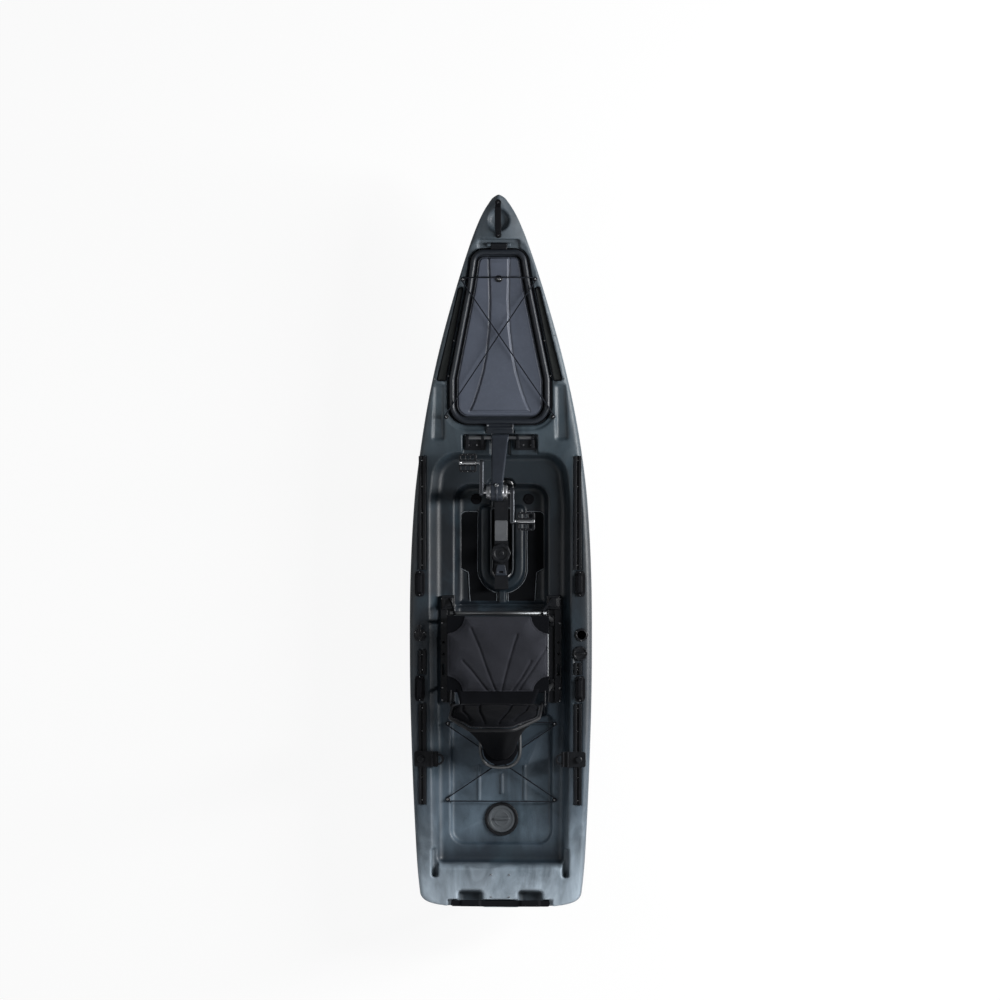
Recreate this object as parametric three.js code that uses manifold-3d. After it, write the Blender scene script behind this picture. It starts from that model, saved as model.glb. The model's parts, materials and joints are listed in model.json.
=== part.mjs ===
// Pedal kayak, in millimetres: +Y to the bow, +X to starboard, +Z up, origin on the keel under the seat
import * as THREE from 'three';
import { mergeVertices } from 'three/addons/utils/BufferGeometryUtils.js';
import Module from 'manifold-3d';

const wasm = await Module();
wasm.setup();
const { Manifold, Mesh: SolidMesh } = wasm;

// Driving sizes of the boat
const length = 4060;
const beam = 1045;
const depth = 330;
const sternReach = 1430;
const wall = 8;

// Running and seating clearances
const gap = 0.3;
const runningGap = 0.5;
const facetGap = 1.2;
const overrun = 20;
const bite = 1;
const weld = 0.001;
const leastMiterShare = 0.5;

const bowTip = length - sternReach;
const halfBeam = beam / 2;
const fullTurn = Math.PI * 2;
const quarterTurn = Math.PI / 2;

// Materials
const finishes = {
  marbledHull: { color: 0x333c44, roughness: 0.62, metalness: 0 },
  blackPlastic: { color: 0x141516, roughness: 0.5, metalness: 0 },
  greyPlastic: { color: 0x55595c, roughness: 0.5, metalness: 0 },
  lightPlate: { color: 0x9a9d9f, roughness: 0.4, metalness: 0.2 },
  foam: { color: 0x101112, roughness: 0.95, metalness: 0 },
  rubber: { color: 0x18191a, roughness: 0.85, metalness: 0 },
  fabric: { color: 0x1d1d1f, roughness: 0.95, metalness: 0 },
  cord: { color: 0x0c0c0d, roughness: 0.8, metalness: 0 },
  aluminium: { color: 0xb9bcbf, roughness: 0.35, metalness: 1 },
  steel: { color: 0xc4c6c8, roughness: 0.25, metalness: 1 },
};

// Scene graph: the rigid boat and the groups that move on it
const kayak = new THREE.Group();
const axisX = new THREE.Vector3(1, 0, 0);
const axisY = new THREE.Vector3(0, 1, 0);
const axisZ = new THREE.Vector3(0, 0, 1);

function movingGroup(parent, x, y, z) {
  const group = new THREE.Group();
  group.position.set(x, y, z);
  parent.add(group);
  return group;
}

function piece(group, name, solidPart, finish, x = 0, y = 0, z = 0) {
  const data = solidPart.getMesh();
  const stride = data.numProp;
  const count = data.vertProperties.length / stride;
  const positions = new Float32Array(count * 3);
  for (let i = 0; i < count; i++) {
    for (let k = 0; k < 3; k++) {
      positions[i * 3 + k] = data.vertProperties[i * stride + k];
    }
  }
  const geometry = new THREE.BufferGeometry();
  geometry.setAttribute('position', new THREE.BufferAttribute(positions, 3));
  geometry.setIndex(Array.from(data.triVerts));
  geometry.computeVertexNormals();
  const mesh = new THREE.Mesh(geometry, new THREE.MeshStandardMaterial(finishes[finish]));
  mesh.name = name;
  mesh.position.set(x, y, z);
  group.add(mesh);
}

// Turn a closed three.js geometry into a solid, whichever way its faces look
function solid(geometry) {
  const bare = new THREE.BufferGeometry();
  bare.setAttribute('position', geometry.getAttribute('position').clone());
  if (geometry.index) {
    bare.setIndex(geometry.index.clone());
  }
  const merged = mergeVertices(bare, weld);
  const place = merged.getAttribute('position').array;
  const index = merged.index.array;
  const kept = [];
  const a = new THREE.Vector3();
  const b = new THREE.Vector3();
  const c = new THREE.Vector3();
  let volume = 0;
  for (let i = 0; i < index.length; i += 3) {
    const [p, q, r] = [index[i], index[i + 1], index[i + 2]];
    if (p !== q && q !== r && p !== r) {
      kept.push(p, q, r);
      a.fromArray(place, p * 3);
      b.fromArray(place, q * 3);
      c.fromArray(place, r * 3);
      volume += a.dot(b.cross(c));
    }
  }
  if (volume < 0) {
    kept.reverse();
  }
  return new Manifold(new SolidMesh({
    numProp: 3,
    vertProperties: new Float32Array(place),
    triVerts: new Uint32Array(kept),
  }));
}

function joined(solids) {
  return solids.reduce((whole, next) => whole.add(next));
}

function cutFrom(whole, solids) {
  return solids.reduce((rest, next) => rest.subtract(next), whole);
}

// Basic forms, each placed by its own ends
function box(x0, x1, y0, y1, z0, z1) {
  const geometry = new THREE.BoxGeometry(x1 - x0, y1 - y0, z1 - z0);
  geometry.translate((x0 + x1) / 2, (y0 + y1) / 2, (z0 + z1) / 2);
  return solid(geometry);
}

function rod(axis, from, to, radius, sides, endRadius = radius) {
  const geometry = new THREE.CylinderGeometry(endRadius, radius, to - from, sides);
  geometry.translate(0, (from + to) / 2, 0);
  if (axis === axisX) {
    geometry.rotateZ(-quarterTurn);
  }
  if (axis === axisZ) {
    geometry.rotateX(quarterTurn);
  }
  return solid(geometry);
}

// A turned form about Z from its half profile of radius and height
function turned(profile, sides) {
  const points = profile.map(([radius, height]) => new THREE.Vector2(radius, height));
  const geometry = new THREE.LatheGeometry(points, sides);
  geometry.rotateX(quarterTurn);
  return solid(geometry);
}

function shapeOf(points, hole) {
  const shape = new THREE.Shape(points.map(([x, y]) => new THREE.Vector2(x, y)));
  if (hole) {
    shape.holes.push(new THREE.Path(hole.map(([x, y]) => new THREE.Vector2(x, y))));
  }
  return shape;
}

// An outline in X and Y drawn up from z0 to z1
function plate(points, z0, z1, hole) {
  const geometry = new THREE.ExtrudeGeometry(shapeOf(points, hole), { depth: z1 - z0,
    bevelEnabled: false });
  geometry.translate(0, 0, z0);
  return solid(geometry);
}

// An outline in Y and Z drawn across from x0 to x1
function sidePlate(points, x0, x1, hole) {
  const geometry = new THREE.ExtrudeGeometry(shapeOf(points, hole), { depth: x1 - x0,
    bevelEnabled: false });
  geometry.applyMatrix4(new THREE.Matrix4().makeBasis(axisY, axisZ, axisX));
  geometry.translate(x0, 0, 0);
  return solid(geometry);
}

// An outline in X and Z drawn along from y0 to y1
function barAlong(points, y0, y1) {
  const geometry = new THREE.ExtrudeGeometry(shapeOf(points), { depth: y1 - y0, bevelEnabled: false });
  geometry.applyMatrix4(new THREE.Matrix4().makeBasis(axisX, axisZ, axisY.clone().negate()));
  geometry.translate(0, y1, 0);
  return solid(geometry);
}

function circle(radius, sides, x = 0, y = 0) {
  return Array.from({ length: sides }, (_, i) => [
    x + radius * Math.cos(i / sides * fullTurn),
    y + radius * Math.sin(i / sides * fullTurn),
  ]);
}

// Replace each corner [x, y, radius] of an outline by an arc
function rounded(corners, steps = 4) {
  const points = [];
  corners.forEach(([x, y, radius = 0], i) => {
    const before = corners[(i + corners.length - 1) % corners.length];
    const after = corners[(i + 1) % corners.length];
    const corner = new THREE.Vector2(x, y);
    const back = new THREE.Vector2(before[0], before[1]).sub(corner).normalize();
    const ahead = new THREE.Vector2(after[0], after[1]).sub(corner).normalize();
    const angle = Math.acos(THREE.MathUtils.clamp(back.dot(ahead), -1, 1));
    if (!radius || Math.PI - angle < weld) {
      points.push([x, y]);
      return;
    }
    const reach = radius / Math.tan(angle / 2);
    const middle = back.clone().add(ahead).normalize();
    const centre = corner.clone().addScaledVector(middle, radius / Math.sin(angle / 2));
    const start = corner.clone().addScaledVector(back, reach).sub(centre);
    const end = corner.clone().addScaledVector(ahead, reach).sub(centre);
    const turnBy = Math.atan2(start.cross(end), start.dot(end));
    for (let k = 0; k <= steps; k++) {
      const spoke = start.clone().rotateAround(new THREE.Vector2(), turnBy * k / steps);
      points.push([centre.x + spoke.x, centre.y + spoke.y]);
    }
  });
  return points;
}

function roundedBox(halfX, halfY, radius, steps) {
  return rounded([
    [-halfX, -halfY, radius], [halfX, -halfY, radius], [halfX, halfY, radius], [-halfX, halfY, radius],
  ], steps);
}

function moved(points, x, y) {
  return points.map(([px, py]) => [px + x, py + y]);
}

function mirrored(points) {
  return points.map(([x, y]) => [-x, y]).reverse();
}

// Half an outline from bow to stern, on the starboard side, closed by its mirror
function bothSides(half) {
  return [...half, ...half.filter(([x]) => x > weld).map(([x, y, radius]) => [-x, y, radius]).reverse()];
}

// Move each point of an outline outwards by the same distance
function grown(points, by) {
  const area = THREE.ShapeUtils.area(points.map(([x, y]) => new THREE.Vector2(x, y)));
  const side = Math.sign(area);
  return points.map(([x, y], i) => {
    const [px, py] = points[(i + points.length - 1) % points.length];
    const [nx, ny] = points[(i + 1) % points.length];
    const into = new THREE.Vector2(x - px, y - py).normalize();
    const out = new THREE.Vector2(nx - x, ny - y).normalize();
    const normal = new THREE.Vector2(into.y + out.y, -into.x - out.x).multiplyScalar(side).normalize();
    const stretch = by / Math.max(Math.sqrt((1 + into.dot(out)) / 2), leastMiterShare);
    return [x + normal.x * stretch, y + normal.y * stretch];
  });
}

// A closed skin over rings of equal point counts, its ends filled flat
function loft(rings, flatten) {
  const count = rings[0].length;
  const places = rings.flat(2);
  const index = [];
  for (let r = 0; r + 1 < rings.length; r++) {
    for (let i = 0; i < count; i++) {
      const j = (i + 1) % count;
      const [a, b] = [r * count + i, r * count + j];
      const [c, d] = [a + count, b + count];
      index.push(a, b, d, a, d, c);
    }
  }
  const capOf = (ring) => {
    const flat = ring.map((point) => new THREE.Vector2(...flatten(point)));
    return THREE.ShapeUtils.triangulateShape(flat, []);
  };
  const first = rings[0];
  const last = rings[rings.length - 1];
  const base = (rings.length - 1) * count;
  const side = Math.sign(THREE.ShapeUtils.area(first.map((point) => new THREE.Vector2(...flatten(point)))));
  const facing = (a, b, c, ring) => {
    const [p, q, s] = [a, b, c].map((k) => new THREE.Vector2(...flatten(ring[k])));
    return Math.sign(q.sub(p).cross(s.sub(p))) === side ? [a, b, c] : [a, c, b];
  };
  capOf(first).forEach(([a, b, c]) => {
    const [p, q, s] = facing(a, b, c, first);
    index.push(p, s, q);
  });
  capOf(last).forEach(([a, b, c]) => {
    const [p, q, s] = facing(a, b, c, last);
    index.push(base + p, base + q, base + s);
  });
  const geometry = new THREE.BufferGeometry();
  geometry.setAttribute('position', new THREE.Float32BufferAttribute(places, 3));
  geometry.setIndex(index);
  return solid(geometry);
}

// A stack of the same outline, each level [height, growth], following the deck's rise if asked
function stacked(outline, levels, riseAt = () => 0) {
  const rings = levels.map(([z, by]) => grown(outline, by).map(([x, y]) => [x, y, z + riseAt(y)]));
  return loft(rings, ([x, y]) => [x, y]);
}

// A round tube along a path through points, with soft bends
function tube(points, radius, sides, steps, tension = 0.5) {
  const path = new THREE.CatmullRomCurve3(
    points.map(([x, y, z]) => new THREE.Vector3(x, y, z)), false, 'catmullrom', tension);
  const section = shapeOf(circle(radius, sides));
  const settings = { steps, extrudePath: path, bevelEnabled: false };
  return solid(new THREE.ExtrudeGeometry(section, settings));
}

// A polyline whose corners are rounded, as one curve
function bentTube(points, bend, radius, sides, stepsPerBend = 3) {
  const at = points.map(([x, y, z]) => new THREE.Vector3(x, y, z));
  const route = [at[0]];
  for (let i = 1; i + 1 < at.length; i++) {
    const back = at[i - 1].clone().sub(at[i]).normalize();
    const ahead = at[i + 1].clone().sub(at[i]).normalize();
    const start = at[i].clone().addScaledVector(back, bend);
    const end = at[i].clone().addScaledVector(ahead, bend);
    const arc = new THREE.QuadraticBezierCurve3(start, at[i], end);
    route.push(...arc.getPoints(stepsPerBend));
  }
  route.push(at[at.length - 1]);
  return sweep(route, radius, sides);
}

// A curve that stops at every point of a route, so that a tube's rings fall on them
class Route extends THREE.Curve {
  constructor(points) {
    super();
    this.points = points;
  }

  getPoint(share) {
    const place = share * (this.points.length - 1);
    const before = Math.min(Math.floor(place + weld), this.points.length - 2);
    return this.points[before].clone().lerp(this.points[before + 1], place - before);
  }

  getPointAt(share) {
    return this.getPoint(share);
  }

  getTangentAt(share) {
    const place = Math.round(share * (this.points.length - 1));
    const before = this.points[Math.max(place - 1, 0)];
    const after = this.points[Math.min(place + 1, this.points.length - 1)];
    return after.clone().sub(before).normalize();
  }
}

function sweep(points, radius, sides) {
  const settings = { steps: points.length - 1, extrudePath: new Route(points), bevelEnabled: false };
  return solid(new THREE.ExtrudeGeometry(shapeOf(circle(radius, sides)), settings));
}

// Read a table of [share, value] with a smooth curve through its points
function smoothRead(table, at) {
  const last = table.length - 1;
  const k = Math.min(Math.max(table.findIndex(([share]) => share >= at) - 1, 0), last - 1);
  const slopeAt = (i) => {
    const [a, b] = [table[Math.max(i - 1, 0)], table[Math.min(i + 1, last)]];
    return (b[1] - a[1]) / (b[0] - a[0]);
  };
  const [x0, y0] = table[k];
  const [x1, y1] = table[k + 1];
  const width = x1 - x0;
  const u = THREE.MathUtils.clamp((at - x0) / width, 0, 1);
  const ease = u * u * (3 - 2 * u);
  const lead = u * (1 - u) * (1 - u) * width * slopeAt(k);
  const trail = u * u * (u - 1) * width * slopeAt(k + 1);
  return y0 + (y1 - y0) * ease + lead + trail;
}

const smoothstep = THREE.MathUtils.smoothstep;
const lerp = THREE.MathUtils.lerp;

// Hull form: half width, section and rise, as shares of the boat's own sizes
const planShares = [
  [0, 0.36], [0.003, 0.66], [0.0099, 0.834], [0.0246, 0.89], [0.116, 0.9435], [0.2564, 0.9876],
  [0.352, 1], [0.467, 0.993], [0.572, 0.949], [0.6426, 0.884], [0.7128, 0.796], [0.783, 0.6756],
  [0.853, 0.5244], [0.923, 0.348], [0.968, 0.207], [0.9936, 0.082], [1, 0.018],
];
const broadShares = [
  [0, 0], [0.05, 0], [0.1, 0.035], [0.34, 0.03], [0.6, 0.045], [0.8, 0.12], [0.91, 0.27],
  [0.965, 0.47], [0.992, 0.7], [1, 0.86], [0.985, 0.95], [0.945, 1],
];
const sharpShares = [
  [0, 0], [0.05, 0], [0.1, 0.05], [0.22, 0.16], [0.38, 0.3], [0.54, 0.44], [0.68, 0.58],
  [0.8, 0.7], [0.9, 0.81], [0.965, 0.9], [0.985, 0.955], [0.945, 1],
];
const deckShares = [0.66, 0.33, 0];
const sternStationShares = [0, 0.002, 0.005, 0.0099, 0.0246];
const bowStationShares = [0.95, 0.968, 0.983, 0.9936, 0.998, 1];
const evenStations = 19;
const holdStations = 12;
const sharpenFrom = 0.62;
const sharpenTo = 0.93;

const bow = { deckRise: 98, deckFrom: 1150, deckEven: 1320, stemRise: 330, stemFrom: 1900, crown: 26 };
const stern = { keelRise: 45, keelFrom: -1000 };
const crownFromShare = 0.64;
const crownFullShare = 0.7;
const stemPower = 3;
const bowSlope = bow.deckRise / (bowTip - (bow.deckFrom + bow.deckEven) / 2);

// The deck runs level to the bow hatch, then rises evenly to the stem
function deckRiseAt(y) {
  const bend = bow.deckEven - bow.deckFrom;
  const past = y - bow.deckFrom;
  if (past <= 0) {
    return 0;
  }
  return past < bend ? bowSlope * past * past / (2 * bend) : bowSlope * (past - bend / 2);
}

function sheerAt(y) {
  return depth + deckRiseAt(y);
}

function keelAt(y) {
  const stemShare = Math.max((y - bow.stemFrom) / (bowTip - bow.stemFrom), 0);
  const sternShare = Math.max((stern.keelFrom - y) / (sternReach + stern.keelFrom), 0);
  return bow.stemRise * stemShare ** stemPower + stern.keelRise * sternShare * sternShare;
}

function hullRing(share, inset) {
  const y = lerp(-sternReach, bowTip, share);
  const half = Math.max(halfBeam * smoothRead(planShares, share) - inset, weld);
  const low = keelAt(y) + inset;
  const high = Math.max(sheerAt(y) - inset, low + weld);
  const sharp = smoothstep(share, sharpenFrom, sharpenTo);
  const crown = bow.crown * smoothstep(share, crownFromShare, crownFullShare);
  const halfRing = broadShares.map(([across, up], i) => [
    half * lerp(across, sharpShares[i][0], sharp),
    y,
    lerp(low, high, lerp(up, sharpShares[i][1], sharp)),
  ]);
  const edge = broadShares[broadShares.length - 1][0];
  deckShares.forEach((across) => {
    halfRing.push([half * edge * across, y, high + crown * (1 - across * across)]);
  });
  const other = halfRing.filter(([x]) => x > 0).reverse().map(([x, py, z]) => [-x, py, z]);
  return [...halfRing, ...other];
}

// Height of the crowned deck at a point, before any pocket is cut
function deckHeightAt(x, y) {
  const share = (y + sternReach) / length;
  const half = halfBeam * smoothRead(planShares, share) * broadShares[broadShares.length - 1][0];
  const crown = bow.crown * smoothstep(share, crownFromShare, crownFullShare);
  return sheerAt(y) + crown * (1 - (x / half) ** 2);
}

function hullForm(inset, stations) {
  const evenFrom = sternStationShares[sternStationShares.length - 1];
  const evenTo = bowStationShares[0];
  const shares = [...sternStationShares];
  for (let i = 1; i < stations; i++) {
    shares.push(lerp(evenFrom, evenTo, i / stations));
  }
  shares.push(...bowStationShares);
  return loft(shares.map((share) => hullRing(share, inset)), ([x, , z]) => [x, z]);
}


// Where things lie on the deck and in the tub
const lid = {
  front: 2318, rear: 1327, frontHalf: 150, frontRadius: 75, shoulder: 182, shoulderY: 2108,
  wide: 287, wideY: 1583, cornerRadius: 110,
};
const hatchSeat = { margin: 12, drop: 16, mouthInset: 34, hingeFront: 2376, hingeHalf: 118 };
const hatchPin = { y: 2345, drop: 3, radius: 5, half: 62, lugOuter: 46, lugInner: 16, lugRadius: 11,
  sides: 12 };
const carryRecess = { y: 2484, radius: 64, drop: 34, taper: 14, sides: 20 };
const netPocket = { tipX: 217, tipY: 2108, inner: 308, outer: 359, rear: 1572, drop: 60, taper: 5,
  radius: 12 };
const sideTrough = {
  inner: 320, outer: 376, outerRear: 388, front: 1552, rear: 1236, drop: 14, taper: 6, radius: 18,
};
const hingeSeat = { half: 215, front: 1268, rear: 1130, drop: 28, notchHalf: 60, notchFront: 1296,
  notchDrop: 46 };
const tub = {
  front: 1167, rear: -1204, frontHalf: 372, half: 400, rearHalf: 385, frontRadius: 150, rearRadius: 60,
  shelf: 245, slope: 38, lipDrop: 30, lipSlope: 15, lipRound: 5, bendY: 880,
};
const footWell = { front: 985, rear: 285, half: 268, floor: 150, taper: 16, frontRadius: 70,
  rearRadius: 24 };
const seatWell = { front: 300, rear: -350, half: 262, floor: 178, taper: 10, radius: 24 };
const tankWell = { front: -330, rear: -1073, half: 290, floor: 215, taper: 8, frontRadius: 24,
  rearRadius: 80 };
const driveWell = {
  rearCentre: 501, slotHalf: 63, slotFront: 1004, collarHalf: 131, collarFront: 862, collarTop: 186,
  collarSlope: 12, neckHalf: 17, neckRear: 306, lipDrop: 14, lipGrow: 16, arcSteps: 10, frontRadius: 24,
};
const tabBay = { half: 84, front: 1330, rear: 1262, lift: 4 };
const scupper = { x: 151, y: 899, bore: 15, sides: 10 };
const sternHatch = { y: -930, bore: 76, sides: 24 };
const bowHold = { front: 2345, rear: 1346 };
const sternHold = { front: -640, rear: -1190 };
const tankRib = { x: 131, width: 16, height: 8, sideFront: -622, sideRear: -828, midFront: -674,
  midRear: -788 };
const cornerSlot = { inner: 352, outer: 394, front: -1090, rear: -1261, drop: 46, radius: 12 };
const grabRebate = { half: 300, front: -1384, drop: 30 };
const scoop = { inner: 96, outer: 246, front: -1329, drop: 62, taper: 14, radius: 22 };
const rodHolder = { x: 465, y: 126, bore: 24.5, wallOut: 28, drop: 118, sides: 16 };
const rodCap = { x: 458, y: 20, plug: 34, drop: 28, sides: 16 };
const trackSeat = { x: 445, width: 42, drop: 6 };
const trackRuns = {
  front_right: [1148, 494], front_left: [1148, 494], middle_right: [-30, -104], middle_left: [40, -104],
  rear_right: [-264, -846], rear_left: [-264, -846],
};
const rudderPost = { y: -1318, radius: 11, boreTop: 170, sides: 10 };
const deckPost = { footRadius: 13, footHeight: 5, bedding: 6, radius: 5, tipRadius: 3.5, height: 17,
  sides: 7 };
const bowPosts = [[206, 2149], [306, 1368]];
const tankPosts = [[306, -819], [306, -385]];

const lidOutline = rounded(bothSides([
  [0, lid.rear], [lid.wide, lid.rear, lid.cornerRadius], [lid.wide, lid.wideY],
  [lid.shoulder, lid.shoulderY], [lid.frontHalf, lid.front, lid.frontRadius], [0, lid.front],
]), 4);
const netOutline = rounded([
  [netPocket.inner, netPocket.rear, netPocket.radius], [netPocket.outer, netPocket.rear, netPocket.radius],
  [netPocket.tipX + netPocket.radius, netPocket.tipY, netPocket.radius / 2],
  [netPocket.tipX - netPocket.radius, netPocket.tipY, netPocket.radius / 2],
], 2);
const tubOutline = rounded(bothSides([
  [0, tub.front], [tub.frontHalf, tub.front, tub.frontRadius], [tub.half, tub.bendY],
  [tub.half, 0], [tub.rearHalf, tub.rear, tub.rearRadius], [0, tub.rear],
]), 4);

function tunnelOutline(half, front, frontRadius, rearCentre = driveWell.rearCentre) {
  const corners = rounded([[half, rearCentre], [half, front, frontRadius],
    [-half, front, frontRadius], [-half, rearCentre]], 3);
  const steps = driveWell.arcSteps;
  for (let i = 1; i < steps; i++) {
    const angle = Math.PI + Math.PI * i / steps;
    corners.push([half * Math.cos(angle), rearCentre + half * Math.sin(angle)]);
  }
  return corners;
}

function wellOutline(well, frontRadius, rearRadius) {
  return rounded(bothSides([
    [0, well.front], [well.half, well.front, frontRadius], [well.half, well.rear, rearRadius], [0,
      well.rear],
  ]), 4);
}

// A pocket cut down from the deck, its floor narrower by the taper
function deckPocket(outline, drop, taper, grow = 0, deeper = 0) {
  return stacked(outline, [[-drop - deeper, grow - taper], [0, grow], [overrun * 2, grow]], sheerAt);
}

function tubPocket() {
  const top = depth;
  return stacked(tubOutline, [
    [tub.shelf, -tub.slope], [top - tub.lipDrop, -tub.lipSlope], [top - tub.lipRound, 0],
    [top, tub.lipRound], [top + overrun * 2, tub.lipRound],
  ], deckRiseAt);
}

function wellPocket(well, outline, grow = 0, deeper = 0) {
  return stacked(outline, [
    [well.floor - deeper, grow - well.taper], [tub.shelf, grow], [tub.shelf + overrun, grow],
  ]);
}

function starboardAndPort(make) {
  const one = make();
  return [one, one.mirror([1, 0, 0])];
}

// The rotomoulded hull: outer form, pockets, holds, then what stands up from it
const outerHull = hullForm(0, evenStations);

function hatchSeatPocket(grow, deeper) {
  const seat = deckPocket(grown(lidOutline, hatchSeat.margin), hatchSeat.drop, 0, grow, deeper);
  const { hingeHalf: half, hingeFront: front, margin } = hatchSeat;
  const back = lid.front - lid.frontRadius;
  const hingeBay = rounded([[-half, back], [half, back], [half, front, margin], [-half, front, margin]], 3);
  return seat.add(deckPocket(hingeBay, hatchSeat.drop, 0, grow, deeper));
}

function carryPocket(grow, deeper) {
  const outline = moved(circle(carryRecess.radius, carryRecess.sides), 0, carryRecess.y);
  return deckPocket(outline, carryRecess.drop, carryRecess.taper, grow, deeper);
}

function netPockets(grow, deeper) {
  return starboardAndPort(() => deckPocket(netOutline, netPocket.drop, netPocket.taper, grow, deeper));
}

function bowHoldCavity() {
  const space = hullForm(wall, holdStations).intersect(box(-beam, beam, bowHold.rear, bowHold.front,
    -depth, depth * 2));
  return cutFrom(space, [hatchSeatPocket(wall, wall), ...netPockets(wall, wall)]);
}

function sternHoldCavity() {
  const space = box(-beam, beam, sternHold.rear, sternHold.front, -depth, tankWell.floor - wall);
  return hullForm(wall, holdStations).intersect(space);
}

function driveTunnel() {
  const slot = tunnelOutline(driveWell.slotHalf, driveWell.slotFront, driveWell.frontRadius);
  return stacked(slot, [
    [-overrun, 0], [driveWell.collarTop - driveWell.lipDrop, 0],
    [driveWell.collarTop, driveWell.lipGrow], [depth, driveWell.lipGrow],
  ]);
}

function driveCollar() {
  const ridge = tunnelOutline(driveWell.collarHalf, driveWell.collarFront, driveWell.frontRadius);
  const low = footWell.floor - wall;
  const neck = box(-driveWell.neckHalf, driveWell.neckHalf, driveWell.neckRear,
    driveWell.rearCentre - driveWell.slotHalf, low, driveWell.collarTop - driveWell.collarSlope);
  return stacked(ridge, [
    [low, 0], [driveWell.collarTop - driveWell.collarSlope, 0], [driveWell.collarTop,
      -driveWell.collarSlope],
  ]).add(neck);
}

function tankRibs() {
  const low = tankWell.floor - wall;
  const high = tankWell.floor + tankRib.height;
  const half = tankRib.width / 2;
  return [-1, 0, 1].map((side) => {
    const [front, rear] = side ? [tankRib.sideFront, tankRib.sideRear] : [tankRib.midFront,
      tankRib.midRear];
    const outline = moved(roundedBox(half, (front - rear) / 2, half - bite, 2), side * tankRib.x,
      (front + rear) / 2);
    return stacked(outline, [[low, 0], [high - half / 2, 0], [high, -half / 2]]);
  });
}

function hingeSeatPocket() {
  const wide = [[-hingeSeat.half, hingeSeat.rear], [hingeSeat.half, hingeSeat.rear],
    [hingeSeat.half, hingeSeat.front], [-hingeSeat.half, hingeSeat.front]];
  const notch = [[-hingeSeat.notchHalf, hingeSeat.rear], [hingeSeat.notchHalf, hingeSeat.rear],
    [hingeSeat.notchHalf, hingeSeat.notchFront], [-hingeSeat.notchHalf, hingeSeat.notchFront]];
  const level = (outline, drop) => plate(outline, depth - drop, depth + overrun * 2);
  return level(wide, hingeSeat.drop).add(level(notch, hingeSeat.notchDrop));
}

function tabPocket() {
  const low = sheerAt(tabBay.rear) + tabBay.lift;
  return box(-tabBay.half, tabBay.half, tabBay.rear, tabBay.front, low, low + overrun * 2);
}

function troughPockets() {
  const outline = rounded([
    [sideTrough.inner, sideTrough.rear, sideTrough.radius], [sideTrough.outerRear, sideTrough.rear,
      sideTrough.radius],
    [sideTrough.outer, sideTrough.front, sideTrough.radius], [sideTrough.inner, sideTrough.front,
      sideTrough.radius],
  ], 2);
  return starboardAndPort(() => deckPocket(outline, sideTrough.drop, sideTrough.taper));
}

function sideOf(name) {
  return name.endsWith('right') ? 1 : -1;
}

function trackPocket([name, [front, rear]]) {
  const middle = sideOf(name) * trackSeat.x;
  const half = trackSeat.width / 2;
  return box(middle - half, middle + half, rear, front, depth - trackSeat.drop, depth + overrun);
}

function sternCuts() {
  const slotOutline = moved(
    roundedBox((cornerSlot.outer - cornerSlot.inner) / 2, (cornerSlot.front - cornerSlot.rear) / 2,
      cornerSlot.radius, 3),
    (cornerSlot.outer + cornerSlot.inner) / 2, (cornerSlot.front + cornerSlot.rear) / 2);
  const scoopRear = -sternReach - overrun;
  const scoopOutline = rounded([
    [scoop.inner, scoop.front, scoop.radius], [scoop.outer, scoop.front, scoop.radius],
    [scoop.outer, scoopRear], [scoop.inner, scoopRear],
  ], 3);
  return [
    ...starboardAndPort(() => deckPocket(slotOutline, cornerSlot.drop, wall / 2)),
    ...starboardAndPort(() => deckPocket(scoopOutline, scoop.drop, scoop.taper)),
    box(-grabRebate.half, grabRebate.half, -sternReach - overrun, grabRebate.front,
      depth - grabRebate.drop, depth + overrun),
  ];
}

function hullBores() {
  const through = (radius, sides, x, y, from, to) => rod(axisZ, from, to, radius, sides).translate([x, y,
    0]);
  const top = depth + overrun;
  return [
    through(scupper.bore, scupper.sides, scupper.x, scupper.y, -overrun, top),
    through(scupper.bore, scupper.sides, -scupper.x, scupper.y, -overrun, top),
    through(sternHatch.bore, sternHatch.sides, 0, sternHatch.y, tankWell.floor - wall - bite,
      tankWell.floor + overrun),
    through(rodHolder.wallOut + gap, rodHolder.sides, rodHolder.x, rodHolder.y, depth - rodHolder.drop,
      top),
    through(rodCap.plug + gap, rodCap.sides, rodCap.x, rodCap.y, depth - rodCap.drop, top),
    through(rudderPost.radius + gap, rudderPost.sides, 0, rudderPost.y, -overrun, rudderPost.boreTop),
  ];
}

// A deck post that a shock cord turns round: a low foot and a tapered stud
function makePost(x, y, z) {
  return turned([
    [0, -deckPost.bedding], [deckPost.footRadius, -deckPost.bedding], [deckPost.footRadius,
      deckPost.footHeight / 2],
    [deckPost.radius, deckPost.footHeight], [deckPost.tipRadius, deckPost.height], [0, deckPost.height],
  ], deckPost.sides).translate([x, y, z]);
}

function makePosts() {
  const onBow = bowPosts.flatMap(([x, y]) => [x, -x].map((side) => makePost(side, y, deckHeightAt(x, y))));
  const onTank = tankPosts.flatMap(([x, y]) => [x, -x].map((side) => makePost(side, y, tub.shelf)));
  return [...onBow, ...onTank];
}

// Two knuckles in the front bay carry the hatch pin
function makeKnuckles() {
  const z = sheerAt(hatchPin.y) - hatchPin.drop;
  const from = hatchPin.lugOuter + runningGap * 2;
  return starboardAndPort(() => {
    const round = rod(axisX, from, hatchPin.half + hatchPin.radius, hatchPin.radius * 2, hatchPin.sides);
    const web = box(from, hatchPin.half + hatchPin.radius, -hatchPin.radius * 2, hatchPin.radius * 2,
      -hatchSeat.drop - wall, 0);
    return round.add(web).translate([0, hatchPin.y, z]);
  });
}

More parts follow.
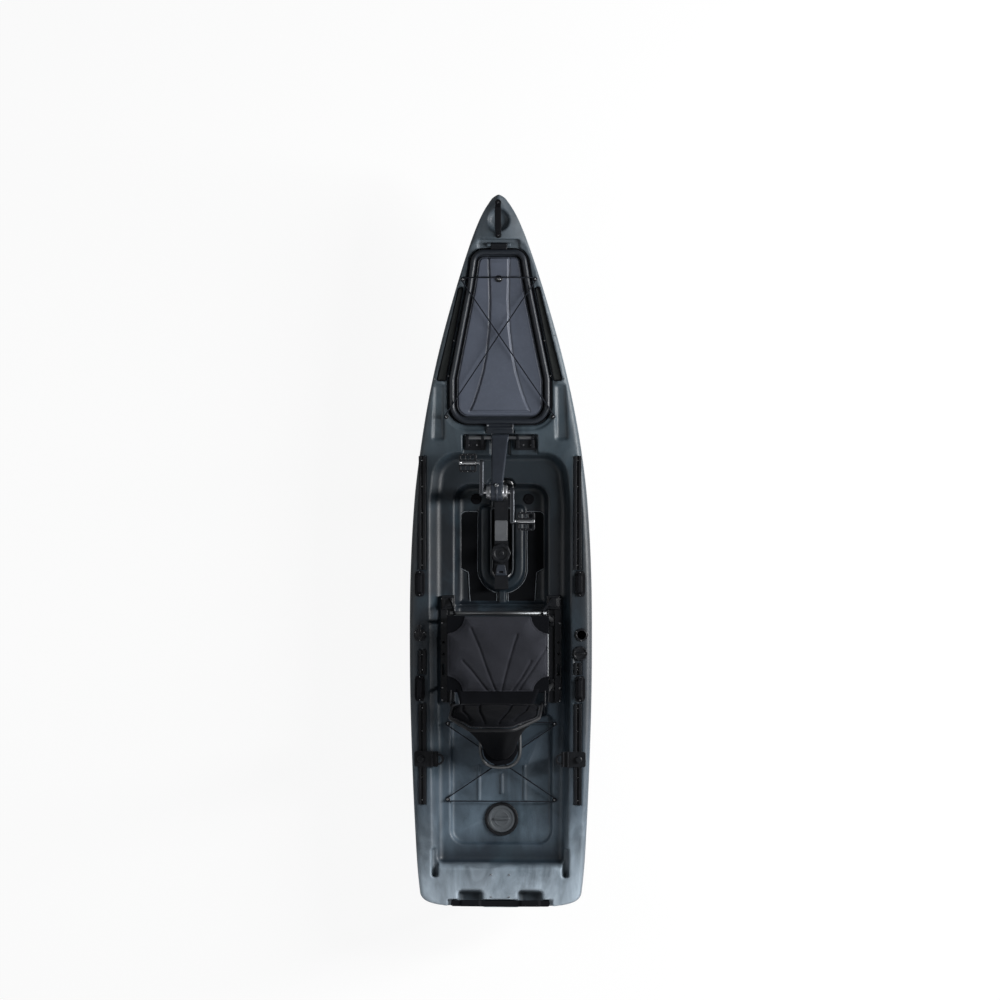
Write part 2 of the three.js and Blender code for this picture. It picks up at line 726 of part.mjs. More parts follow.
function makeHull() {
  const cuts = [
    hatchSeatPocket(0, 0), deckPocket(grown(lidOutline, -hatchSeat.mouthInset),
      hatchSeat.drop + overrun * 3, 0),
    carryPocket(0, 0), ...netPockets(0, 0), ...troughPockets(), hingeSeatPocket(), tubPocket(),
    wellPocket(footWell, wellOutline(footWell, footWell.frontRadius, footWell.rearRadius)),
    wellPocket(seatWell, wellOutline(seatWell, seatWell.radius, seatWell.radius)),
    wellPocket(tankWell, wellOutline(tankWell, tankWell.frontRadius, tankWell.rearRadius)),
    ...Object.entries(trackRuns).map(trackPocket), ...sternCuts(), tabPocket(),
  ];
  const shell = cutFrom(outerHull, [...cuts, bowHoldCavity(), sternHoldCavity()]);
  const raised = joined([shell, driveCollar(), ...tankRibs(), ...makePosts(), ...makeKnuckles()]);
  const pinBore = rod(axisX, -hatchPin.half - gap, hatchPin.half + gap, hatchPin.radius + gap,
    hatchPin.sides)
    .translate([0, hatchPin.y, sheerAt(hatchPin.y) - hatchPin.drop]);
  return cutFrom(raised, [driveTunnel(), pinBore, ...hullBores()]);
}

const hull = makeHull();
piece(kayak, 'hull', hull, 'marbledHull');

// Lay a piece modelled through the deck onto the hull, with the seating gap
function seated(solidPart) {
  return solidPart.subtract(hull.translate([0, 0, gap]));
}

function mirroredPair(group, name, make, finish) {
  const starboard = make();
  piece(group, `${name}_right`, starboard, finish);
  piece(group, `${name}_left`, starboard.mirror([1, 0, 0]), finish);
}

// Bow carry handle: a bar over the round recess, raised on a foot at each end
const carryHandle = { front: 2590, rear: 2388, width: 34, foot: 27, rise: 22, thick: 11, footThick: 9,
  bury: 12 };

function makeCarryHandle() {
  const { front, rear, foot, rise, thick, footThick, bury } = carryHandle;
  const top = (y) => deckHeightAt(0, y) + footThick;
  const low = (y) => deckHeightAt(0, y) - bury;
  const inFront = front - foot;
  const inRear = rear + foot;
  const bar = sidePlate(rounded([
    [rear, low(rear)], [rear, top(rear), footThick / 2], [inRear, top(inRear) + rise, foot / 2],
    [inFront, top(inFront) + rise, foot / 2], [front, top(front), footThick / 2], [front, low(front)],
    [inFront, low(inFront)], [inFront - thick, top(inFront) + rise - thick, thick / 2],
    [inRear + thick, top(inRear) + rise - thick, thick / 2], [inRear, low(inRear)],
  ], 3), -carryHandle.width / 2, carryHandle.width / 2);
  return seated(bar);
}

piece(kayak, 'bow_handle', makeCarryHandle(), 'rubber');

// Bow hatch: a gasket in the seat, a dished lid on a front pin, its latch and its cord
const lidForm = {
  height: 34, rimWidth: 32, trayDrop: 17, roof: 7, bead: 6, footIn: 4, panelRise: 9, skirt: 16,
    skirtThick: 6,
  skirtIn: 8,
};
const gasket = { inner: -30, outer: -4, height: 5 };
const lidTab = { half: 78, rear: 1268, front: 1352, thick: 11, lift: 9 };
const latch = { y: 2151, radius: 20, bore: 9, height: 8 };
const seatFloor = -hatchSeat.drop;
const lidUnder = seatFloor + gasket.height + gap * 2;
const lidGroup = movingGroup(kayak, 0, hatchPin.y, sheerAt(hatchPin.y) - hatchPin.drop);

function makeGasket() {
  const place = ([x, y, z]) => [x, y, z + sheerAt(y)];
  const low = seatFloor + gap;
  const ring = (by, z) => grown(lidOutline, by).map(([x, y]) => place([x, y, z]));
  const outer = loft([ring(gasket.outer, low), ring(gasket.outer, low + gasket.height)], ([x, y]) => [x,
    y]);
  const inner = loft([ring(gasket.inner, low - overrun), ring(gasket.inner, low + overrun)], ([x,
    y]) => [x, y]);
  return outer.subtract(inner);
}

function lidStack(levels) {
  return stacked(lidOutline, levels, sheerAt);
}

const trayPanelShares = [[-0.19, 0.85], [0.1, 0.85], [0.14, 0.3], [0.27, -0.88], [-0.27, -0.88], [-0.14,
  0.3]];

function makeLid() {
  const { height, rimWidth, trayDrop, roof, bead } = lidForm;
  const top = lidUnder + height;
  const body = lidStack([
    [lidUnder, -lidForm.footIn], [lidUnder + bead, 0], [top - bead, 0], [top, -bead], [top,
      bead - rimWidth],
    [top - trayDrop, -rimWidth],
  ]);
  const skirtOut = -rimWidth - lidForm.skirtIn;
  const hollow = lidStack([
    [lidUnder - bite, skirtOut - lidForm.skirtThick], [top - trayDrop - roof,
      skirtOut - lidForm.skirtThick],
  ]);
  const skirt = lidStack([[lidUnder - lidForm.skirt, skirtOut], [lidUnder + bite, skirtOut]])
    .subtract(lidStack([[-depth, skirtOut - lidForm.skirtThick], [depth, skirtOut - lidForm.skirtThick]]));
  const middle = (lid.front + lid.rear) / 2;
  const reach = (lid.front - lid.rear) / 2;
  const panelOutline = rounded(trayPanelShares.map(([x, y]) => [x * lid.wide * 2, middle + y * reach,
    rimWidth]), 2);
  const panel = stacked(panelOutline, [
    [top - trayDrop - roof / 2, 0], [top - trayDrop, 0],
    [top - trayDrop + lidForm.panelRise, -lidForm.panelRise * 2],
  ], sheerAt);
  const tabRear = sheerAt(lidTab.rear) + lidTab.lift;
  const tabFront = sheerAt(lidTab.front) + top;
  const tab = sidePlate([
    [lidTab.rear, tabRear], [lidTab.rear, tabRear + lidTab.thick],
    [lidTab.front, tabFront], [lidTab.front, tabFront - lidTab.thick],
  ], -lidTab.half, lidTab.half);
  const pinZ = sheerAt(hatchPin.y) - hatchPin.drop;
  const bar = rod(axisX, -hatchPin.lugOuter, hatchPin.lugOuter, hatchPin.lugRadius, hatchPin.sides)
    .translate([0, hatchPin.y, pinZ]);
  const arm = box(-hatchPin.lugOuter, hatchPin.lugOuter, lid.front - hatchSeat.margin, hatchPin.y,
    pinZ - hatchPin.lugRadius / 2, pinZ + hatchPin.lugRadius / 2);
  const bore = rod(axisX, -beam, beam, hatchPin.radius + runningGap, hatchPin.sides).translate([0,
    hatchPin.y, pinZ]);
  const whole = joined([body.subtract(hollow), skirt, panel, tab, bar, arm]);
  return cutFrom(whole, [bore]).translate([0, -hatchPin.y, -pinZ]);
}

function makeLatch() {
  const z = sheerAt(latch.y) + lidUnder + lidForm.height - lidForm.trayDrop;
  const ring = turned([
    [latch.bore, 0], [latch.radius, 0], [latch.radius, latch.height / 2],
    [latch.radius - latch.height / 4, latch.height], [latch.bore, latch.height], [latch.bore, 0],
  ], 20).rotate([THREE.MathUtils.radToDeg(Math.atan(bowSlope)), 0, 0]);
  const over = z - sheerAt(hatchPin.y) + hatchPin.drop;
  return ring.translate([0, latch.y - hatchPin.y, over + lidForm.panelRise + gap]);
}

piece(kayak, 'hatch_gasket', makeGasket(), 'rubber');
piece(lidGroup, 'bow_hatch_lid', makeLid(), 'blackPlastic');
piece(lidGroup, 'hatch_latch', makeLatch(), 'steel');

// Mesh pockets: a knotted net in a hem over each side recess
const net = { hem: 7, thick: 2.4, across: 2, along: 13, strand: 3, leastWidth: 9, lift: 1 };

function makeNet() {
  const outer = grown(netOutline, -gap * 4);
  const z = -net.thick - net.lift;
  const sheet = stacked(outer, [[z, 0], [z + net.thick, 0]], sheerAt);
  const pitch = (netPocket.tipY - netPocket.rear - net.hem * 4) / net.along;
  const holes = [];
  for (let row = 0; row < net.along; row++) {
    const y = netPocket.rear + net.hem + pitch * (row + 1 / 2);
    const share = (y - netPocket.rear) / (netPocket.tipY - netPocket.rear);
    const inner = lerp(netPocket.inner, netPocket.tipX - netPocket.radius, share) + net.hem;
    const outerEdge = lerp(netPocket.outer, netPocket.tipX + netPocket.radius, share) - net.hem;
    const columns = outerEdge - inner > pitch / 2 ? net.across : 1;
    const width = (outerEdge - inner) / columns;
    if (width < net.leastWidth) {
      continue;
    }
    for (let column = 0; column < columns; column++) {
      const x = inner + width * (column + 1 / 2);
      const [halfX, halfY] = [(width - net.strand) / 2, (pitch - net.strand) / 2];
      holes.push(plate([[x - halfX, y], [x, y - halfY], [x + halfX, y], [x, y + halfY]],
        depth / 2, depth * 2));
    }
  }
  return cutFrom(sheet, holes);
}

mirroredPair(kayak, 'side_net', makeNet, 'fabric');

// Gunwale tracks: an open channel with inward lips
const track = { height: 13, lipShare: 0.3, wallShare: 0.14, floorShare: 0.25, endGap: 3 };
const trackHalf = trackSeat.width / 2 - gap * 2;

function makeTrack([front, rear]) {
  const side = trackHalf * (1 - track.wallShare);
  const mouth = trackHalf * track.lipShare;
  const floor = track.height * track.floorShare;
  const lip = track.height * (1 - track.floorShare);
  const section = [
    [-trackHalf, 0], [trackHalf, 0], [trackHalf, track.height], [mouth, track.height], [mouth, lip],
    [side, lip], [side, floor], [-side, floor], [-side, lip], [-mouth, lip], [-mouth, track.height],
    [-trackHalf, track.height],
  ];
  return barAlong(section, rear + track.endGap, front - track.endGap);
}

Object.entries(trackRuns).forEach(([name, run]) => {
  piece(kayak, `track_${name}`, makeTrack(run), 'blackPlastic', sideOf(name) * trackSeat.x, 0,
    depth - trackSeat.drop + gap);
});

// Carry handles on the gunwales: a rounded grip over a low plate
const sideHandle = {
  x: 459, half: 29, length: 146, base: 8, baseRadius: 20, rise: 38, grip: 12, gripHalf: 14, foot: 26,
};
const sideHandleYs = { front: 417, rear: -181 };

function makeSideHandle(y) {
  const { half, length: reach, base, rise, grip, foot, gripHalf } = sideHandle;
  const ends = reach / 2;
  const baseOutline = moved(roundedBox(half, ends, sideHandle.baseRadius, 3), sideHandle.x, y);
  const plateSolid = stacked(baseOutline, [[depth + gap, 0], [depth + base, 0], [depth + base + gap * 5,
    -gap * 5]]);
  const arch = sidePlate(rounded([
    [y - ends + foot / 3, depth + base / 2], [y - ends + foot, depth + rise, foot / 2],
    [y + ends - foot, depth + rise, foot / 2], [y + ends - foot / 3, depth + base / 2],
    [y + ends - foot, depth + base / 2], [y + ends - foot - grip, depth + rise - grip, foot / 3],
    [y - ends + foot + grip, depth + rise - grip, foot / 3], [y - ends + foot, depth + base / 2],
  ], 3), sideHandle.x - gripHalf, sideHandle.x + gripHalf);
  return plateSolid.add(arch);
}

Object.entries(sideHandleYs).forEach(([where, y]) => {
  mirroredPair(kayak, `side_handle_${where}`, () => makeSideHandle(y), 'rubber');
});

// Starboard rod holder: a flanged tube down through the gunwale
const rodTube = { flange: 38, flangeTop: 36, flangeHeight: 5, floor: 5 };

function makeRodTube() {
  const low = depth - rodHolder.drop + gap;
  return turned([
    [0, low], [rodHolder.wallOut, low], [rodHolder.wallOut, depth + gap], [rodTube.flange, depth + gap],
    [rodTube.flange, depth + gap + rodTube.flangeHeight / 2], [rodTube.flangeTop,
      depth + rodTube.flangeHeight],
    [rodHolder.bore, depth + rodTube.flangeHeight], [rodHolder.bore, low + rodTube.floor], [0,
      low + rodTube.floor],
  ], rodHolder.sides).translate([rodHolder.x, rodHolder.y, 0]);
}

piece(kayak, 'rod_holder_tube', makeRodTube(), 'blackPlastic');

// Starboard deck cap: a screwed plug with a lobed rim and a raised grip
const capForm = { radius: 44, rim: 9, gripHalf: 30, gripWide: 6, gripHigh: 12, plugDrop: 22,
  lobeSides: 20 };
const capGroup = movingGroup(kayak, rodCap.x, rodCap.y, depth);

function makeCap() {
  const body = turned([
    [0, -capForm.plugDrop], [rodCap.plug - facetGap, -capForm.plugDrop], [rodCap.plug - facetGap, gap],
    [capForm.radius, gap], [capForm.radius, capForm.rim / 2], [capForm.radius - capForm.rim / 2,
      capForm.rim],
    [0, capForm.rim],
  ], capForm.lobeSides);
  const grip = box(-capForm.gripHalf, capForm.gripHalf, -capForm.gripWide, capForm.gripWide,
    capForm.rim / 2, capForm.gripHigh + capForm.rim);
  return body.add(grip);
}

piece(capGroup, 'deck_cap', makeCap(), 'blackPlastic');

// Steering control on the port gunwale, with the rudder that it turns under the stern
const steering = {
  x: -459, y: 124, radius: 36, height: 12, knob: 13, knobHigh: 34, arm: 62, armHalf: 7, armHigh: 8,
};
const steeringGroup = movingGroup(kayak, steering.x, steering.y, depth);

function makeSteeringLever() {
  const hub = turned([
    [0, gap], [steering.radius, gap], [steering.radius, steering.height / 2],
    [steering.radius - steering.height / 2, steering.height], [0, steering.height],
  ], 24);
  const low = steering.height / 2;
  const arm = box(-steering.armHalf, steering.armHalf, 0, steering.arm, low, low + steering.armHigh);
  const knob = turned([
    [0, low], [steering.knob / 2, low], [steering.knob / 2, steering.height],
    [steering.knob, steering.height + steering.knob / 2], [steering.knob,
      steering.knobHigh - steering.knob / 2],
    [steering.knob / 2, steering.knobHigh], [0, steering.knobHigh],
  ], 12).translate([0, steering.arm - steering.knob, 0]);
  return joined([hub, arm, knob]);
}

piece(steeringGroup, 'steering_lever', makeSteeringLever(), 'blackPlastic');

const rudder = {
  drop: 190, chordAhead: 34, chordBehind: 92, thick: 12, tipShare: 0.62, headGap: 1.5, postRise: 90,
    tipRadius: 24,
};
const rudderGroup = movingGroup(kayak, 0, rudderPost.y, 0);

function makeRudder() {
  const top = keelAt(rudderPost.y + rudder.chordAhead) - rudder.headGap;
  const blade = sidePlate(rounded([
    [rudder.chordAhead, top], [rudder.chordAhead * rudder.tipShare, -rudder.drop, rudder.tipRadius / 2],
    [-rudder.chordBehind * rudder.tipShare, -rudder.drop, rudder.tipRadius], [-rudder.chordBehind, top],
  ], 3), -rudder.thick / 2, rudder.thick / 2);
  const post = rod(axisZ, top - rudder.drop / 3, top + rudder.postRise, rudderPost.radius - gap,
    rudderPost.sides);
  return blade.add(post);
}

piece(rudderGroup, 'rudder', makeRudder(), 'blackPlastic');

// Foam floor pads beside the drive well
const footPad = {
  outer: 248, front: 834, thick: 5, sideStep: 500, narrow: 201, narrowFront: 476, cornerX: 191, rear: 306,
    neck: 27,
  arcRadius: 138,
};

function makeFootPad() {
  const arc = [];
  const steps = 6;
  const from = Math.asin(footPad.neck / footPad.arcRadius);
  for (let i = 0; i <= steps; i++) {
    const angle = lerp(quarterTurn, from, i / steps);
    arc.push([footPad.arcRadius * Math.sin(angle),
      driveWell.rearCentre - footPad.arcRadius * Math.cos(angle)]);
  }
  const outline = [
    ...arc, [footPad.neck, footPad.rear], [footPad.cornerX, footPad.rear], [footPad.narrow,
      footPad.narrowFront],
    [footPad.outer, footPad.sideStep], [footPad.outer, footPad.front], [footPad.arcRadius, footPad.front],
  ];
  return plate(outline, footWell.floor + gap, footWell.floor + gap + footPad.thick);
}

mirroredPair(kayak, 'foot_pad', makeFootPad, 'foam');

// Scupper plugs with a ring to pull them out by
const plugForm = { radius: 31, topRadius: 25, height: 7, stem: 12, stemDrop: 60, ring: 14, ringWire: 2.5 };

function makeScupperPlug() {
  const body = turned([
    [0, footWell.floor - plugForm.stemDrop], [plugForm.stem, footWell.floor - plugForm.stemDrop],
    [scupper.bore - facetGap, footWell.floor], [scupper.bore - facetGap, footWell.floor + gap],
    [plugForm.radius, footWell.floor + gap], [plugForm.radius, footWell.floor + plugForm.height / 2],
    [plugForm.topRadius, footWell.floor + plugForm.height], [0, footWell.floor + plugForm.height],
  ], 14);
  const low = footWell.floor + plugForm.height / 2;
  const ring = tube([
    [-plugForm.ring, 0, low], [-plugForm.ring / 2, 0, low + plugForm.ring], [plugForm.ring / 2, 0,
      low + plugForm.ring],
    [plugForm.ring, 0, low],
  ], plugForm.ringWire, 5, 6);
  return body.add(ring).translate([scupper.x, scupper.y, 0]);
}

mirroredPair(kayak, 'scupper_plug', makeScupperPlug, 'rubber');

// Seat rails on the shelf, with a slotted top for gear and a groove for the seat's feet
const seatRail = {
  inner: 268, outer: 345, front: 347, rear: -263, height: 22, innerRound: 10, outerRound: 20,
  groove: 34, grooveInner: 274, grooveDrop: 12,
  holeX: 329, holeRadius: 8, holeYs: [80, 15], windowHalfX: 8, windowFront: -42, windowRear: -108,
};

function makeSeatRail() {
  const low = tub.shelf + gap;
  const top = tub.shelf + seatRail.height;
  const outline = rounded([
    [seatRail.inner, seatRail.rear, seatRail.innerRound], [seatRail.outer, seatRail.rear,
      seatRail.outerRound],
    [seatRail.outer, seatRail.front, seatRail.outerRound], [seatRail.inner, seatRail.front,
      seatRail.innerRound],
  ], 2);
  const body = plate(outline, low, top);
  const groove = box(seatRail.grooveInner, seatRail.grooveInner + seatRail.groove, seatRail.rear - overrun,
    seatRail.front + overrun, top - seatRail.grooveDrop, top + overrun);
  const holes = seatRail.holeYs.map((y) => rod(axisZ, 0, depth, seatRail.holeRadius, 12)
    .translate([seatRail.holeX, y, 0]));
  const window = box(seatRail.holeX - seatRail.windowHalfX, seatRail.holeX + seatRail.windowHalfX,
    seatRail.windowRear, seatRail.windowFront, 0, depth);
  return cutFrom(body, [groove, ...holes, window]);
}

mirroredPair(kayak, 'seat_rail', makeSeatRail, 'blackPlastic');

// Stern hatch: a threaded ring in the tank floor and a lid that twists in it
const hatchRing = { outer: 98, outerTop: 93, inner: 78, height: 13, edgeHeight: 9, neckWall: 5,
  neckDrop: 14 };
const sternLid = { thick: 7, rimWide: 12, dishIn: 14, dishDrop: 3, gripHalf: 46, gripWide: 9, gripHigh: 9 };
const sternLidGroup = movingGroup(kayak, 0, sternHatch.y, tankWell.floor);

function makeHatchRing() {
  const neck = sternHatch.bore - gap;
  return turned([
    [neck - hatchRing.neckWall, -hatchRing.neckDrop], [neck, -hatchRing.neckDrop], [neck, gap],
      [hatchRing.outer, gap],
    [hatchRing.outer, hatchRing.edgeHeight], [hatchRing.outerTop, hatchRing.height],
    [hatchRing.inner, hatchRing.height], [hatchRing.inner, gap * 4], [neck - hatchRing.neckWall, gap * 4],
    [neck - hatchRing.neckWall, -hatchRing.neckDrop],
  ], sternHatch.sides).translate([0, sternHatch.y, tankWell.floor]);
}

function makeSternLid() {
  const low = gap * 6;
  const radius = hatchRing.inner - facetGap;
  const rim = low + sternLid.thick;
  const dish = rim - sternLid.dishDrop;
  const disc = turned([
    [0, low], [radius, low], [radius, rim], [radius - sternLid.rimWide, rim],
    [radius - sternLid.dishIn, dish], [0, dish],
  ], sternHatch.sides);
  const grip = box(-sternLid.gripHalf, sternLid.gripHalf, -sternLid.gripWide / 2, sternLid.gripWide / 2,
    low, low + sternLid.gripHigh + sternLid.thick);
  return disc.add(grip);
}

piece(kayak, 'stern_hatch_ring', makeHatchRing(), 'blackPlastic');
piece(sternLidGroup, 'stern_hatch_lid', makeSternLid(), 'greyPlastic');

// Stern grab bar: one moulding in the rebate, free over the two scoops
const grabBar = { half: 282, thin: 20, thick: 30, front: -1388, rear: -1425, gripHalf: 62, gripX: 171,
  round: 7 };

function makeGrabBar() {
  const low = depth - grabRebate.drop + gap;
  const middle = (grabBar.front + grabBar.rear) / 2;
  const span = (grabBar.front - grabBar.rear) / 2;
  const outline = moved(roundedBox(grabBar.half, span, grabBar.round * 2, 3), 0, middle);
  const bar = plate(outline, low, low + grabBar.thin);
  const grips = [-1, 1].map((side) => stacked(
    moved(roundedBox(grabBar.gripHalf, span, grabBar.round, 2), side * grabBar.gripX, middle),
    [[low, 0], [low + grabBar.thick - grabBar.round, 0], [low + grabBar.thick, -grabBar.round]]));
  return joined([bar, ...grips]);
}

piece(kayak, 'stern_grab_bar', makeGrabBar(), 'rubber');

// Paddle clips that slide on the rear tracks: a clamp knob, two bars and a half-round jaw
const clip = {
  y: -583, outer: 490, half: 44, base: 10, innerRound: 6, outerRound: 12, knobX: 452, knob: 19, knobTop: 14,
  knobHigh: 30, knobEdge: 4, shank: 6, barHalf: 4, barXs: [388, 362], jawX: 352, jawRadius: 34, jawBore: 22,
  jawHigh: 30, slotFoot: 5,
};
const clipGroups = [1, -1].map(() => movingGroup(kayak, 0, clip.y, depth + track.height - trackSeat.drop));

function makeClip() {
  const low = gap * 2;
  const base = plate(rounded([
    [clip.jawX, -clip.half, clip.innerRound], [clip.outer, -clip.half, clip.outerRound],
    [clip.outer, clip.half, clip.outerRound], [clip.jawX, clip.half, clip.innerRound],
  ], 3), low, low + clip.base);
  const jawOutline = [];
  const steps = 10;
  for (let i = 0; i <= steps; i++) {
    const angle = lerp(quarterTurn, 3 * quarterTurn, i / steps);
    jawOutline.push([clip.jawX + clip.jawRadius * Math.cos(angle), clip.jawRadius * Math.sin(angle)]);
  }
  for (let i = steps; i >= 0; i--) {
    const angle = lerp(quarterTurn, 3 * quarterTurn, i / steps);
    jawOutline.push([clip.jawX + clip.jawBore * Math.cos(angle), clip.jawBore * Math.sin(angle)]);
  }
  const jaw = plate(jawOutline, low, low + clip.jawHigh);
  const bars = clip.barXs.map((x) => box(x - clip.barHalf, x + clip.barHalf, -clip.half, clip.half,
    low, low + clip.base * 2));
  const knob = turned([
    [0, 0], [clip.shank, 0], [clip.shank, clip.base], [clip.knob, clip.base + clip.knobEdge],
    [clip.knob, clip.knobHigh - clip.knobEdge], [clip.knobTop, clip.knobHigh], [0, clip.knobHigh],
  ], 14).translate([clip.knobX, 0, low]);
  const stem = rod(axisZ, -track.height * track.floorShare - gap, clip.base, clip.slotFoot, 8)
    .translate([trackSeat.x, 0, 0]);
  return joined([base, jaw, ...bars, knob, stem]);
}

piece(clipGroups[0], 'paddle_clip_right', makeClip(), 'blackPlastic');
piece(clipGroups[1], 'paddle_clip_left', makeClip().mirror([1, 0, 0]), 'blackPlastic');

// Pedal drive: hung on a bar across the deck, so that leg and propeller lift aft through the tunnel
const pivot = { y: 1250, z: 322, radius: 11, half: 194, sides: 12 };
const axle = { back: 311, up: 223, radius: 10, sides: 16 };
const driveGroup = movingGroup(kayak, 0, pivot.y, pivot.z);
const crankGroup = movingGroup(driveGroup, 0, -axle.back, axle.up);
const saddle = {
  inner: 84, outer: 203, front: 1236, rear: 1178, base: 10, round: 8, frontRound: 4,
  lugWide: 16, ring: 18, lugInset: 8, webRear: 1192, boltHead: 9, boltInset: 30, boltHigh: 5,
};

function makeSaddle() {
  const floor = depth - hingeSeat.drop + gap;
  const base = plate(rounded([
    [saddle.inner, saddle.rear, saddle.round], [saddle.outer, saddle.rear, saddle.round],
    [saddle.outer, saddle.front, saddle.frontRound], [saddle.inner, saddle.front, saddle.frontRound],
  ], 2), floor, floor + saddle.base);
  const lugs = [saddle.inner + saddle.lugInset,
    saddle.outer - saddle.lugInset - saddle.lugWide].map((x) => {
    const ring = rod(axisX, x, x + saddle.lugWide, saddle.ring, pivot.sides).translate([0, pivot.y,
      pivot.z]);
    const web = box(x, x + saddle.lugWide, saddle.webRear, pivot.y, floor, pivot.z + saddle.ring / 2);
    return ring.add(web);
  });
  const headTop = floor + saddle.base + saddle.boltHigh;
  const headXs = [saddle.inner + saddle.boltInset, saddle.outer - saddle.boltInset];
  const heads = headXs.map((x) => rod(axisZ, floor, headTop, saddle.boltHead, 8)
    .translate([x, (saddle.front + saddle.rear) / 2, 0]));
  const bore = rod(axisX, 0, beam, pivot.radius + runningGap, pivot.sides).translate([0, pivot.y, pivot.z]);
  const under = box(0, beam, 0, bowTip, 0, floor);
  return cutFrom(joined([base, ...lugs, ...heads]), [bore, under]);
}

mirroredPair(kayak, 'drive_saddle', makeSaddle, 'blackPlastic');
piece(driveGroup, 'drive_pivot_bar', rod(axisX, -pivot.half, pivot.half, pivot.radius, pivot.sides),
  'steel');

// Straight bevel gears: teeth as shares of the module, drawn in to the common apex
const tooth = { addendumShare: 0.8, dedendumShare: 1.2, tipShare: 0.1, rootShare: 0.3, faceShare: 0.28 };

function bevelGear(teeth, mateTeeth, module, hubRadius, hubLength) {
  const radius = teeth * module / 2;
  const toApex = mateTeeth * module / 2;
  const cone = Math.atan2(radius, toApex);
  const ringAt = (share) => {
    const points = [];
    for (let i = 0; i < teeth; i++) {
      const pitch = fullTurn / teeth;
      const spots = [[-tooth.rootShare, -1], [-tooth.tipShare, 1], [tooth.tipShare, 1], [tooth.rootShare,
        -1]];
      spots.forEach(([across, side]) => {
        const by = module * (side > 0 ? tooth.addendumShare : -tooth.dedendumShare);
        const r = (radius + by * Math.cos(cone)) * share;
        const z = (toApex - by * Math.sin(cone)) * share;
        const angle = (i + across) * pitch;
        points.push([r * Math.cos(angle), r * Math.sin(angle), z]);
      });
    }
    return points;
  };
  const rootBack = toApex + tooth.dedendumShare * module * Math.sin(cone);
  const crown = loft([ringAt(1 - tooth.faceShare), ringAt(1)], ([x, y]) => [x, y]);
  const hub = rod(axisZ, toApex, rootBack + hubLength, hubRadius, 16);
  return crown.add(hub);
}

// Gear trains: crank to mast at the top, mast to propeller below
const upperGears = {
  module: 2, crank: 36, mast: 12, crankHub: 18, crankHubLong: 8, mastHub: 9, mastHubLong: 6,
};
const lowerGears = {
  module: 2, mast: 27, screw: 9, mastHub: 11, mastHubLong: 8, screwHub: 6.5, screwHubLong: 4,
};
const mast = { radius: 7.5, drop: 745, sides: 14 };

const crankCase = {
  radius: 49, half: 33, cavity: 41, wallX: 27, neck: 27, neckDrop: 122, bore: 16, sides: 22, plug: 17,
    plugHigh: 5,
};
const arm = {
  hubHalf: 50, hubRadius: 18, wide: 47, wideHigh: 15, narrow: 29, narrowHigh: 27, endBack: 280, endUp: 206,
  rootAhead: 4, rootUp: 4, middleRise: 8, middleSwell: 2, middleShare: 0.25, pocketShare: 0.62,
    pocketFloor: 4,
  roundShare: 0.25,
};

function armBody(shrink, raise) {
  const ring = (y, z, half, high) => {
    const low = z - high + raise;
    const top = z + high + (raise ? bite : 0);
    const round = (top - low) * arm.roundShare;
    return rounded([[-half, low, round], [half, low, round], [half, top, round], [-half, top, round]], 2)
      .map(([x, pz]) => [x, y, pz]);
  };
  const middle = (from, to) => (from + to) / 2;
  return loft([
    ring(-arm.rootAhead, arm.rootUp, arm.wide * shrink, arm.wideHigh),
    ring(-arm.endBack * arm.middleShare, arm.endUp * arm.middleShare + arm.middleRise,
      middle(arm.wide, arm.narrow) * shrink + arm.middleSwell, middle(arm.wideHigh, arm.narrowHigh)),
    ring(-arm.endBack, arm.endUp, arm.narrow * shrink, arm.narrowHigh),
  ], ([x, , z]) => [x, z]);
}

function makeDriveCase() {
  const place = (part) => part.translate([0, -axle.back, axle.up]);
  const hub = rod(axisX, -arm.hubHalf, arm.hubHalf, arm.hubRadius, pivot.sides);
  const drum = place(rod(axisX, -crankCase.half, crankCase.half, crankCase.radius, crankCase.sides));
  const neck = place(rod(axisZ, -crankCase.neckDrop, 0, crankCase.neck, 20));
  const cap = place(rod(axisZ, 0, crankCase.radius + crankCase.plugHigh, crankCase.plug, 14));
  const pocket = armBody(arm.pocketShare, arm.pocketFloor + arm.wideHigh)
    .subtract(place(rod(axisX, -beam, beam, crankCase.radius + wall, crankCase.sides)));
  const solidCase = joined([hub, armBody(1, 0).subtract(pocket), drum, neck, cap]);
  return cutFrom(solidCase, [
    rod(axisX, -beam, beam, pivot.radius + gap, pivot.sides),
    place(rod(axisX, -crankCase.half - bite, crankCase.wallX, crankCase.cavity, crankCase.sides)),
    place(rod(axisX, 0, crankCase.half + bite, crankCase.bore, 16)),
    place(rod(axisZ, -crankCase.neckDrop - bite, 0, crankCase.bore, 16)),
  ]);
}

const bearingCap = { boss: 37, flange: 47, flangeThick: 5, long: 25, bevel: 4, spigot: 4.5 };

function makeBearingCap(withSpigot) {
  const bore = axle.radius + runningGap;
  const low = crankCase.half + gap;
  const spigotRadius = crankCase.cavity - facetGap;
  const seat = withSpigot
    ? [[bore, low - bearingCap.spigot], [spigotRadius, low - bearingCap.spigot], [spigotRadius, low],
      [bearingCap.flange, low], [bearingCap.flange, low + bearingCap.flangeThick],
      [bearingCap.boss, low + bearingCap.flangeThick]]
    : [[bore, low], [bearingCap.boss, low]];
  const top = low + bearingCap.long;
  return turned([
    ...seat, [bearingCap.boss, top - bearingCap.bevel], [bearingCap.boss - bearingCap.bevel, top],
    [bore, top], seat[0],
  ], 24).rotate([0, 90, 0]);
}

piece(driveGroup, 'drive_case', makeDriveCase(), 'blackPlastic');
piece(driveGroup, 'bearing_cap_right', makeBearingCap(false), 'aluminium', 0, -axle.back, axle.up);
piece(driveGroup, 'bearing_cap_left', makeBearingCap(true).mirror([1, 0, 0]), 'aluminium', 0, -axle.back,
  axle.up);

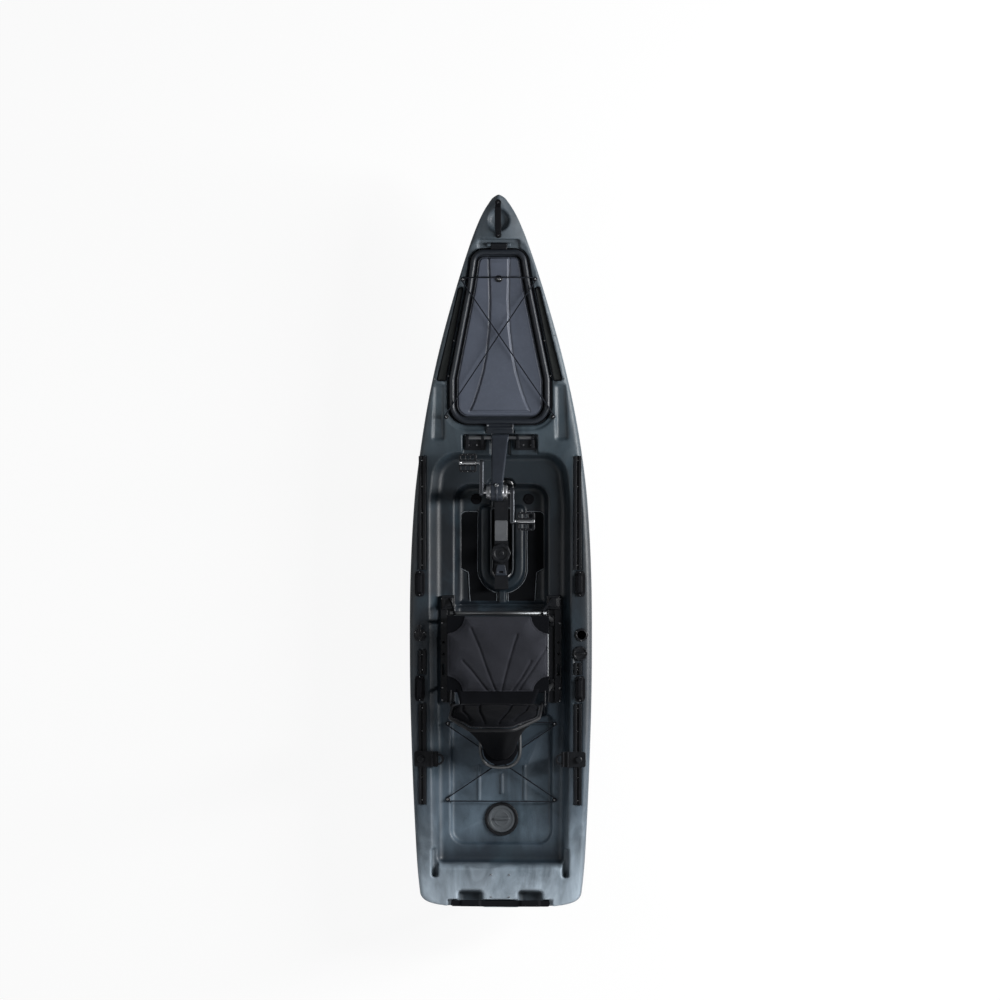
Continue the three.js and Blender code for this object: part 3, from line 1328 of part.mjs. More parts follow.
// Crank axle with its bevel gear, crank arms with pedal spindles, and pedals
const crank = {
  reach: 165, inner: 76, thick: 22, hub: 24, end: 17, spindle: 7, spindleLong: 112, collar: 11,
    collarLong: 6,
  stub: 100, waistFrom: 41, waistTo: 124, waistWide: 8, waistNarrow: 6, waistRound: 5, waistDeep: 5,
};
const pedal = {
  x: 165, halfX: 50, halfY: 53, halfZ: 14, round: 16, bevel: 3, bevelHigh: 4, windowX: 15, windowY: 14,
  windowRound: 6, windowShift: 30, windowAcross: 24, treadHalfX: 40, treadY: 47, treadHalf: 2, treadDeep: 3,
};
const crankTurns = { right: -1, left: 1 };

function makeAxle() {
  const shaft = rod(axisX, -crank.stub, crank.stub, axle.radius, axle.sides);
  const gear = bevelGear(upperGears.crank, upperGears.mast, upperGears.module, upperGears.crankHub,
    upperGears.crankHubLong);
  return shaft.add(gear.rotate([0, 90, 0]));
}

function makeCrankArm() {
  const face = crank.inner + crank.thick;
  const core = crank.inner + crank.thick / 2;
  const outline = [];
  const steps = 8;
  for (let i = 0; i <= steps; i++) {
    const angle = Math.PI + Math.PI * i / steps;
    outline.push([crank.hub * Math.cos(angle), crank.hub * Math.sin(angle)]);
  }
  for (let i = 0; i <= steps; i++) {
    const angle = Math.PI * i / steps;
    outline.push([crank.end * Math.cos(angle), crank.reach + crank.end * Math.sin(angle)]);
  }
  const turnedOutline = outline.map(([across, along]) => [along, across]);
  const body = sidePlate(turnedOutline, crank.inner, face);
  const waist = sidePlate(rounded([
    [crank.waistFrom, -crank.waistWide, crank.waistRound], [crank.waistTo, -crank.waistNarrow,
      crank.waistRound],
    [crank.waistTo, crank.waistNarrow, crank.waistRound], [crank.waistFrom, crank.waistWide,
      crank.waistRound],
  ], 2), face - crank.waistDeep, face + bite);
  const spindle = rod(axisX, core, face + crank.spindleLong, crank.spindle, 12);
  const collar = rod(axisX, core, face + crank.collarLong, crank.collar, 12);
  const bore = rod(axisX, crank.inner - bite, crank.stub + gap, axle.radius + gap, axle.sides);
  const at = (part) => part.translate([0, crank.reach, 0]);
  return joined([body.subtract(waist), at(spindle), at(collar)]).subtract(bore);
}

function makePedal() {
  const body = stacked(roundedBox(pedal.halfX, pedal.halfY, pedal.round, 2), [
    [-pedal.halfZ, -pedal.bevel], [pedal.bevelHigh - pedal.halfZ, 0], [pedal.halfZ - pedal.bevelHigh, 0],
    [pedal.halfZ, -pedal.bevel],
  ]);
  const windows = [-1, 1].flatMap((side) => [-1, 1].map((other) => plate(moved(
    roundedBox(pedal.windowX, pedal.windowY, pedal.windowRound, 1), other * pedal.windowAcross,
    side * pedal.windowShift), -overrun, overrun)));
  const grooves = [-1, 1].map((side) => box(-pedal.treadHalfX, pedal.treadHalfX,
    side * pedal.treadY - pedal.treadHalf, side * pedal.treadY + pedal.treadHalf,
    pedal.halfZ - pedal.treadDeep, pedal.halfZ + bite));
  const bore = rod(axisX, -beam, beam, crank.spindle + runningGap, 12);
  return cutFrom(body, [...windows, ...grooves, bore]);
}

piece(crankGroup, 'crank_axle', makeAxle(), 'steel');
Object.entries(crankTurns).forEach(([side, ahead]) => {
  const out = side === 'right' ? 1 : -1;
  const crankArm = makeCrankArm().scale([out, ahead, 1]);
  piece(crankGroup, `crank_arm_${side}`, crankArm, 'blackPlastic');
  const pedalGroup = movingGroup(crankGroup, out * pedal.x, ahead * crank.reach, 0);
  piece(pedalGroup, `pedal_${side}`, makePedal(), 'blackPlastic');
});

// Mast shaft between the gear trains, in the leg
const mastGroup = movingGroup(driveGroup, 0, -axle.back, axle.up);
const halfTurn = 180;

// The turn that brings a tooth, of those spaced from zero, to a direction
function meshTurn(direction, teeth) {
  const pitch = halfTurn * 2 / teeth;
  return direction - Math.round(direction / pitch) * pitch;
}

function makeMast() {
  const top = bevelGear(upperGears.mast, upperGears.crank, upperGears.module, upperGears.mastHub,
    upperGears.mastHubLong).rotate([halfTurn, 0, halfTurn / upperGears.mast]);
  const low = bevelGear(lowerGears.mast, lowerGears.screw, lowerGears.module, lowerGears.mastHub,
    lowerGears.mastHubLong).rotate([0, 0, meshTurn(-90, lowerGears.mast)]).translate([0, 0, -mast.drop]);
  const from = -mast.drop + lowerGears.screw * lowerGears.module / 2;
  const to = -upperGears.crank * upperGears.module / 2;
  return joined([top, low, rod(axisZ, from, to, mast.radius, mast.sides)]);
}

piece(mastGroup, 'mast_shaft', makeMast(), 'steel');

const leg = { chord: 38, half: 18, top: 124, foot: 42, noseShare: 0.12, bore: 9.5, steps: 6 };

function legOutline(grow) {
  const points = [];
  const count = leg.steps * 4;
  for (let i = 0; i < count; i++) {
    const angle = i / count * fullTurn;
    const swell = 1 + leg.noseShare * Math.cos(angle);
    points.push([leg.half * Math.sin(angle) * swell, leg.chord * Math.cos(angle)]);
  }
  return grown(points, grow);
}

function makeLeg() {
  const body = plate(legOutline(0), -mast.drop + leg.foot, -leg.top);
  const spigot = rod(axisZ, -leg.top - bite, -leg.top + leg.foot / 2, crankCase.bore - gap, 16);
  const bore = rod(axisZ, -mast.drop, 0, leg.bore, 14);
  return body.add(spigot).subtract(bore);
}

piece(driveGroup, 'drive_leg', makeLeg(), 'blackPlastic', 0, -axle.back, axle.up);

const gearcase = {
  nose: 78, tail: 92, radius: 38, cavity: 31, neckGrow: 3, shaftBore: 7.2, finDrop: 62, finThick: 6,
  finFront: 23, finTipFront: -18, finTipRear: -46, finRear: -55,
};
const bulbShares = { tail: [[0.53, 1], [0.86, 0.55], [1, 0.2]], nose: [[1, 0.25], [0.8, 0.62], [0.42,
  0.92]] };
const cavityShares = [[0, -1.06], [0.6, -1], [1, -0.5], [1, 0.95], [0, 0.95]];

function makeGearcase() {
  const profile = [
    [0, -gearcase.tail],
    ...bulbShares.tail.map(([out, along]) => [gearcase.radius * out, -gearcase.tail * along]),
    ...bulbShares.nose.map(([out, along]) => [gearcase.radius * out, gearcase.nose * along]),
    [0, gearcase.nose],
  ];
  const bulb = turned(profile, 14).rotate([-90, 0, 0]);
  const neck = plate(grown(legOutline(0), gearcase.neckGrow), 0, leg.foot - gap);
  const cavity = turned(cavityShares.map(([out, along]) => [gearcase.cavity * out,
    gearcase.cavity * along]), 10)
    .rotate([-90, 0, 0]);
  const tail = rod(axisY, -gearcase.tail - bite, 0, gearcase.shaftBore, 12);
  const top = rod(axisZ, 0, leg.foot + bite, leg.bore, 14);
  const fin = sidePlate([
    [gearcase.finFront, 0], [gearcase.finTipFront, -gearcase.finDrop],
    [gearcase.finTipRear, -gearcase.finDrop], [gearcase.finRear, 0],
  ], -gearcase.finThick / 2, gearcase.finThick / 2);
  return cutFrom(joined([bulb, neck, fin]), [cavity, tail, top]);
}

piece(driveGroup, 'lower_gearcase', makeGearcase(), 'blackPlastic', 0, -axle.back, axle.up - mast.drop);

// Two-bladed propeller with its shaft and bevel pinion; the blades stand in line with the tunnel at rest
const screw = {
  hubFront: -94, hubRear: -146, hubRadius: 19, coneLong: 22, noseLong: 6, noseRadius: 11, shaft: 6.5,
  radius: 124, rootRadius: 12, chord: 56, tipChord: 30, thick: 7, tipThick: 2.4,
  rootPitch: 62, tipPitch: 24, stations: 6, middle: -119,
};
const bladeShares = { swellFrom: 0.2, swellOver: 0.75, pitchPower: 0.7, tipFrom: 0.95, tipChord: 0.62 };
const foilShares = [[-1, 0], [-0.5, 1], [0.4, 1], [1, 0], [0.4, -0.5], [-0.5, -0.5]];
const screwGroup = movingGroup(driveGroup, 0, -axle.back, axle.up - mast.drop);

function makeBlade() {
  const rings = [];
  for (let i = 0; i < screw.stations; i++) {
    const share = i / (screw.stations - 1);
    const radius = lerp(screw.rootRadius, screw.radius, share);
    const pitch = THREE.MathUtils.degToRad(
      lerp(screw.rootPitch, screw.tipPitch, share ** bladeShares.pitchPower));
    const swell = Math.sin(Math.PI * (bladeShares.swellFrom + bladeShares.swellOver * share));
    const taper = share > bladeShares.tipFrom ? bladeShares.tipChord : 1;
    const half = lerp(screw.tipChord, screw.chord, swell) / 2 * taper;
    const thick = lerp(screw.thick, screw.tipThick, share) / 2;
    rings.push(foilShares.map(([a, b]) => {
      const [along, up] = [a * half, b * thick];
      return [along * Math.cos(pitch) - up * Math.sin(pitch),
        along * Math.sin(pitch) + up * Math.cos(pitch), radius];
    }));
  }
  return loft(rings, ([x, y]) => [x, y]).translate([0, screw.middle, 0]);
}

function makeScrew() {
  const blade = makeBlade();
  const hub = turned([
    [0, screw.hubFront], [screw.hubRadius, screw.hubFront], [screw.hubRadius,
      screw.hubRear + screw.coneLong],
    [screw.noseRadius, screw.hubRear + screw.noseLong], [0, screw.hubRear],
  ], 12);
  const pinion = bevelGear(lowerGears.screw, lowerGears.mast, lowerGears.module, lowerGears.screwHub,
    lowerGears.screwHubLong).rotate([0, 0, meshTurn(90 + halfTurn / lowerGears.screw, lowerGears.screw)]);
  const from = lowerGears.mast * lowerGears.module / 2;
  const shaft = rod(axisZ, from, bite - screw.hubFront, screw.shaft, 12);
  const alongY = (part) => part.rotate([90, 0, 0]);
  return joined([alongY(pinion), alongY(shaft), hub.rotate([-90, 0, 0]), blade, blade.rotate([0, 180, 0])]);
}

piece(screwGroup, 'propeller', makeScrew(), 'blackPlastic');

// Deck rail: a yoke on the leg, a beam that rests on the tunnel's collar and a plate that shuts the tunnel
const rail = {
  half: 38, low: 215, high: 245, rear: 384, footFront: 434, yokeFront: 988, yokeRear: 884, yokeHigh: 262,
  yokeRound: 20, yokeBevel: 6, sideCut: 8, sideCutHigh: 12, plateFront: 777, plateRear: 660, plateThick: 8,
  plateInset: 2, plateRound: 6,
};
const wellPlate = {
  half: 61, front: 988, rearCentre: 509, low: 158, high: 166, frontRound: 22, webHalf: 9, webFront: 860,
    webRear: 560,
};
const knob = { y: 589, radius: 58, height: 26, lobes: 8, lobeDeep: 5, shank: 9, sink: 14, crown: 8 };
const railLatch = {
  rear: 462, front: 524, halfRear: 34, halfFront: 22, thick: 12, roundRear: 8, roundFront: 10, bevel: 3,
  slotHalf: 13, slotLong: 5, slotRound: 4, slotAt: 20,
};

function makeRail() {
  const beamPart = box(-rail.half, rail.half, rail.rear, rail.yokeRear + rail.yokeRound, rail.low,
    rail.high);
  const foot = box(-rail.half, rail.half, rail.rear, rail.footFront, driveWell.collarTop + gap,
    rail.low + bite);
  const yokeHalf = (rail.yokeFront - rail.yokeRear) / 2;
  const yokeOutline = moved(roundedBox(rail.half, yokeHalf, rail.yokeRound, 3), 0,
    rail.yokeRear + yokeHalf);
  const yoke = stacked(yokeOutline, [
    [rail.low, 0], [rail.yokeHigh - rail.yokeBevel, 0], [rail.yokeHigh, -rail.yokeBevel],
  ]);
  const well = plate(tunnelOutline(wellPlate.half, wellPlate.front, wellPlate.frontRound,
    wellPlate.rearCentre),
    wellPlate.low, wellPlate.high);
  const web = box(-wellPlate.webHalf, wellPlate.webHalf, wellPlate.webRear, wellPlate.webFront,
    wellPlate.high - bite, rail.low + bite);
  const legHole = plate(moved(legOutline(gap), 0, pivot.y - axle.back), 0, depth);
  const shank = rod(axisZ, rail.high - knob.sink - gap, rail.high + bite, knob.shank + runningGap, 14)
    .translate([0, knob.y, 0]);
  const cuts = starboardAndPort(() => box(rail.half - rail.sideCut, rail.half + bite,
    rail.plateRear, rail.plateFront, rail.low - bite, rail.low + rail.sideCutHigh));
  return cutFrom(joined([beamPart, foot, yoke, well, web]), [legHole, shank, ...cuts])
    .translate([0, -pivot.y, -pivot.z]);
}

function makeRailPlate() {
  const half = (rail.plateFront - rail.plateRear) / 2;
  const outline = moved(roundedBox(rail.half - rail.plateInset, half, rail.plateRound, 2),
    0, rail.plateRear + half - pivot.y);
  const low = rail.high - pivot.z;
  return plate(outline, low + gap, low + rail.plateThick);
}

function makeKnob() {
  const count = knob.lobes * 4;
  const ring = ([z, size]) => circle(1, count).map(([x, y], i) => {
    const radius = size - (i % 4 === 0 ? knob.lobeDeep : 0);
    return [x * radius, y * radius, z];
  });
  const grip = loft([
    [runningGap, knob.radius - knob.crown / 2], [knob.crown / 2, knob.radius], [knob.height - knob.crown,
      knob.radius],
    [knob.height, knob.radius - knob.crown],
  ].map(ring), ([x, y]) => [x, y]);
  return grip.add(rod(axisZ, -knob.sink, knob.crown, knob.shank, 14));
}

function makeLatchLever() {
  const long = railLatch.front - railLatch.rear;
  const outline = rounded([
    [-railLatch.halfRear, 0, railLatch.roundRear], [railLatch.halfRear, 0, railLatch.roundRear],
    [railLatch.halfFront, long, railLatch.roundFront], [-railLatch.halfFront, long, railLatch.roundFront],
  ], 3);
  const { thick, bevel } = railLatch;
  const lever = stacked(outline, [[gap, 0], [thick - bevel, 0], [thick, -bevel]]);
  const slot = moved(roundedBox(railLatch.slotHalf, railLatch.slotLong, railLatch.slotRound, 2), 0,
    railLatch.slotAt);
  return lever.subtract(plate(slot, -bite, thick + bite));
}

piece(driveGroup, 'drive_rail', makeRail(), 'blackPlastic');
piece(driveGroup, 'rail_plate', makeRailPlate(), 'lightPlate');
const knobGroup = movingGroup(driveGroup, 0, knob.y - pivot.y, rail.high - pivot.z);
piece(knobGroup, 'hold_down_knob', makeKnob(), 'blackPlastic');
const latchGroup = movingGroup(driveGroup, 0, railLatch.rear - pivot.y, rail.high - pivot.z);
piece(latchGroup, 'rail_latch', makeLatchLever(), 'blackPlastic');

// Seat: a bent-tube frame on feet in the rails, a padded pan, a folding back and a rear pouch
const seat = {
  tube: 12.5, sides: 8, x: 276, footX: 291, z: 470, front: 236, rear: -192, footFront: 205, footRear: -160,
  bend: 45, bendShare: 1 / 3, footHalfX: 14, footHalfY: 34, footHigh: 20, crossDrop: 2,
};
const hoop = { half: 113, rear: -631, z: 300, kneeY: -330, kneeZ: 340, bend: 104, tube: 10, drop: 2,
  steps: 5 };
const seatGroup = movingGroup(kayak, 0, 0, 0);
const railFloor = tub.shelf + seatRail.height - seatRail.grooveDrop;
const backPivot = {
  x: 250, y: -264, z: 500, pin: 6, ear: 9, earInner: 264, earHalf: 16, earRound: 12, earLowRound: 8,
  rootY: -172, rootLow: 460, rootHigh: 478, rootRound: 6,
};

function makeSeatFrame() {
  const footZ = railFloor + seat.footHigh / 2;
  const sidesOf = [-1, 1].map((side) => bentTube([
    [side * seat.footX, seat.footFront, footZ], [side * seat.x, seat.front, seat.z],
    [side * seat.x, seat.rear, seat.z], [side * seat.footX, seat.footRear, footZ],
  ], seat.bend, seat.tube, seat.sides));
  const inFromEnd = seat.bend * seat.bendShare;
  const crossTube = seat.tube - seat.crossDrop / 2;
  const cross = [seat.front - inFromEnd, seat.rear + inFromEnd].map((y) => rod(axisX, -seat.x, seat.x,
    crossTube, seat.sides).translate([0, y, seat.z - seat.crossDrop]));
  const feet = [-1, 1].flatMap((side) => [seat.footFront, seat.footRear].map((y) => {
    const x = side * seat.footX;
    return box(x - seat.footHalfX, x + seat.footHalfX, y - seat.footHalfY, y + seat.footHalfY,
      railFloor + gap, railFloor + seat.footHigh);
  }));
  const hoopSide = [
    [hoop.half, seat.rear + inFromEnd, seat.z - hoop.drop], [hoop.half, hoop.kneeY, hoop.kneeZ],
    [hoop.half, hoop.rear, hoop.z],
  ];
  const hoopTube = bentTube([...hoopSide, ...hoopSide.map(([x, y, z]) => [-x, y, z]).reverse()],
    hoop.bend, hoop.tube, seat.sides, hoop.steps);
  const ears = [-1, 1].flatMap((side) => {
    const inner = side * backPivot.earInner;
    const outer = side * (backPivot.earInner + backPivot.ear);
    const ear = sidePlate(rounded([
      [backPivot.rootY, backPivot.rootLow, backPivot.rootRound],
      [backPivot.rootY, backPivot.rootHigh, backPivot.rootRound],
      [backPivot.y, backPivot.z + backPivot.earHalf, backPivot.earRound],
      [backPivot.y - backPivot.earHalf, backPivot.z, backPivot.earRound],
      [backPivot.y, backPivot.z - backPivot.earHalf, backPivot.earLowRound],
    ], 2), Math.min(inner, outer), Math.max(inner, outer));
    const pinEnds = [side * (backPivot.x - seat.tube), outer];
    const pin = rod(axisX, Math.min(...pinEnds), Math.max(...pinEnds), backPivot.pin, 10)
      .translate([0, backPivot.y, backPivot.z]);
    return [ear, pin];
  });
  return joined([...sidesOf, ...cross, ...feet, hoopTube, ...ears]);
}

piece(seatGroup, 'seat_frame', makeSeatFrame(), 'aluminium');

const edgeShare = 1 / 6;

// A cushion over a grid: crowned, drawn in at the edge, with channels worked out by a formula
function cushion(columns, rows, outlineAt, heightAt, low, edge) {
  const top = [];
  const bottom = [];
  for (let r = 0; r <= rows; r++) {
    for (let c = 0; c <= columns; c++) {
      const [u, v] = [c / columns * 2 - 1, r / rows * 2 - 1];
      const [x, y] = outlineAt(u, v);
      const inward = Math.min(1 - Math.abs(u), 1 - Math.abs(v));
      const drawnIn = Math.sqrt(Math.min(1, inward / edgeShare));
      top.push([x, y, low + edge + heightAt(u, v) * drawnIn]);
      bottom.push([x, y, low]);
    }
  }
  const width = columns + 1;
  const count = top.length;
  const index = [];
  for (let r = 0; r < rows; r++) {
    for (let c = 0; c < columns; c++) {
      const a = r * width + c;
      index.push(a, a + 1, a + width + 1, a, a + width + 1, a + width);
    }
  }
  const rim = [];
  for (let c = 0; c < columns; c++) {
    rim.push(c);
  }
  for (let r = 0; r < rows; r++) {
    rim.push(r * width + columns);
  }
  for (let c = columns; c > 0; c--) {
    rim.push(rows * width + c);
  }
  for (let r = rows; r > 0; r--) {
    rim.push(r * width);
  }
  rim.forEach((a, i) => {
    const b = rim[(i + 1) % rim.length];
    index.push(count + a, count + b, b, count + a, b, a);
    index.push(count + b, count + a, count * 2);
  });
  const places = [...top, ...bottom, [0, outlineAt(0, 0)[1], low]];
  const geometry = new THREE.BufferGeometry();
  geometry.setAttribute('position', new THREE.Float32BufferAttribute(places.flat(), 3));
  geometry.setIndex(index);
  return solid(geometry);
}

const pan = {
  half: 290, front: 252, rear: -200, edge: 16, crown: 30, crownDropShare: 0.35, seam: 11, seams: 7,
  seamShare: 0.1, waistShare: 0.1, fan: -430, columns: 20, rows: 13,
};
const panLow = seat.z + seat.tube + gap;

// Seams fan out from a point behind the seat, as sewn channels
function panHeight(u, v) {
  const crown = (1 - pan.crownDropShare * u * u) * (1 - pan.crownDropShare * v * v);
  const x = u * pan.half;
  const y = lerp(pan.rear, pan.front, (v + 1) / 2);
  const angle = Math.atan2(x, y - pan.fan);
  const spread = Math.atan2(pan.half, pan.front - pan.fan) * 2 / pan.seams;
  const phase = Math.abs(angle / spread - Math.round(angle / spread));
  const furrow = Math.max(1 - phase / pan.seamShare, 0);
  return pan.crown * crown - pan.seam * furrow;
}

function makePan() {
  const middle = (pan.front + pan.rear) / 2;
  const reach = (pan.front - pan.rear) / 2;
  const outlineAt = (u, v) => [
    u * pan.half * (1 - pan.waistShare * v * v), middle + v * reach * (1 - pan.waistShare * u * u),
  ];
  return cushion(pan.columns, pan.rows, outlineAt, panHeight, panLow, pan.edge);
}

piece(seatGroup, 'seat_pan', makePan(), 'fabric');

// Back rest: its frame and pad are modelled upright, then leant back about the pivot
const back = {
  lean: 17, tube: 11, braceTube: 10, high: 440, shoulderHigh: 240, topHalf: 120, bend: 50, brace: 70,
    padLow: 62,
  padHigh: 452, padHalf: 246, padTopHalf: 124, padShoulder: 250, padTopDrop: 16, padEdge: 10, padCrown: 34,
  crownDropShare: 0.4, seam: 9, seams: 5, seamShare: 1 / 6, columns: 16, rows: 13,
};
const backGroup = movingGroup(seatGroup, 0, backPivot.y, backPivot.z);

function makeBackFrame() {
  const frame = bentTube([
    [backPivot.x, 0, -backPivot.earHalf], [backPivot.x, 0, back.shoulderHigh], [back.topHalf, 0, back.high],
    [-back.topHalf, 0, back.high], [-backPivot.x, 0, back.shoulderHigh], [-backPivot.x, 0,
      -backPivot.earHalf],
  ], back.bend, back.tube, seat.sides);
  const brace = rod(axisX, -backPivot.x, backPivot.x, back.braceTube, seat.sides).translate([0, 0,
    back.brace]);
  const bore = rod(axisX, -beam, beam, backPivot.pin + runningGap, 10);
  return frame.add(brace).rotate([back.lean, 0, 0]).subtract(bore);
}

function backHalfAt(z) {
  return z < back.padShoulder ? back.padHalf
    : lerp(back.padHalf, back.padTopHalf, smoothstep(z, back.padShoulder, back.padHigh));
}

function backHeight(u, v) {
  const crown = (1 - back.crownDropShare * u * u) * (1 - back.crownDropShare * v * v);
  const phase = Math.abs(u * back.seams / 2 - Math.round(u * back.seams / 2));
  return back.padCrown * crown - back.seam * Math.max(1 - phase / back.seamShare, 0);
}

function makeBackPad() {
  const outlineAt = (u, v) => {
    const z = lerp(back.padLow, back.padHigh, (v + 1) / 2);
    return [u * backHalfAt(z), z - back.padTopDrop * u * u * Math.max(v, 0)];
  };
  return cushion(back.columns, back.rows, outlineAt, backHeight, back.tube + gap, back.padEdge)
    .rotate([90, 0, 0]).mirror([0, 1, 0]).rotate([back.lean, 0, 0]);
}

piece(backGroup, 'back_frame', makeBackFrame(), 'aluminium');

// Rear pouch: a soft bag held in the hoop
const pouch = {
  half: hoop.half - hoop.tube - gap, front: -410, rear: hoop.rear + hoop.tube + gap, low: 269, high: 338,
  round: 96, puff: 10, steps: 6,
};

function makePouch() {
  const long = (pouch.front - pouch.rear) / 2;
  const outline = moved(roundedBox(pouch.half, long, pouch.round, pouch.steps), 0, pouch.rear + long);
  return stacked(outline, [
    [pouch.low, -pouch.puff * 2], [pouch.low + pouch.puff, -pouch.puff / 2],
      [(pouch.low + pouch.high) / 2, 0],
    [pouch.high - pouch.puff, -pouch.puff / 2], [pouch.high, -pouch.puff * 2],
  ]);
}

piece(seatGroup, 'rear_pouch', makePouch(), 'fabric');

// The back pad, turned up on its edge and leant with its frame
piece(backGroup, 'back_pad', makeBackPad(), 'fabric');

// Shock cord held round deck posts: each wrap is an arc, with straight runs between
const cord = { radius: 3, sides: 8, wrap: 8.2, wrapSteps: 4, lift: 9, over: 29, cross: 37, edgeIn: 26,
  tail: 12 };

function wrapRound([x, y], fromDegrees, toDegrees, z) {
  return Array.from({ length: cord.wrapSteps + 1 }, (_, i) => {
    const angle = THREE.MathUtils.degToRad(lerp(fromDegrees, toDegrees, i / cord.wrapSteps));
    return [x + cord.wrap * Math.cos(angle), y + cord.wrap * Math.sin(angle), z];
  });
}

// Points on the straight run between two wraps, each at its share of the way and its own height
function run(from, to, stops) {
  return stops.map(([share, z]) => [
    lerp(from[0], to[0], share), lerp(from[1], to[1], share), z,
  ]);
}

// The X of cord over four posts, closed across the front, and across the rear where asked
function crossedCord(frontPost, rearPost, heights, closesRear) {
  const [fx, fy] = frontPost;
  const [rx, ry] = rearPost;
  const heading = THREE.MathUtils.radToDeg(Math.atan2(fy - ry, fx + rx));
  const rearLeave = 90 - heading;
  const { front, rear, overAt, crossAt } = heights;
  const startWrap = wrapRound([rx, ry], -90, rearLeave, rear);
  const leftWrap = wrapRound([-fx, fy], 270 - heading, 90, front);
  const rightWrap = wrapRound([fx, fy], 90, heading - 90, front);
  const endWrap = wrapRound([-rx, ry], 180 - rearLeave, 270, rear);
  const middle = rx / (rx + fx);
  const first = run(startWrap[cord.wrapSteps], leftWrap[0], overAt(middle, false));
  const across = run(leftWrap[cord.wrapSteps], rightWrap[0], crossAt);
  const second = run(rightWrap[cord.wrapSteps], endWrap[0], overAt(1 - middle, true));
  const route = [...startWrap, ...first, ...leftWrap, ...across, ...rightWrap, ...second, ...endWrap];
  if (closesRear) {
    route.push([rx - cord.tail, ry - cord.wrap, rear]);
  }
  return sweep(route.map(([x, y, z]) => new THREE.Vector3(x, y, z)), cord.radius, cord.sides);
}

function makeBowCord() {
  const [frontPost, rearPost] = bowPosts;
  const above = (y) => sheerAt(y) + cord.over;
  const frontZ = deckHeightAt(...frontPost) + cord.lift;
  const rearZ = deckHeightAt(...rearPost) + cord.lift;
  const [highFront, highRear] = [above(frontPost[1]), above(rearPost[1])];
  const edge = cord.edgeIn / Math.hypot(frontPost[0] + rearPost[0], frontPost[1] - rearPost[1]);
  const overAt = (middle, fromFront) => {
    const [start, end] = fromFront ? [highFront, highRear] : [highRear, highFront];
    const high = lerp(start, end, middle) + (fromFront ? cord.cross - cord.over : 0);
    return [[edge, start], [middle - edge, high], [middle + edge, high], [1 - edge, end]];
  };
  const side = cord.edgeIn / (frontPost[0] * 2);
  const crossAt = [[side, highFront], [0.5, highFront], [1 - side, highFront]];
  const whole = crossedCord(frontPost, rearPost, { front: frontZ, rear: rearZ, overAt, crossAt }, false);
  return whole.translate([0, -hatchPin.y, hatchPin.drop - sheerAt(hatchPin.y)]);
}

function makeTankCord() {
  const z = tub.shelf + cord.lift;
  const rise = cord.cross - cord.over;
  const overAt = (middle, second) => (second
    ? [[middle / 2, z], [middle * 0.94, z + rise], [middle * 1.06, z + rise], [middle * 1.5, z]]
    : [[middle, z]]);
  const [rearPost, frontPost] = tankPosts;
  return crossedCord(frontPost, rearPost, { front: z, rear: z, overAt, crossAt: [] }, true);
}

piece(lidGroup, 'bow_cord', makeBowCord(), 'cord');
piece(kayak, 'tank_cord', makeTankCord(), 'cord');

// Pin of the bow hatch
piece(kayak, 'hatch_pin', rod(axisX, -hatchPin.half, hatchPin.half, hatchPin.radius, hatchPin.sides),
  'steel',
  0, hatchPin.y, sheerAt(hatchPin.y) - hatchPin.drop);

export default kayak;
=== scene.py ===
# Looks of the pedal kayak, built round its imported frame.
# Sizes are in millimetres, and become metres where a mesh is made.
import json
import math

import bpy
import numpy as np
import openvdb
from mathutils import Matrix, Vector


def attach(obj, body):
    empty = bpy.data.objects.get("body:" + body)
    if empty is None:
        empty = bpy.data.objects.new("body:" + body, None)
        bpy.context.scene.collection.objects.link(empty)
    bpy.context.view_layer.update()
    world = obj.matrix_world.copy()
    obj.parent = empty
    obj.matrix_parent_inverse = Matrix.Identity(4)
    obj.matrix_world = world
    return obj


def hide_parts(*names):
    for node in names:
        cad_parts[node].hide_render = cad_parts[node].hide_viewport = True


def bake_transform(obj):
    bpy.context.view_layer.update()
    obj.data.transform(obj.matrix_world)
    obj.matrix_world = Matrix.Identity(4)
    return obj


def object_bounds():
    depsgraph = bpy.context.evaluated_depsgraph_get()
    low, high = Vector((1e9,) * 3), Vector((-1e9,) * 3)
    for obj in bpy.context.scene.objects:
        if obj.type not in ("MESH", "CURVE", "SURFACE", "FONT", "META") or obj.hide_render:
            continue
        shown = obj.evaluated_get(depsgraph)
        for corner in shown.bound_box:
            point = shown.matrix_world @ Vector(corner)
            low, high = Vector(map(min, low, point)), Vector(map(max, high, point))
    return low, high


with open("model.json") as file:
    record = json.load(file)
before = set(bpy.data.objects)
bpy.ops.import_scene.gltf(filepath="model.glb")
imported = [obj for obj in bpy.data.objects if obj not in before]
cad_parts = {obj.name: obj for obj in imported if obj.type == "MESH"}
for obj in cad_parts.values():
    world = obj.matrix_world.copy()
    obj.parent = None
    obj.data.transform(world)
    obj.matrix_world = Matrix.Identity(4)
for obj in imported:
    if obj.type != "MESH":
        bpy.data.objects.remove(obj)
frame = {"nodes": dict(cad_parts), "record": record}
frame_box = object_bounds()
nodes = frame["nodes"]
MM = 0.001

# Sizes shared with the frame
LENGTH, HALF_BEAM, DEPTH = 4060, 522.5, 330
STERN, BOW = -1430, 2630
SHELF, FOOT_FLOOR, SEAT_FLOOR, TANK_FLOOR = 245, 150, 178, 215

# Places of what is let into the deck or stands on it: y alone on the middle line, else x and y
CARRY_Y, BOW_FEET, HINGE_Y, LATCH_Y, TUNNEL_TURN = 2484, (2583, 2398), 2345, 2151, 501
ROD, CAP, LEVER, STERN_HATCH_Y, RUDDER_Y = (465, 126), (458, 20), (-459, 124), -930, -1318
GRIP_X, GRIP_MIDDLES = 459, {"front": 417, "rear": -181}
TRACKS = ((1148, 494), (40, -104), (-264, -846))
SIDES = (("right", 1), ("left", -1))


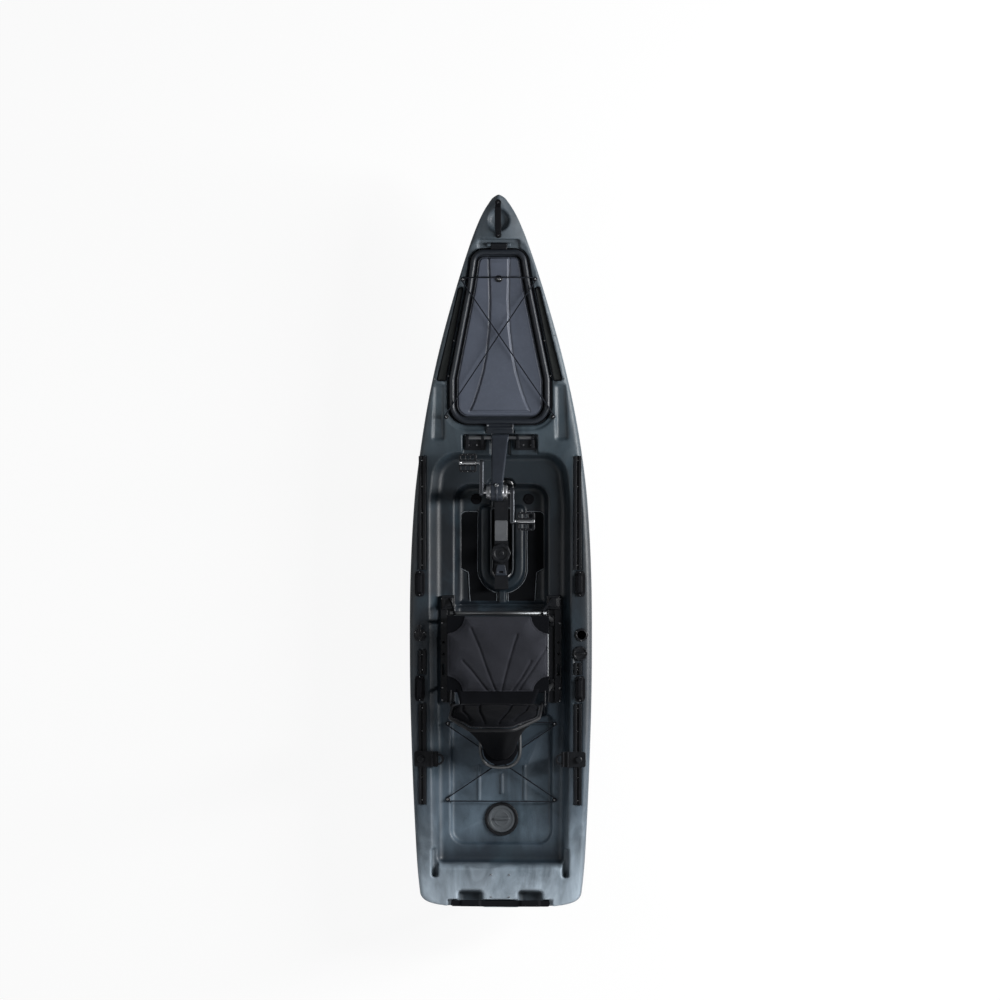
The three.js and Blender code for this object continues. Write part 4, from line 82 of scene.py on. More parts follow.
def lerp(a, b, share):
    return a + (b - a) * share


def smoothstep(value, low, high):
    share = np.clip((value - low) / (high - low), 0, 1)
    return share * share * (3 - 2 * share)


def cells(draft, full):
    """How wide a grid's cells are: always the full width; the draft width is not used."""
    return full


# Moulded forms: a distance field is blended with soft corners, then skinned
def soft_max(a, b, soft):
    near = np.maximum(soft - np.abs(a - b), 0) / soft
    return np.maximum(a, b) + near * near * soft / 4


def soft_min(a, b, soft):
    return -soft_max(-a, -b, soft)


def outline_distance(points, x, y):
    """Distance from an outline, negative inside it."""
    near = np.full(np.broadcast(x, y).shape, 1e9, np.float32)
    inside = np.zeros(near.shape, bool)
    for (ax, ay), (bx, by) in zip(points, points[1:] + points[:1]):
        dx, dy = bx - ax, by - ay
        along = np.clip(((x - ax) * dx + (y - ay) * dy) / max(dx * dx + dy * dy, 1e-9), 0, 1)
        near = np.minimum(near, (x - ax - along * dx) ** 2 + (y - ay - along * dy) ** 2)
        if dy:
            inside ^= ((ay > y) != (by > y)) & (x < ax + (y - ay) * dx / dy)
    near = np.sqrt(near)
    return np.where(inside, -near, near).astype(np.float32)


def plan_gap(points, x, y):
    """The same on a mould's grid, for an outline seen from above."""
    return outline_distance(points, x[:, :, 0], y[:, :, 0])[:, :, None]


def rounded(corners, steps=6):
    """An outline whose corners (x, y, radius) are arcs."""
    points = []
    for i, corner in enumerate(corners):
        x, y = corner[:2]
        radius = corner[2] if len(corner) > 2 else 0
        if not radius:
            points.append((x, y))
            continue
        here = np.array((x, y), float)
        back, ahead = (np.array(corners[k][:2], float) - here for k in (i - 1, (i + 1) % len(corners)))
        back, ahead = back / np.linalg.norm(back), ahead / np.linalg.norm(ahead)
        angle = math.acos(max(-1.0, min(1.0, float(back @ ahead))))
        if math.pi - angle < 1e-3:
            points.append((x, y))
            continue
        middle = (back + ahead) / np.linalg.norm(back + ahead)
        centre = here + middle * radius / math.sin(angle / 2)
        start, end = (here + way * radius / math.tan(angle / 2) - centre for way in (back, ahead))
        sweep = math.atan2(start[0] * end[1] - start[1] * end[0], start @ end)
        for k in range(steps + 1):
            turn = sweep * k / steps
            c, s = math.cos(turn), math.sin(turn)
            points.append((centre[0] + start[0] * c - start[1] * s, centre[1] + start[0] * s + start[1] * c))
    return points


def both_sides(half):
    """Half an outline on the starboard side, closed by its mirror."""
    return list(half) + [(-c[0],) + tuple(c[1:]) for c in reversed(half) if c[0] > 0]


def block(x, y, z, low, high, radius=0):
    """Distance from a box with rounded edges."""
    gaps = [np.abs(v - (a + b) / 2) - (b - a) / 2 + radius for v, a, b in zip((x, y, z), low, high)]
    outside = np.sqrt(sum(np.maximum(g, 0) ** 2 for g in gaps))
    return outside + np.minimum(np.maximum(gaps[0], np.maximum(gaps[1], gaps[2])), 0) - radius


def capsule(x, y, z, start, end, radius):
    way = [b - a for a, b in zip(start, end)]
    run = sum(w * w for w in way)
    off = [v - a for v, a in zip((x, y, z), start)]
    along = np.clip(sum(o * w for o, w in zip(off, way)) / run, 0, 1)
    return np.sqrt(sum((o - along * w) ** 2 for o, w in zip(off, way))) - radius


def drum(across, along, low, high, radius, soft=0):
    """Distance from a cylinder, given the distance across from its axis and the place along it."""
    side, end = across - radius + soft, np.abs(along - (low + high) / 2) - (high - low) / 2 + soft
    outside = np.sqrt(np.maximum(side, 0) ** 2 + np.maximum(end, 0) ** 2)
    return outside + np.minimum(np.maximum(side, end), 0) - soft


def in_scene(name, data):
    thing = bpy.data.objects.new(name, data)
    bpy.context.scene.collection.objects.link(thing)
    return thing


def mesh_object(name, points, faces, smooth=True):
    mesh = bpy.data.meshes.new(name)
    mesh.from_pydata([tuple(p) for p in points], [], [tuple(f) for f in faces])
    mesh.validate()
    if smooth:
        mesh.shade_smooth()
    return in_scene(name, mesh)


def skin(name, field, low, cell):
    """The surface where a distance field is zero, as a quad mesh in metres."""
    grid = openvdb.FloatGrid(float(cell))
    grid.copyFromArray(np.array(field, np.float32, order="C"))
    points, quads = grid.convertToQuads(0)
    points = (np.asarray(points, np.float64) * cell + np.array(low)) * MM
    mesh = bpy.data.meshes.new(name)
    count = len(quads)
    mesh.vertices.add(len(points))
    mesh.vertices.foreach_set("co", points.astype(np.float32).ravel())
    mesh.loops.add(count * 4)
    mesh.loops.foreach_set("vertex_index", np.asarray(quads, np.int32).ravel())
    mesh.polygons.add(count)
    mesh.polygons.foreach_set("loop_start", np.arange(0, count * 4, 4, dtype=np.int32))
    mesh.update(calc_edges=True)
    mesh.validate()
    mesh.shade_smooth()
    if signed_volume(mesh) < 0:
        mesh.flip_normals()
    return in_scene(name, mesh)


def coordinates(mesh):
    co = np.zeros(len(mesh.vertices) * 3, np.float32)
    mesh.vertices.foreach_get("co", co)
    return co.reshape(-1, 3)


def signed_volume(mesh):
    """Six times the volume, negative where the faces look inwards."""
    co = coordinates(mesh).astype(float)
    mesh.calc_loop_triangles()
    tri = np.zeros(len(mesh.loop_triangles) * 3, np.int32)
    mesh.loop_triangles.foreach_get("vertices", tri)
    a, b, c = (co[tri[k::3]] for k in range(3))
    return float(np.einsum("ij,ij->i", a, np.cross(b, c)).sum())


def mould(name, low, high, cell, form):
    """A moulded piece: its form is read on a grid of cells between two corners."""
    axes = [np.arange(a - 2 * cell, b + 2.5 * cell, cell, dtype=np.float32) for a, b in zip(low, high)]
    x, y, z = np.meshgrid(*axes, indexing="ij", sparse=True)
    field = np.broadcast_to(form(x, y, z), tuple(len(a) for a in axes))
    return skin(name, field, [a[0] for a in axes], cell)


def bake(thing):
    """Put a piece's modifiers into its mesh."""
    bpy.context.view_layer.update()
    made = bpy.data.meshes.new_from_object(thing.evaluated_get(bpy.context.evaluated_depsgraph_get()))
    made.name = thing.name
    thing.modifiers.clear()
    thing.data = made
    return thing


def thin(thing, share):
    """Fewer faces where the surface is nearly flat."""
    step = thing.modifiers.new("thin", "DECIMATE")
    step.ratio = share
    step.use_collapse_triangulate = True
    bake(thing)
    thing.data.shade_smooth()
    return thing


def thin_to(thing, faces):
    return thin(thing, faces / (len(thing.data.polygons) * 2))


def placed(thing, finish, body, slot, *replaced):
    """Give a finished piece its finish and its body, and hide the nodes that it stands for."""
    thing.data.materials.clear()
    thing.data.materials.append(finish)
    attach(thing, body)
    if replaced:
        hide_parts(*replaced)
    return thing


def moulded(name, low, high, cell, form, share, finish, body, slot, *replaced):
    """A moulded piece, thinned to a share of its faces and placed."""
    return placed(thin(mould(name, low, high, cell, form), share), finish, body, slot, *replaced)


def mirror_copy(thing, name):
    mesh = thing.data.copy()
    co = coordinates(mesh)
    co[:, 0] *= -1
    mesh.vertices.foreach_set("co", co.ravel())
    mesh.flip_normals()
    mesh.name = name
    return in_scene(name, mesh)


# The hull's form, as shares of its length, width and depth
PLAN = np.array([
    (0, 0.36), (0.003, 0.66), (0.0099, 0.834), (0.0246, 0.89), (0.116, 0.9435), (0.2564, 0.9876), (0.352, 1),
    (0.467, 0.993), (0.572, 0.949), (0.6426, 0.884), (0.7128, 0.796), (0.783, 0.6756), (0.853, 0.5244),
    (0.923, 0.348), (0.968, 0.207), (0.9936, 0.082), (1, 0.018)])
BROAD = np.array([
    (0, 0), (0.05, 0), (0.1, 0.035), (0.34, 0.03), (0.6, 0.045), (0.8, 0.12), (0.91, 0.27), (0.965, 0.47),
    (0.992, 0.7), (1, 0.86), (0.985, 0.95), (0.945, 1)])
SHARP = np.array([
    (0, 0), (0.05, 0), (0.1, 0.05), (0.22, 0.16), (0.38, 0.3), (0.54, 0.44), (0.68, 0.58), (0.8, 0.7),
    (0.9, 0.81), (0.965, 0.9), (0.985, 0.955), (0.945, 1)])
DECK_EDGE = 0.945


def smooth_read(table, at):
    """Read a table of share and value along a smooth curve."""
    shares, values = table[:, 0], table[:, 1]
    last = len(shares) - 1
    k = np.clip(np.searchsorted(shares, at) - 1, 0, last - 1)
    slopes = np.array([(values[min(i + 1, last)] - values[max(i - 1, 0)])
                       / (shares[min(i + 1, last)] - shares[max(i - 1, 0)]) for i in range(last + 1)])
    width = shares[k + 1] - shares[k]
    u = np.clip((at - shares[k]) / width, 0, 1)
    ease = u * u * (3 - 2 * u)
    lead, trail = u * (1 - u) ** 2 * width * slopes[k], u * u * (u - 1) * width * slopes[k + 1]
    return values[k] + (values[k + 1] - values[k]) * ease + lead + trail


def deck_rise(y):
    """How far the deck has risen: level to the bow hatch, then evenly up to the stem."""
    slope, start, even = 98 / (BOW - 1235), 1150, 1320
    past = np.maximum(np.asarray(y, float) - start, 0)
    bend = even - start
    return np.where(past < bend, slope * past * past / (2 * bend), slope * (past - bend / 2))


def sheer(y):
    return DEPTH + deck_rise(y)


def keel(y):
    stem = np.maximum((y - 1900) / (BOW - 1900), 0)
    stern = np.maximum((-1000 - y) / 430, 0)
    return 330 * np.minimum(stem, 1) ** 3 + 45 * stern * stern


def half_width(y):
    share = np.clip((np.asarray(y, float) - STERN) / LENGTH, 0, 1)
    return HALF_BEAM * smooth_read(PLAN, share)


def crown(y):
    return 26 * smoothstep((np.asarray(y, float) - STERN) / LENGTH, 0.64, 0.7)


def deck_height(x, y):
    return sheer(y) + crown(y) * (1 - (x / (half_width(y) * DECK_EDGE)) ** 2)


def hull_ring(y):
    """The half section at each place along the boat, from keel to deck middle, its corners softened."""
    share = np.clip((y - STERN) / LENGTH, 0, 1)
    sharp = smoothstep(share, 0.62, 0.93)
    half, low, high = half_width(y), keel(y), sheer(y)
    high = np.maximum(high, low + 1)
    points = [(half * lerp(b[0], s[0], sharp), lerp(low, high, lerp(b[1], s[1], sharp)))
              for b, s in zip(BROAD, SHARP)]
    points += [(half * DECK_EDGE * across, high + crown(y) * (1 - across * across))
               for across in (0.8, 0.6, 0.4, 0.2, 0)]
    for _ in range(2):
        cut = [points[0]]
        for a, b in zip(points, points[1:]):
            cut += [tuple(lerp(p, q, part) for p, q in zip(a, b)) for part in (0.25, 0.75)]
        points = cut + [points[-1]]
    return points


def section_distance(ring, x, z):
    near, inside = None, None
    for (ax, az), (bx, bz) in zip(ring, ring[1:]):
        ax, az, bx, bz = (np.asarray(v, np.float32)[None, :, None] for v in (ax, az, bx, bz))
        dx, dz = bx - ax, bz - az
        run = np.maximum(dx * dx + dz * dz, 1e-6)
        along = np.clip(((x - ax) * dx + (z - az) * dz) / run, 0, 1)
        gap = (x - ax - along * dx) ** 2 + (z - az - along * dz) ** 2
        crosses = ((az > z) != (bz > z)) & (x < ax + (z - az) * dx / np.where(dz == 0, 1e-6, dz))
        near = gap if near is None else np.minimum(near, gap)
        inside = crosses if inside is None else inside ^ crosses
    near = np.sqrt(near)
    return np.where(inside, -near, near)


def doubled(field, axis):
    """Twice the readings along an axis, the new ones halfway between."""
    first = np.moveaxis(field, axis, 0)
    made = np.empty((first.shape[0] * 2 - 1,) + first.shape[1:], np.float32)
    made[::2] = first
    made[1::2] = (first[1:] + first[:-1]) / 2
    return np.moveaxis(made, 0, axis)


# Outlines of what is sunk into the deck
LID_OUTLINE = rounded(both_sides([
    (0, 1327), (287, 1327, 110), (287, 1583), (182, 2108), (150, 2318, 75), (0, 2318)]), 8)
TUB = rounded(both_sides([
    (0, 1167), (372, 1167, 150), (400, 880), (400, 0), (385, -1204, 60), (0, -1204)]), 8)
FOOT_WELL = rounded(both_sides([(0, 985), (268, 985, 90), (268, 285, 30), (0, 285)]), 6)
SEAT_WELL = rounded(both_sides([(0, 300), (262, 300, 30), (262, -350, 30), (0, -350)]), 4)
TANK_WELL = rounded(both_sides([(0, -330), (290, -330, 30), (290, -1073, 80), (0, -1073)]), 6)
NET = rounded([(308, 1572, 12), (359, 1572, 12), (229, 2108, 6), (205, 2108, 6)], 3)
TROUGH = rounded([(320, 1236, 18), (388, 1236, 18), (376, 1552, 18), (320, 1552, 18)], 4)
CORNER_SLOT = rounded([(352, -1261, 18), (394, -1261, 18), (394, -1090, 18), (352, -1090, 18)], 4)
SCOOP = rounded([(96, -1329, 26), (246, -1329, 26), (246, -1470), (96, -1470)], 5)
HINGE_SEAT = rounded([(-215, 1130, 8), (215, 1130, 8), (215, 1268, 8), (-215, 1268, 8)], 3)


def tunnel_outline(half, front, radius):
    """A slot with a square front and a half-round rear."""
    corners = [(half, TUNNEL_TURN), (half, front, radius), (-half, front, radius), (-half, TUNNEL_TURN)]
    turns = [math.pi + math.pi * i / 18 for i in range(1, 18)]
    return rounded(corners, 5) + [(half * math.cos(t), TUNNEL_TURN + half * math.sin(t)) for t in turns]


def make_hull():
    cell = cells(6.0, 5.0)
    x = np.arange(0, 540, cell * 2, dtype=np.float32)
    y = np.arange(STERN - cell * 2, BOW + cell * 2.5, cell, dtype=np.float32)
    z = np.arange(-cell * 3, 465, cell * 2, dtype=np.float32)
    body = section_distance(hull_ring(y), x[:, None, None], z[None, None, :])
    body = doubled(doubled(body, 0), 2)
    x, z = doubled(x, 0)[:, None, None], doubled(z, 0)[None, None, :]
    y = y[None, :, None]
    body = soft_max(body, np.maximum(STERN - y, y - BOW), 14)
    level = z - deck_rise(y)

    def stretch(low, high):
        return slice(int(np.searchsorted(y.ravel(), low)), int(np.searchsorted(y.ravel(), high)))

    def cut(low, high, form, soft):
        span = stretch(low, high)
        here = y[:, span]
        body[:, span] = soft_max(body[:, span], -form(x, here, z, level[:, span], sheer(here)), soft)

    def raise_up(low, high, form, soft):
        span = stretch(low, high)
        body[:, span] = soft_min(body[:, span], form(x, y[:, span], z), soft)

    def pocket(outline, low, high, drop, taper, soft, floor_soft):
        def form(px, py, pz, plevel, _):
            lean = taper * np.clip((DEPTH - plevel) / drop, 0, 1.2)
            return soft_max(plan_gap(outline, px, py) + lean, DEPTH - drop - plevel, floor_soft)
        cut(low, high, form, soft)

    # The open tub, whose wall leans in down to the side shelf
    def tub(px, py, pz, *_):
        lean = np.interp(pz, (SHELF, 300, 318, 334), (38, 15, 4, -3)).astype(np.float32)
        return soft_max(plan_gap(TUB, px, py) + lean, SHELF - pz, 26)
    cut(-1300, 1260, tub, 13)

    def well(outline, low, high, floor, taper, floor_soft):
        def form(px, py, pz, *_):
            lean = taper * np.clip((SHELF - pz) / (SHELF - floor), 0, 1.3)
            return soft_max(plan_gap(outline, px, py) + lean, floor - pz, floor_soft)
        cut(low, high, form, 15)
    well(FOOT_WELL, 200, 1060, FOOT_FLOOR, 22, 30)
    well(SEAT_WELL, -420, 370, SEAT_FLOOR, 12, 18)
    well(TANK_WELL, -1140, -250, TANK_FLOOR, 8, 18)

    # Collar and neck round the drive tunnel, and the ribs in the tank well
    def collar(px, py, pz):
        across = plan_gap(tunnel_outline(131, 862, 30), px, py)
        ridge = soft_max(across + np.clip(pz - FOOT_FLOOR, 0, 60) * 0.25, pz - 186, 16)
        neck = np.maximum(np.maximum(np.abs(px) - 17, np.abs(py - 372) - 66), pz - 174)
        return soft_min(ridge, soft_max(neck, pz - 172, 6), 12)
    raise_up(250, 930, collar, 14)
    for middle, front, rear in ((131, -622, -828), (0, -674, -788)):
        def rib(px, py, pz):
            bar = capsule(px, py, 0 * pz, (middle, front - 8, 0), (middle, rear + 8, 0), 8)
            return soft_max(bar, pz - TANK_FLOOR - 8, 7)
        raise_up(rear - 40, front + 40, rib, 6)

    # What is sunk into the deck
    def hatch_seat(px, py, pz, plevel, _):
        across = plan_gap(LID_OUTLINE, px, py)
        seat = soft_max(across - 12, DEPTH - 16 - plevel, 6)
        bay = soft_max(soft_max(np.abs(px) - 118, np.abs(py - 2316) - 60, 16), DEPTH - 16 - plevel, 6)
        crowned = soft_max(across - 40 - np.clip(py - 2318, 0, 50) * 0.25, DEPTH - 2 - plevel, 20)
        mouth = soft_max(across + 34, DEPTH - 90 - plevel, 8)
        return np.minimum(soft_min(soft_min(seat, bay, 8), crowned, 10), mouth)
    cut(1280, 2420, hatch_seat, 8)
    pocket(NET, 1530, 2150, 60, 5, 8, 12)
    pocket(TROUGH, 1200, 1600, 14, 6, 14, 12)
    pocket(HINGE_SEAT, 1100, 1300, 28, 0, 6, 6)
    notch = rounded([(-60, 1100, 4), (60, 1100, 4), (60, 1296, 24), (-60, 1296, 24)], 5)
    pocket(notch, 1090, 1310, 46, 4, 8, 12)
    pocket(rounded([(-84, 1262, 4), (84, 1262, 4), (84, 1330, 4), (-84, 1330, 4)], 2), 1250, 1340, 1, 0, 4, 4)
    pocket(CORNER_SLOT, -1300, -1060, 46, 4, 10, 18)
    pocket(SCOOP, -1440, -1300, 62, 14, 12, 26)
    cut(-1440, -1370, lambda px, py, pz, *_: soft_max(
        soft_max(np.abs(px) - 300, py + 1384, 6), 300 - pz, 6), 8)

    def carry_recess(px, py, pz, _, top):
        across = np.sqrt(px * px + (py - CARRY_Y) ** 2)
        return soft_max(across - 64 + 14 * np.clip((top + 24 - pz) / 34, 0, 1), top - 10 - pz, 18)
    cut(2400, 2570, carry_recess, 10)
    for front, rear in TRACKS:
        run = rounded([(424, rear), (466, rear), (466, front), (424, front)], 1)
        pocket(run, rear - 20, front + 20, 6, 0, 3, 3)

    # The bow hold, the way through for the leg, and the small bores
    def bow_hold(px, py, pz, plevel, _):
        nets = plan_gap(NET, px, py)
        ceiling = np.where(nets < 9, DEPTH - 70 - plevel, DEPTH - 26 - plevel)
        ends = np.minimum(py - 1346, 2345 - py)
        return -np.minimum(np.minimum(-hold - 9, ends), ceiling)
    span = stretch(1300, 2400)
    hold = section_distance(hull_ring(y.ravel()[span]), x, z)
    cut(1300, 2400, bow_hold, 6)

    def tunnel(px, py, pz, *_):
        across = plan_gap(tunnel_outline(63, 1004, 24), px, py)
        return across - np.interp(pz, (172, 186), (0, 15)).astype(np.float32)
    cut(400, 1040, tunnel, 8)

    def bore(bx, by, radius, low=-99, high=999):
        cut(by - radius - 20, by + radius + 20, lambda px, py, pz, *_: soft_max(
            np.sqrt((px - bx) ** 2 + (py - by) ** 2) - radius, np.maximum(low - pz, pz - high), 3), 4)
    bore(151, 899, 15)
    bore(0, STERN_HATCH_Y, 76, 190)
    bore(0, RUDDER_Y, 11, -99, 170)

    # Both sides, then what is on starboard alone
    body = np.concatenate((body[:0:-1], body), axis=0)
    x = np.concatenate((-x[:0:-1], x), axis=0)
    for (px, py), radius, low in ((ROD, 28.5, 212), (CAP, 34.5, 302)):
        bore(px, py, radius, low)
    shell = skin("hull_shell", body, [float(x.min()), float(y.min()), float(z.min())], cell)
    return thin_to(shell, 190000)


hull = make_hull()


# Finishes, each worked out from the place on the piece
class Finish:
    """A material in the making: nodes are added by name and joined as they are made."""

    def __init__(self, name):
        self.material = bpy.data.materials.new(name)
        self.material.use_nodes = True
        self.tree = self.material.node_tree
        self.tree.nodes.clear()
        self.out = self.tree.nodes.new("ShaderNodeOutputMaterial")
        self.shader = self.tree.nodes.new("ShaderNodeBsdfPrincipled")
        self.tree.links.new(self.shader.outputs[0], self.out.inputs[0])
        self.place = self.tree.nodes.new("ShaderNodeTexCoord").outputs["Object"]

    def node(self, kind, inputs=None, output=0, **settings):
        made = self.tree.nodes.new("ShaderNode" + kind)
        for key, value in settings.items():
            setattr(made, key, value)
        for key, value in (inputs or {}).items():
            self.feed(made.inputs[key], value)
        return made.outputs[output]

    def feed(self, socket, value):
        if isinstance(value, bpy.types.NodeSocket):
            self.tree.links.new(value, socket)
        elif isinstance(value, (tuple, list)) and len(value) == 3 and socket.type == "RGBA":
            socket.default_value = (*value, 1)
        else:
            socket.default_value = value

    def scaled(self, x, y, z, turn=(0, 0, 0)):
        return self.node("Mapping", {"Vector": self.place, "Scale": (x, y, z), "Rotation": turn})

    def noise(self, scale, detail=2.0, rough=0.5, distort=0.0, place=None):
        return self.node("TexNoise", {"Vector": place or self.place, "Scale": scale, "Detail": detail,
                                      "Roughness": rough, "Distortion": distort})

    def ramp(self, value, *stops):
        made = self.tree.nodes.new("ShaderNodeValToRGB")
        self.feed(made.inputs[0], value)
        ramp = made.color_ramp
        while len(ramp.elements) < len(stops):
            ramp.elements.new(0.5)
        for element, (at, colour) in zip(ramp.elements, stops):
            element.position = at
            shade = (colour,) * 3 if isinstance(colour, (int, float)) else colour
            element.color = (*shade, 1)
        return made.outputs[0]

    def math(self, how, a, b=0.0):
        return self.node("Math", {0: a, 1: b}, operation=how)

    def varied(self, base, value, share):
        return self.math("ADD", base, self.math("MULTIPLY", value, share))

    def blend(self, share, a, b, how="MIX"):
        made = self.tree.nodes.new("ShaderNodeMix")
        made.data_type, made.blend_type = "RGBA", how
        self.feed(made.inputs[0], share)
        self.feed(made.inputs[6], a)
        self.feed(made.inputs[7], b)
        return made.outputs[2]

    def bump(self, height, strength, depth, under=None):
        inputs = {"Height": height, "Strength": strength, "Distance": depth}
        if under is not None:
            inputs["Normal"] = under
        return self.node("Bump", inputs)

    def done(self, colour, rough, bump=None, metal=0.0, more=None):
        self.feed(self.shader.inputs["Base Color"], colour)
        self.feed(self.shader.inputs["Roughness"], rough)
        self.shader.inputs["Metallic"].default_value = metal
        for key, value in (more or {}).items():
            self.shader.inputs[key].default_value = value
        if bump is not None:
            self.feed(self.shader.inputs["Normal"], bump)
        return self.material


def grey(red, green, blue):
    """A shade as eyes read it, from 0 to 255, in the light's own scale."""
    return tuple(c / 255 / 12.92 if c <= 10 else ((c / 255 + 0.055) / 1.055) ** 2.4
                 for c in (red, green, blue))


def marbled_plastic():
    f = Finish("marbled_hull_plastic")
    apart = f.tree.nodes.new("ShaderNodeSeparateXYZ")
    f.feed(apart.inputs[0], f.place)
    along = f.math("DIVIDE", f.math("SUBTRACT", apart.outputs[1], STERN * MM), LENGTH * MM)
    drift = f.noise(1.3, 3, 0.55, 0.6, f.scaled(1, 0.55, 1))
    shifted = f.varied(along, f.math("SUBTRACT", drift, 0.5), 0.12)
    decks = f.ramp(
        shifted, (0.0, grey(172, 180, 188)), (0.06, grey(140, 149, 157)), (0.14, grey(84, 94, 103)),
        (0.28, grey(27, 34, 41)), (0.5, grey(15, 21, 27)), (0.62, grey(38, 47, 53)),
        (0.72, grey(70, 79, 85)), (0.86, grey(88, 95, 100)), (1.0, grey(80, 86, 92)))
    # Well shades for the low faces in the tub and wells: painted shade, mostly darker than the deck at the
    # same place along the boat
    painted_shade_wells = f.ramp(
        shifted, (0.04, grey(20, 28, 36)), (0.075, grey(30, 39, 48)), (0.11, grey(80, 92, 102)),
        (0.2, grey(66, 77, 87)), (0.32, grey(20, 28, 36)), (0.5, grey(11, 17, 23)),
        (0.64, grey(26, 34, 40)), (0.7, grey(40, 50, 56)))
    # Below about 0.26 to 0.32 m up the colour turns to the well shades, so lower faces carry painted shade
    high = f.math("MULTIPLY", f.math("SUBTRACT", apart.outputs[2], 0.262), 16.0)
    base = f.blend(f.ramp(high, (0.0, 0.0), (1.0, 1.0)), painted_shade_wells, decks)
    swirl = f.noise(2.6, 5, 0.6, 1.4, f.scaled(1.6, 0.7, 1.6))
    cloud = f.ramp(swirl, (0.36, 0.0), (0.64, 1.0))
    dark = f.blend(f.math("MULTIPLY", cloud, 0.62), base, grey(20, 27, 33))
    teal = f.ramp(f.noise(3.4, 4, 0.55, 0.9, f.scaled(1.3, 0.9, 1)), (0.5, 0.0), (0.72, 0.55))
    tinted = f.blend(teal, dark, grey(38, 52, 60))
    specks = f.ramp(f.noise(900, 1, 0.5), (0.42, 0.88), (0.7, 1.1))
    colour = f.blend(1.0, f.blend(1.0, tinted, (0.94, 1.0, 1.04), "MULTIPLY"), specks, "MULTIPLY")
    grain = f.noise(520, 3, 0.6)
    ripple = f.noise(9, 2, 0.5)
    scuff = f.noise(60, 4, 0.7, 0.2, f.scaled(3, 0.4, 1))
    rough = f.varied(0.42, scuff, 0.16)
    normal = f.bump(grain, 0.35, 0.0006, f.bump(ripple, 0.25, 0.006))
    return f.done(colour, rough, normal, more={"Specular IOR Level": 0.4})


def moulded_plastic(name, shade, rough=0.44, grain_depth=0.0004, spread=0.25, shine=0.25, rim=None):
    f = Finish(name)
    cloud = f.noise(14, 4, 0.6, 0.4)
    dusty = f.ramp(f.noise(55, 5, 0.7), (0.5, 0.0), (0.9, 0.22))
    low, high = tuple(c * (1 - spread) for c in shade), tuple(c * (1 + spread) for c in shade)
    body = f.blend(cloud, low, high)
    colour = f.blend(dusty, body, tuple(min(1, c * 1.9 + 0.006) for c in shade))
    # rim: a darker colour where the mesh is marked: the lid's rim and tab, and its gutter as painted shade
    if rim:
        mark = f.tree.nodes.new("ShaderNodeAttribute")
        mark.attribute_name = "rim_share"
        colour = f.blend(mark.outputs["Fac"], colour, rim)
    wear = f.varied(rough - 0.07, f.noise(35, 4, 0.65), 0.2)
    normal = f.bump(f.noise(900, 3, 0.6), 0.4, grain_depth)
    return f.done(colour, wear, normal, more={"Specular IOR Level": shine})


def brushed_metal(name, shade, rough, stretch):
    f = Finish(name)
    lines = f.noise(260, 4, 0.6, 0.0, f.scaled(*stretch))
    spots = f.noise(22, 3, 0.6)
    colour = f.blend(f.math("MULTIPLY", spots, 0.5), shade, tuple(c * 0.75 for c in shade))
    wear = f.varied(rough, lines, 0.18)
    return f.done(colour, wear, f.bump(lines, 0.12, 0.0002), 1.0)


def foam_mat():
    f = Finish("foam_mat")
    cells = f.node("TexVoronoi", {"Vector": f.place, "Scale": 620.0, "Randomness": 1.0}, feature="F1")
    fine = f.noise(1200, 2, 0.5)
    colour = f.blend(f.noise(18, 3), grey(9, 10, 12), grey(16, 18, 21))
    return f.done(colour, 0.93, f.bump(cells, 0.5, 0.0006, f.bump(fine, 0.3, 0.0003)),
                  more={"Specular IOR Level": 0.08})


def woven_cloth(name, shade, thread=0.0011, rough=0.92, shine=0.12):
    f = Finish(name)
    turns = 2 * math.pi / thread
    bands = {"Vector": f.place, "Scale": turns / 20, "Distortion": 0.6, "Detail": 1.0}
    warp, weft = (f.node("TexWave", bands, wave_type="BANDS", bands_direction=way) for way in "XY")
    weave = f.math("MULTIPLY", warp, weft)
    fade = f.noise(7, 4, 0.6, 0.3)
    fuzz = f.noise(420, 3, 0.7)
    low, high = tuple(c * 0.72 for c in shade), tuple(c * 1.35 for c in shade)
    colour = f.blend(f.math("MULTIPLY", weave, 0.5), f.blend(fade, low, high), tuple(c * 1.8 for c in shade))
    normal = f.bump(weave, 0.45, 0.0006, f.bump(fuzz, 0.3, 0.0006, f.bump(f.noise(26, 3, 0.5), 0.2, 0.004)))
    return f.done(colour, rough, normal, more={
        "Sheen Weight": shine / 6, "Sheen Roughness": 0.5, "Specular IOR Level": shine})


HULL_PLASTIC = marbled_plastic()
BLACK_PLASTIC = moulded_plastic("black_plastic", grey(12, 14, 18))
SATIN_PLASTIC = moulded_plastic("satin_black_plastic", grey(38, 42, 49), 0.4)
GREY_PLASTIC = moulded_plastic("grey_plastic", grey(66, 70, 74), 0.5)
PLATE_PLASTIC = moulded_plastic("light_plate_plastic", grey(78, 80, 83), 0.3, spread=0.4, shine=0.5)
RUBBER = moulded_plastic("soft_rubber", grey(9, 10, 14), 0.72, 0.0006, shine=0.12)
FOAM = foam_mat()
ALUMINIUM = brushed_metal("satin_aluminium", (0.34, 0.345, 0.36), 0.34, (1, 6, 1))
STEEL = brushed_metal("stainless_steel", (0.46, 0.465, 0.48), 0.24, (6, 1, 1))
FABRIC = woven_cloth("charcoal_fabric", grey(36, 37, 42))
DARK_FABRIC = woven_cloth("black_webbing", grey(10, 11, 14), 0.0016, shine=0.04)
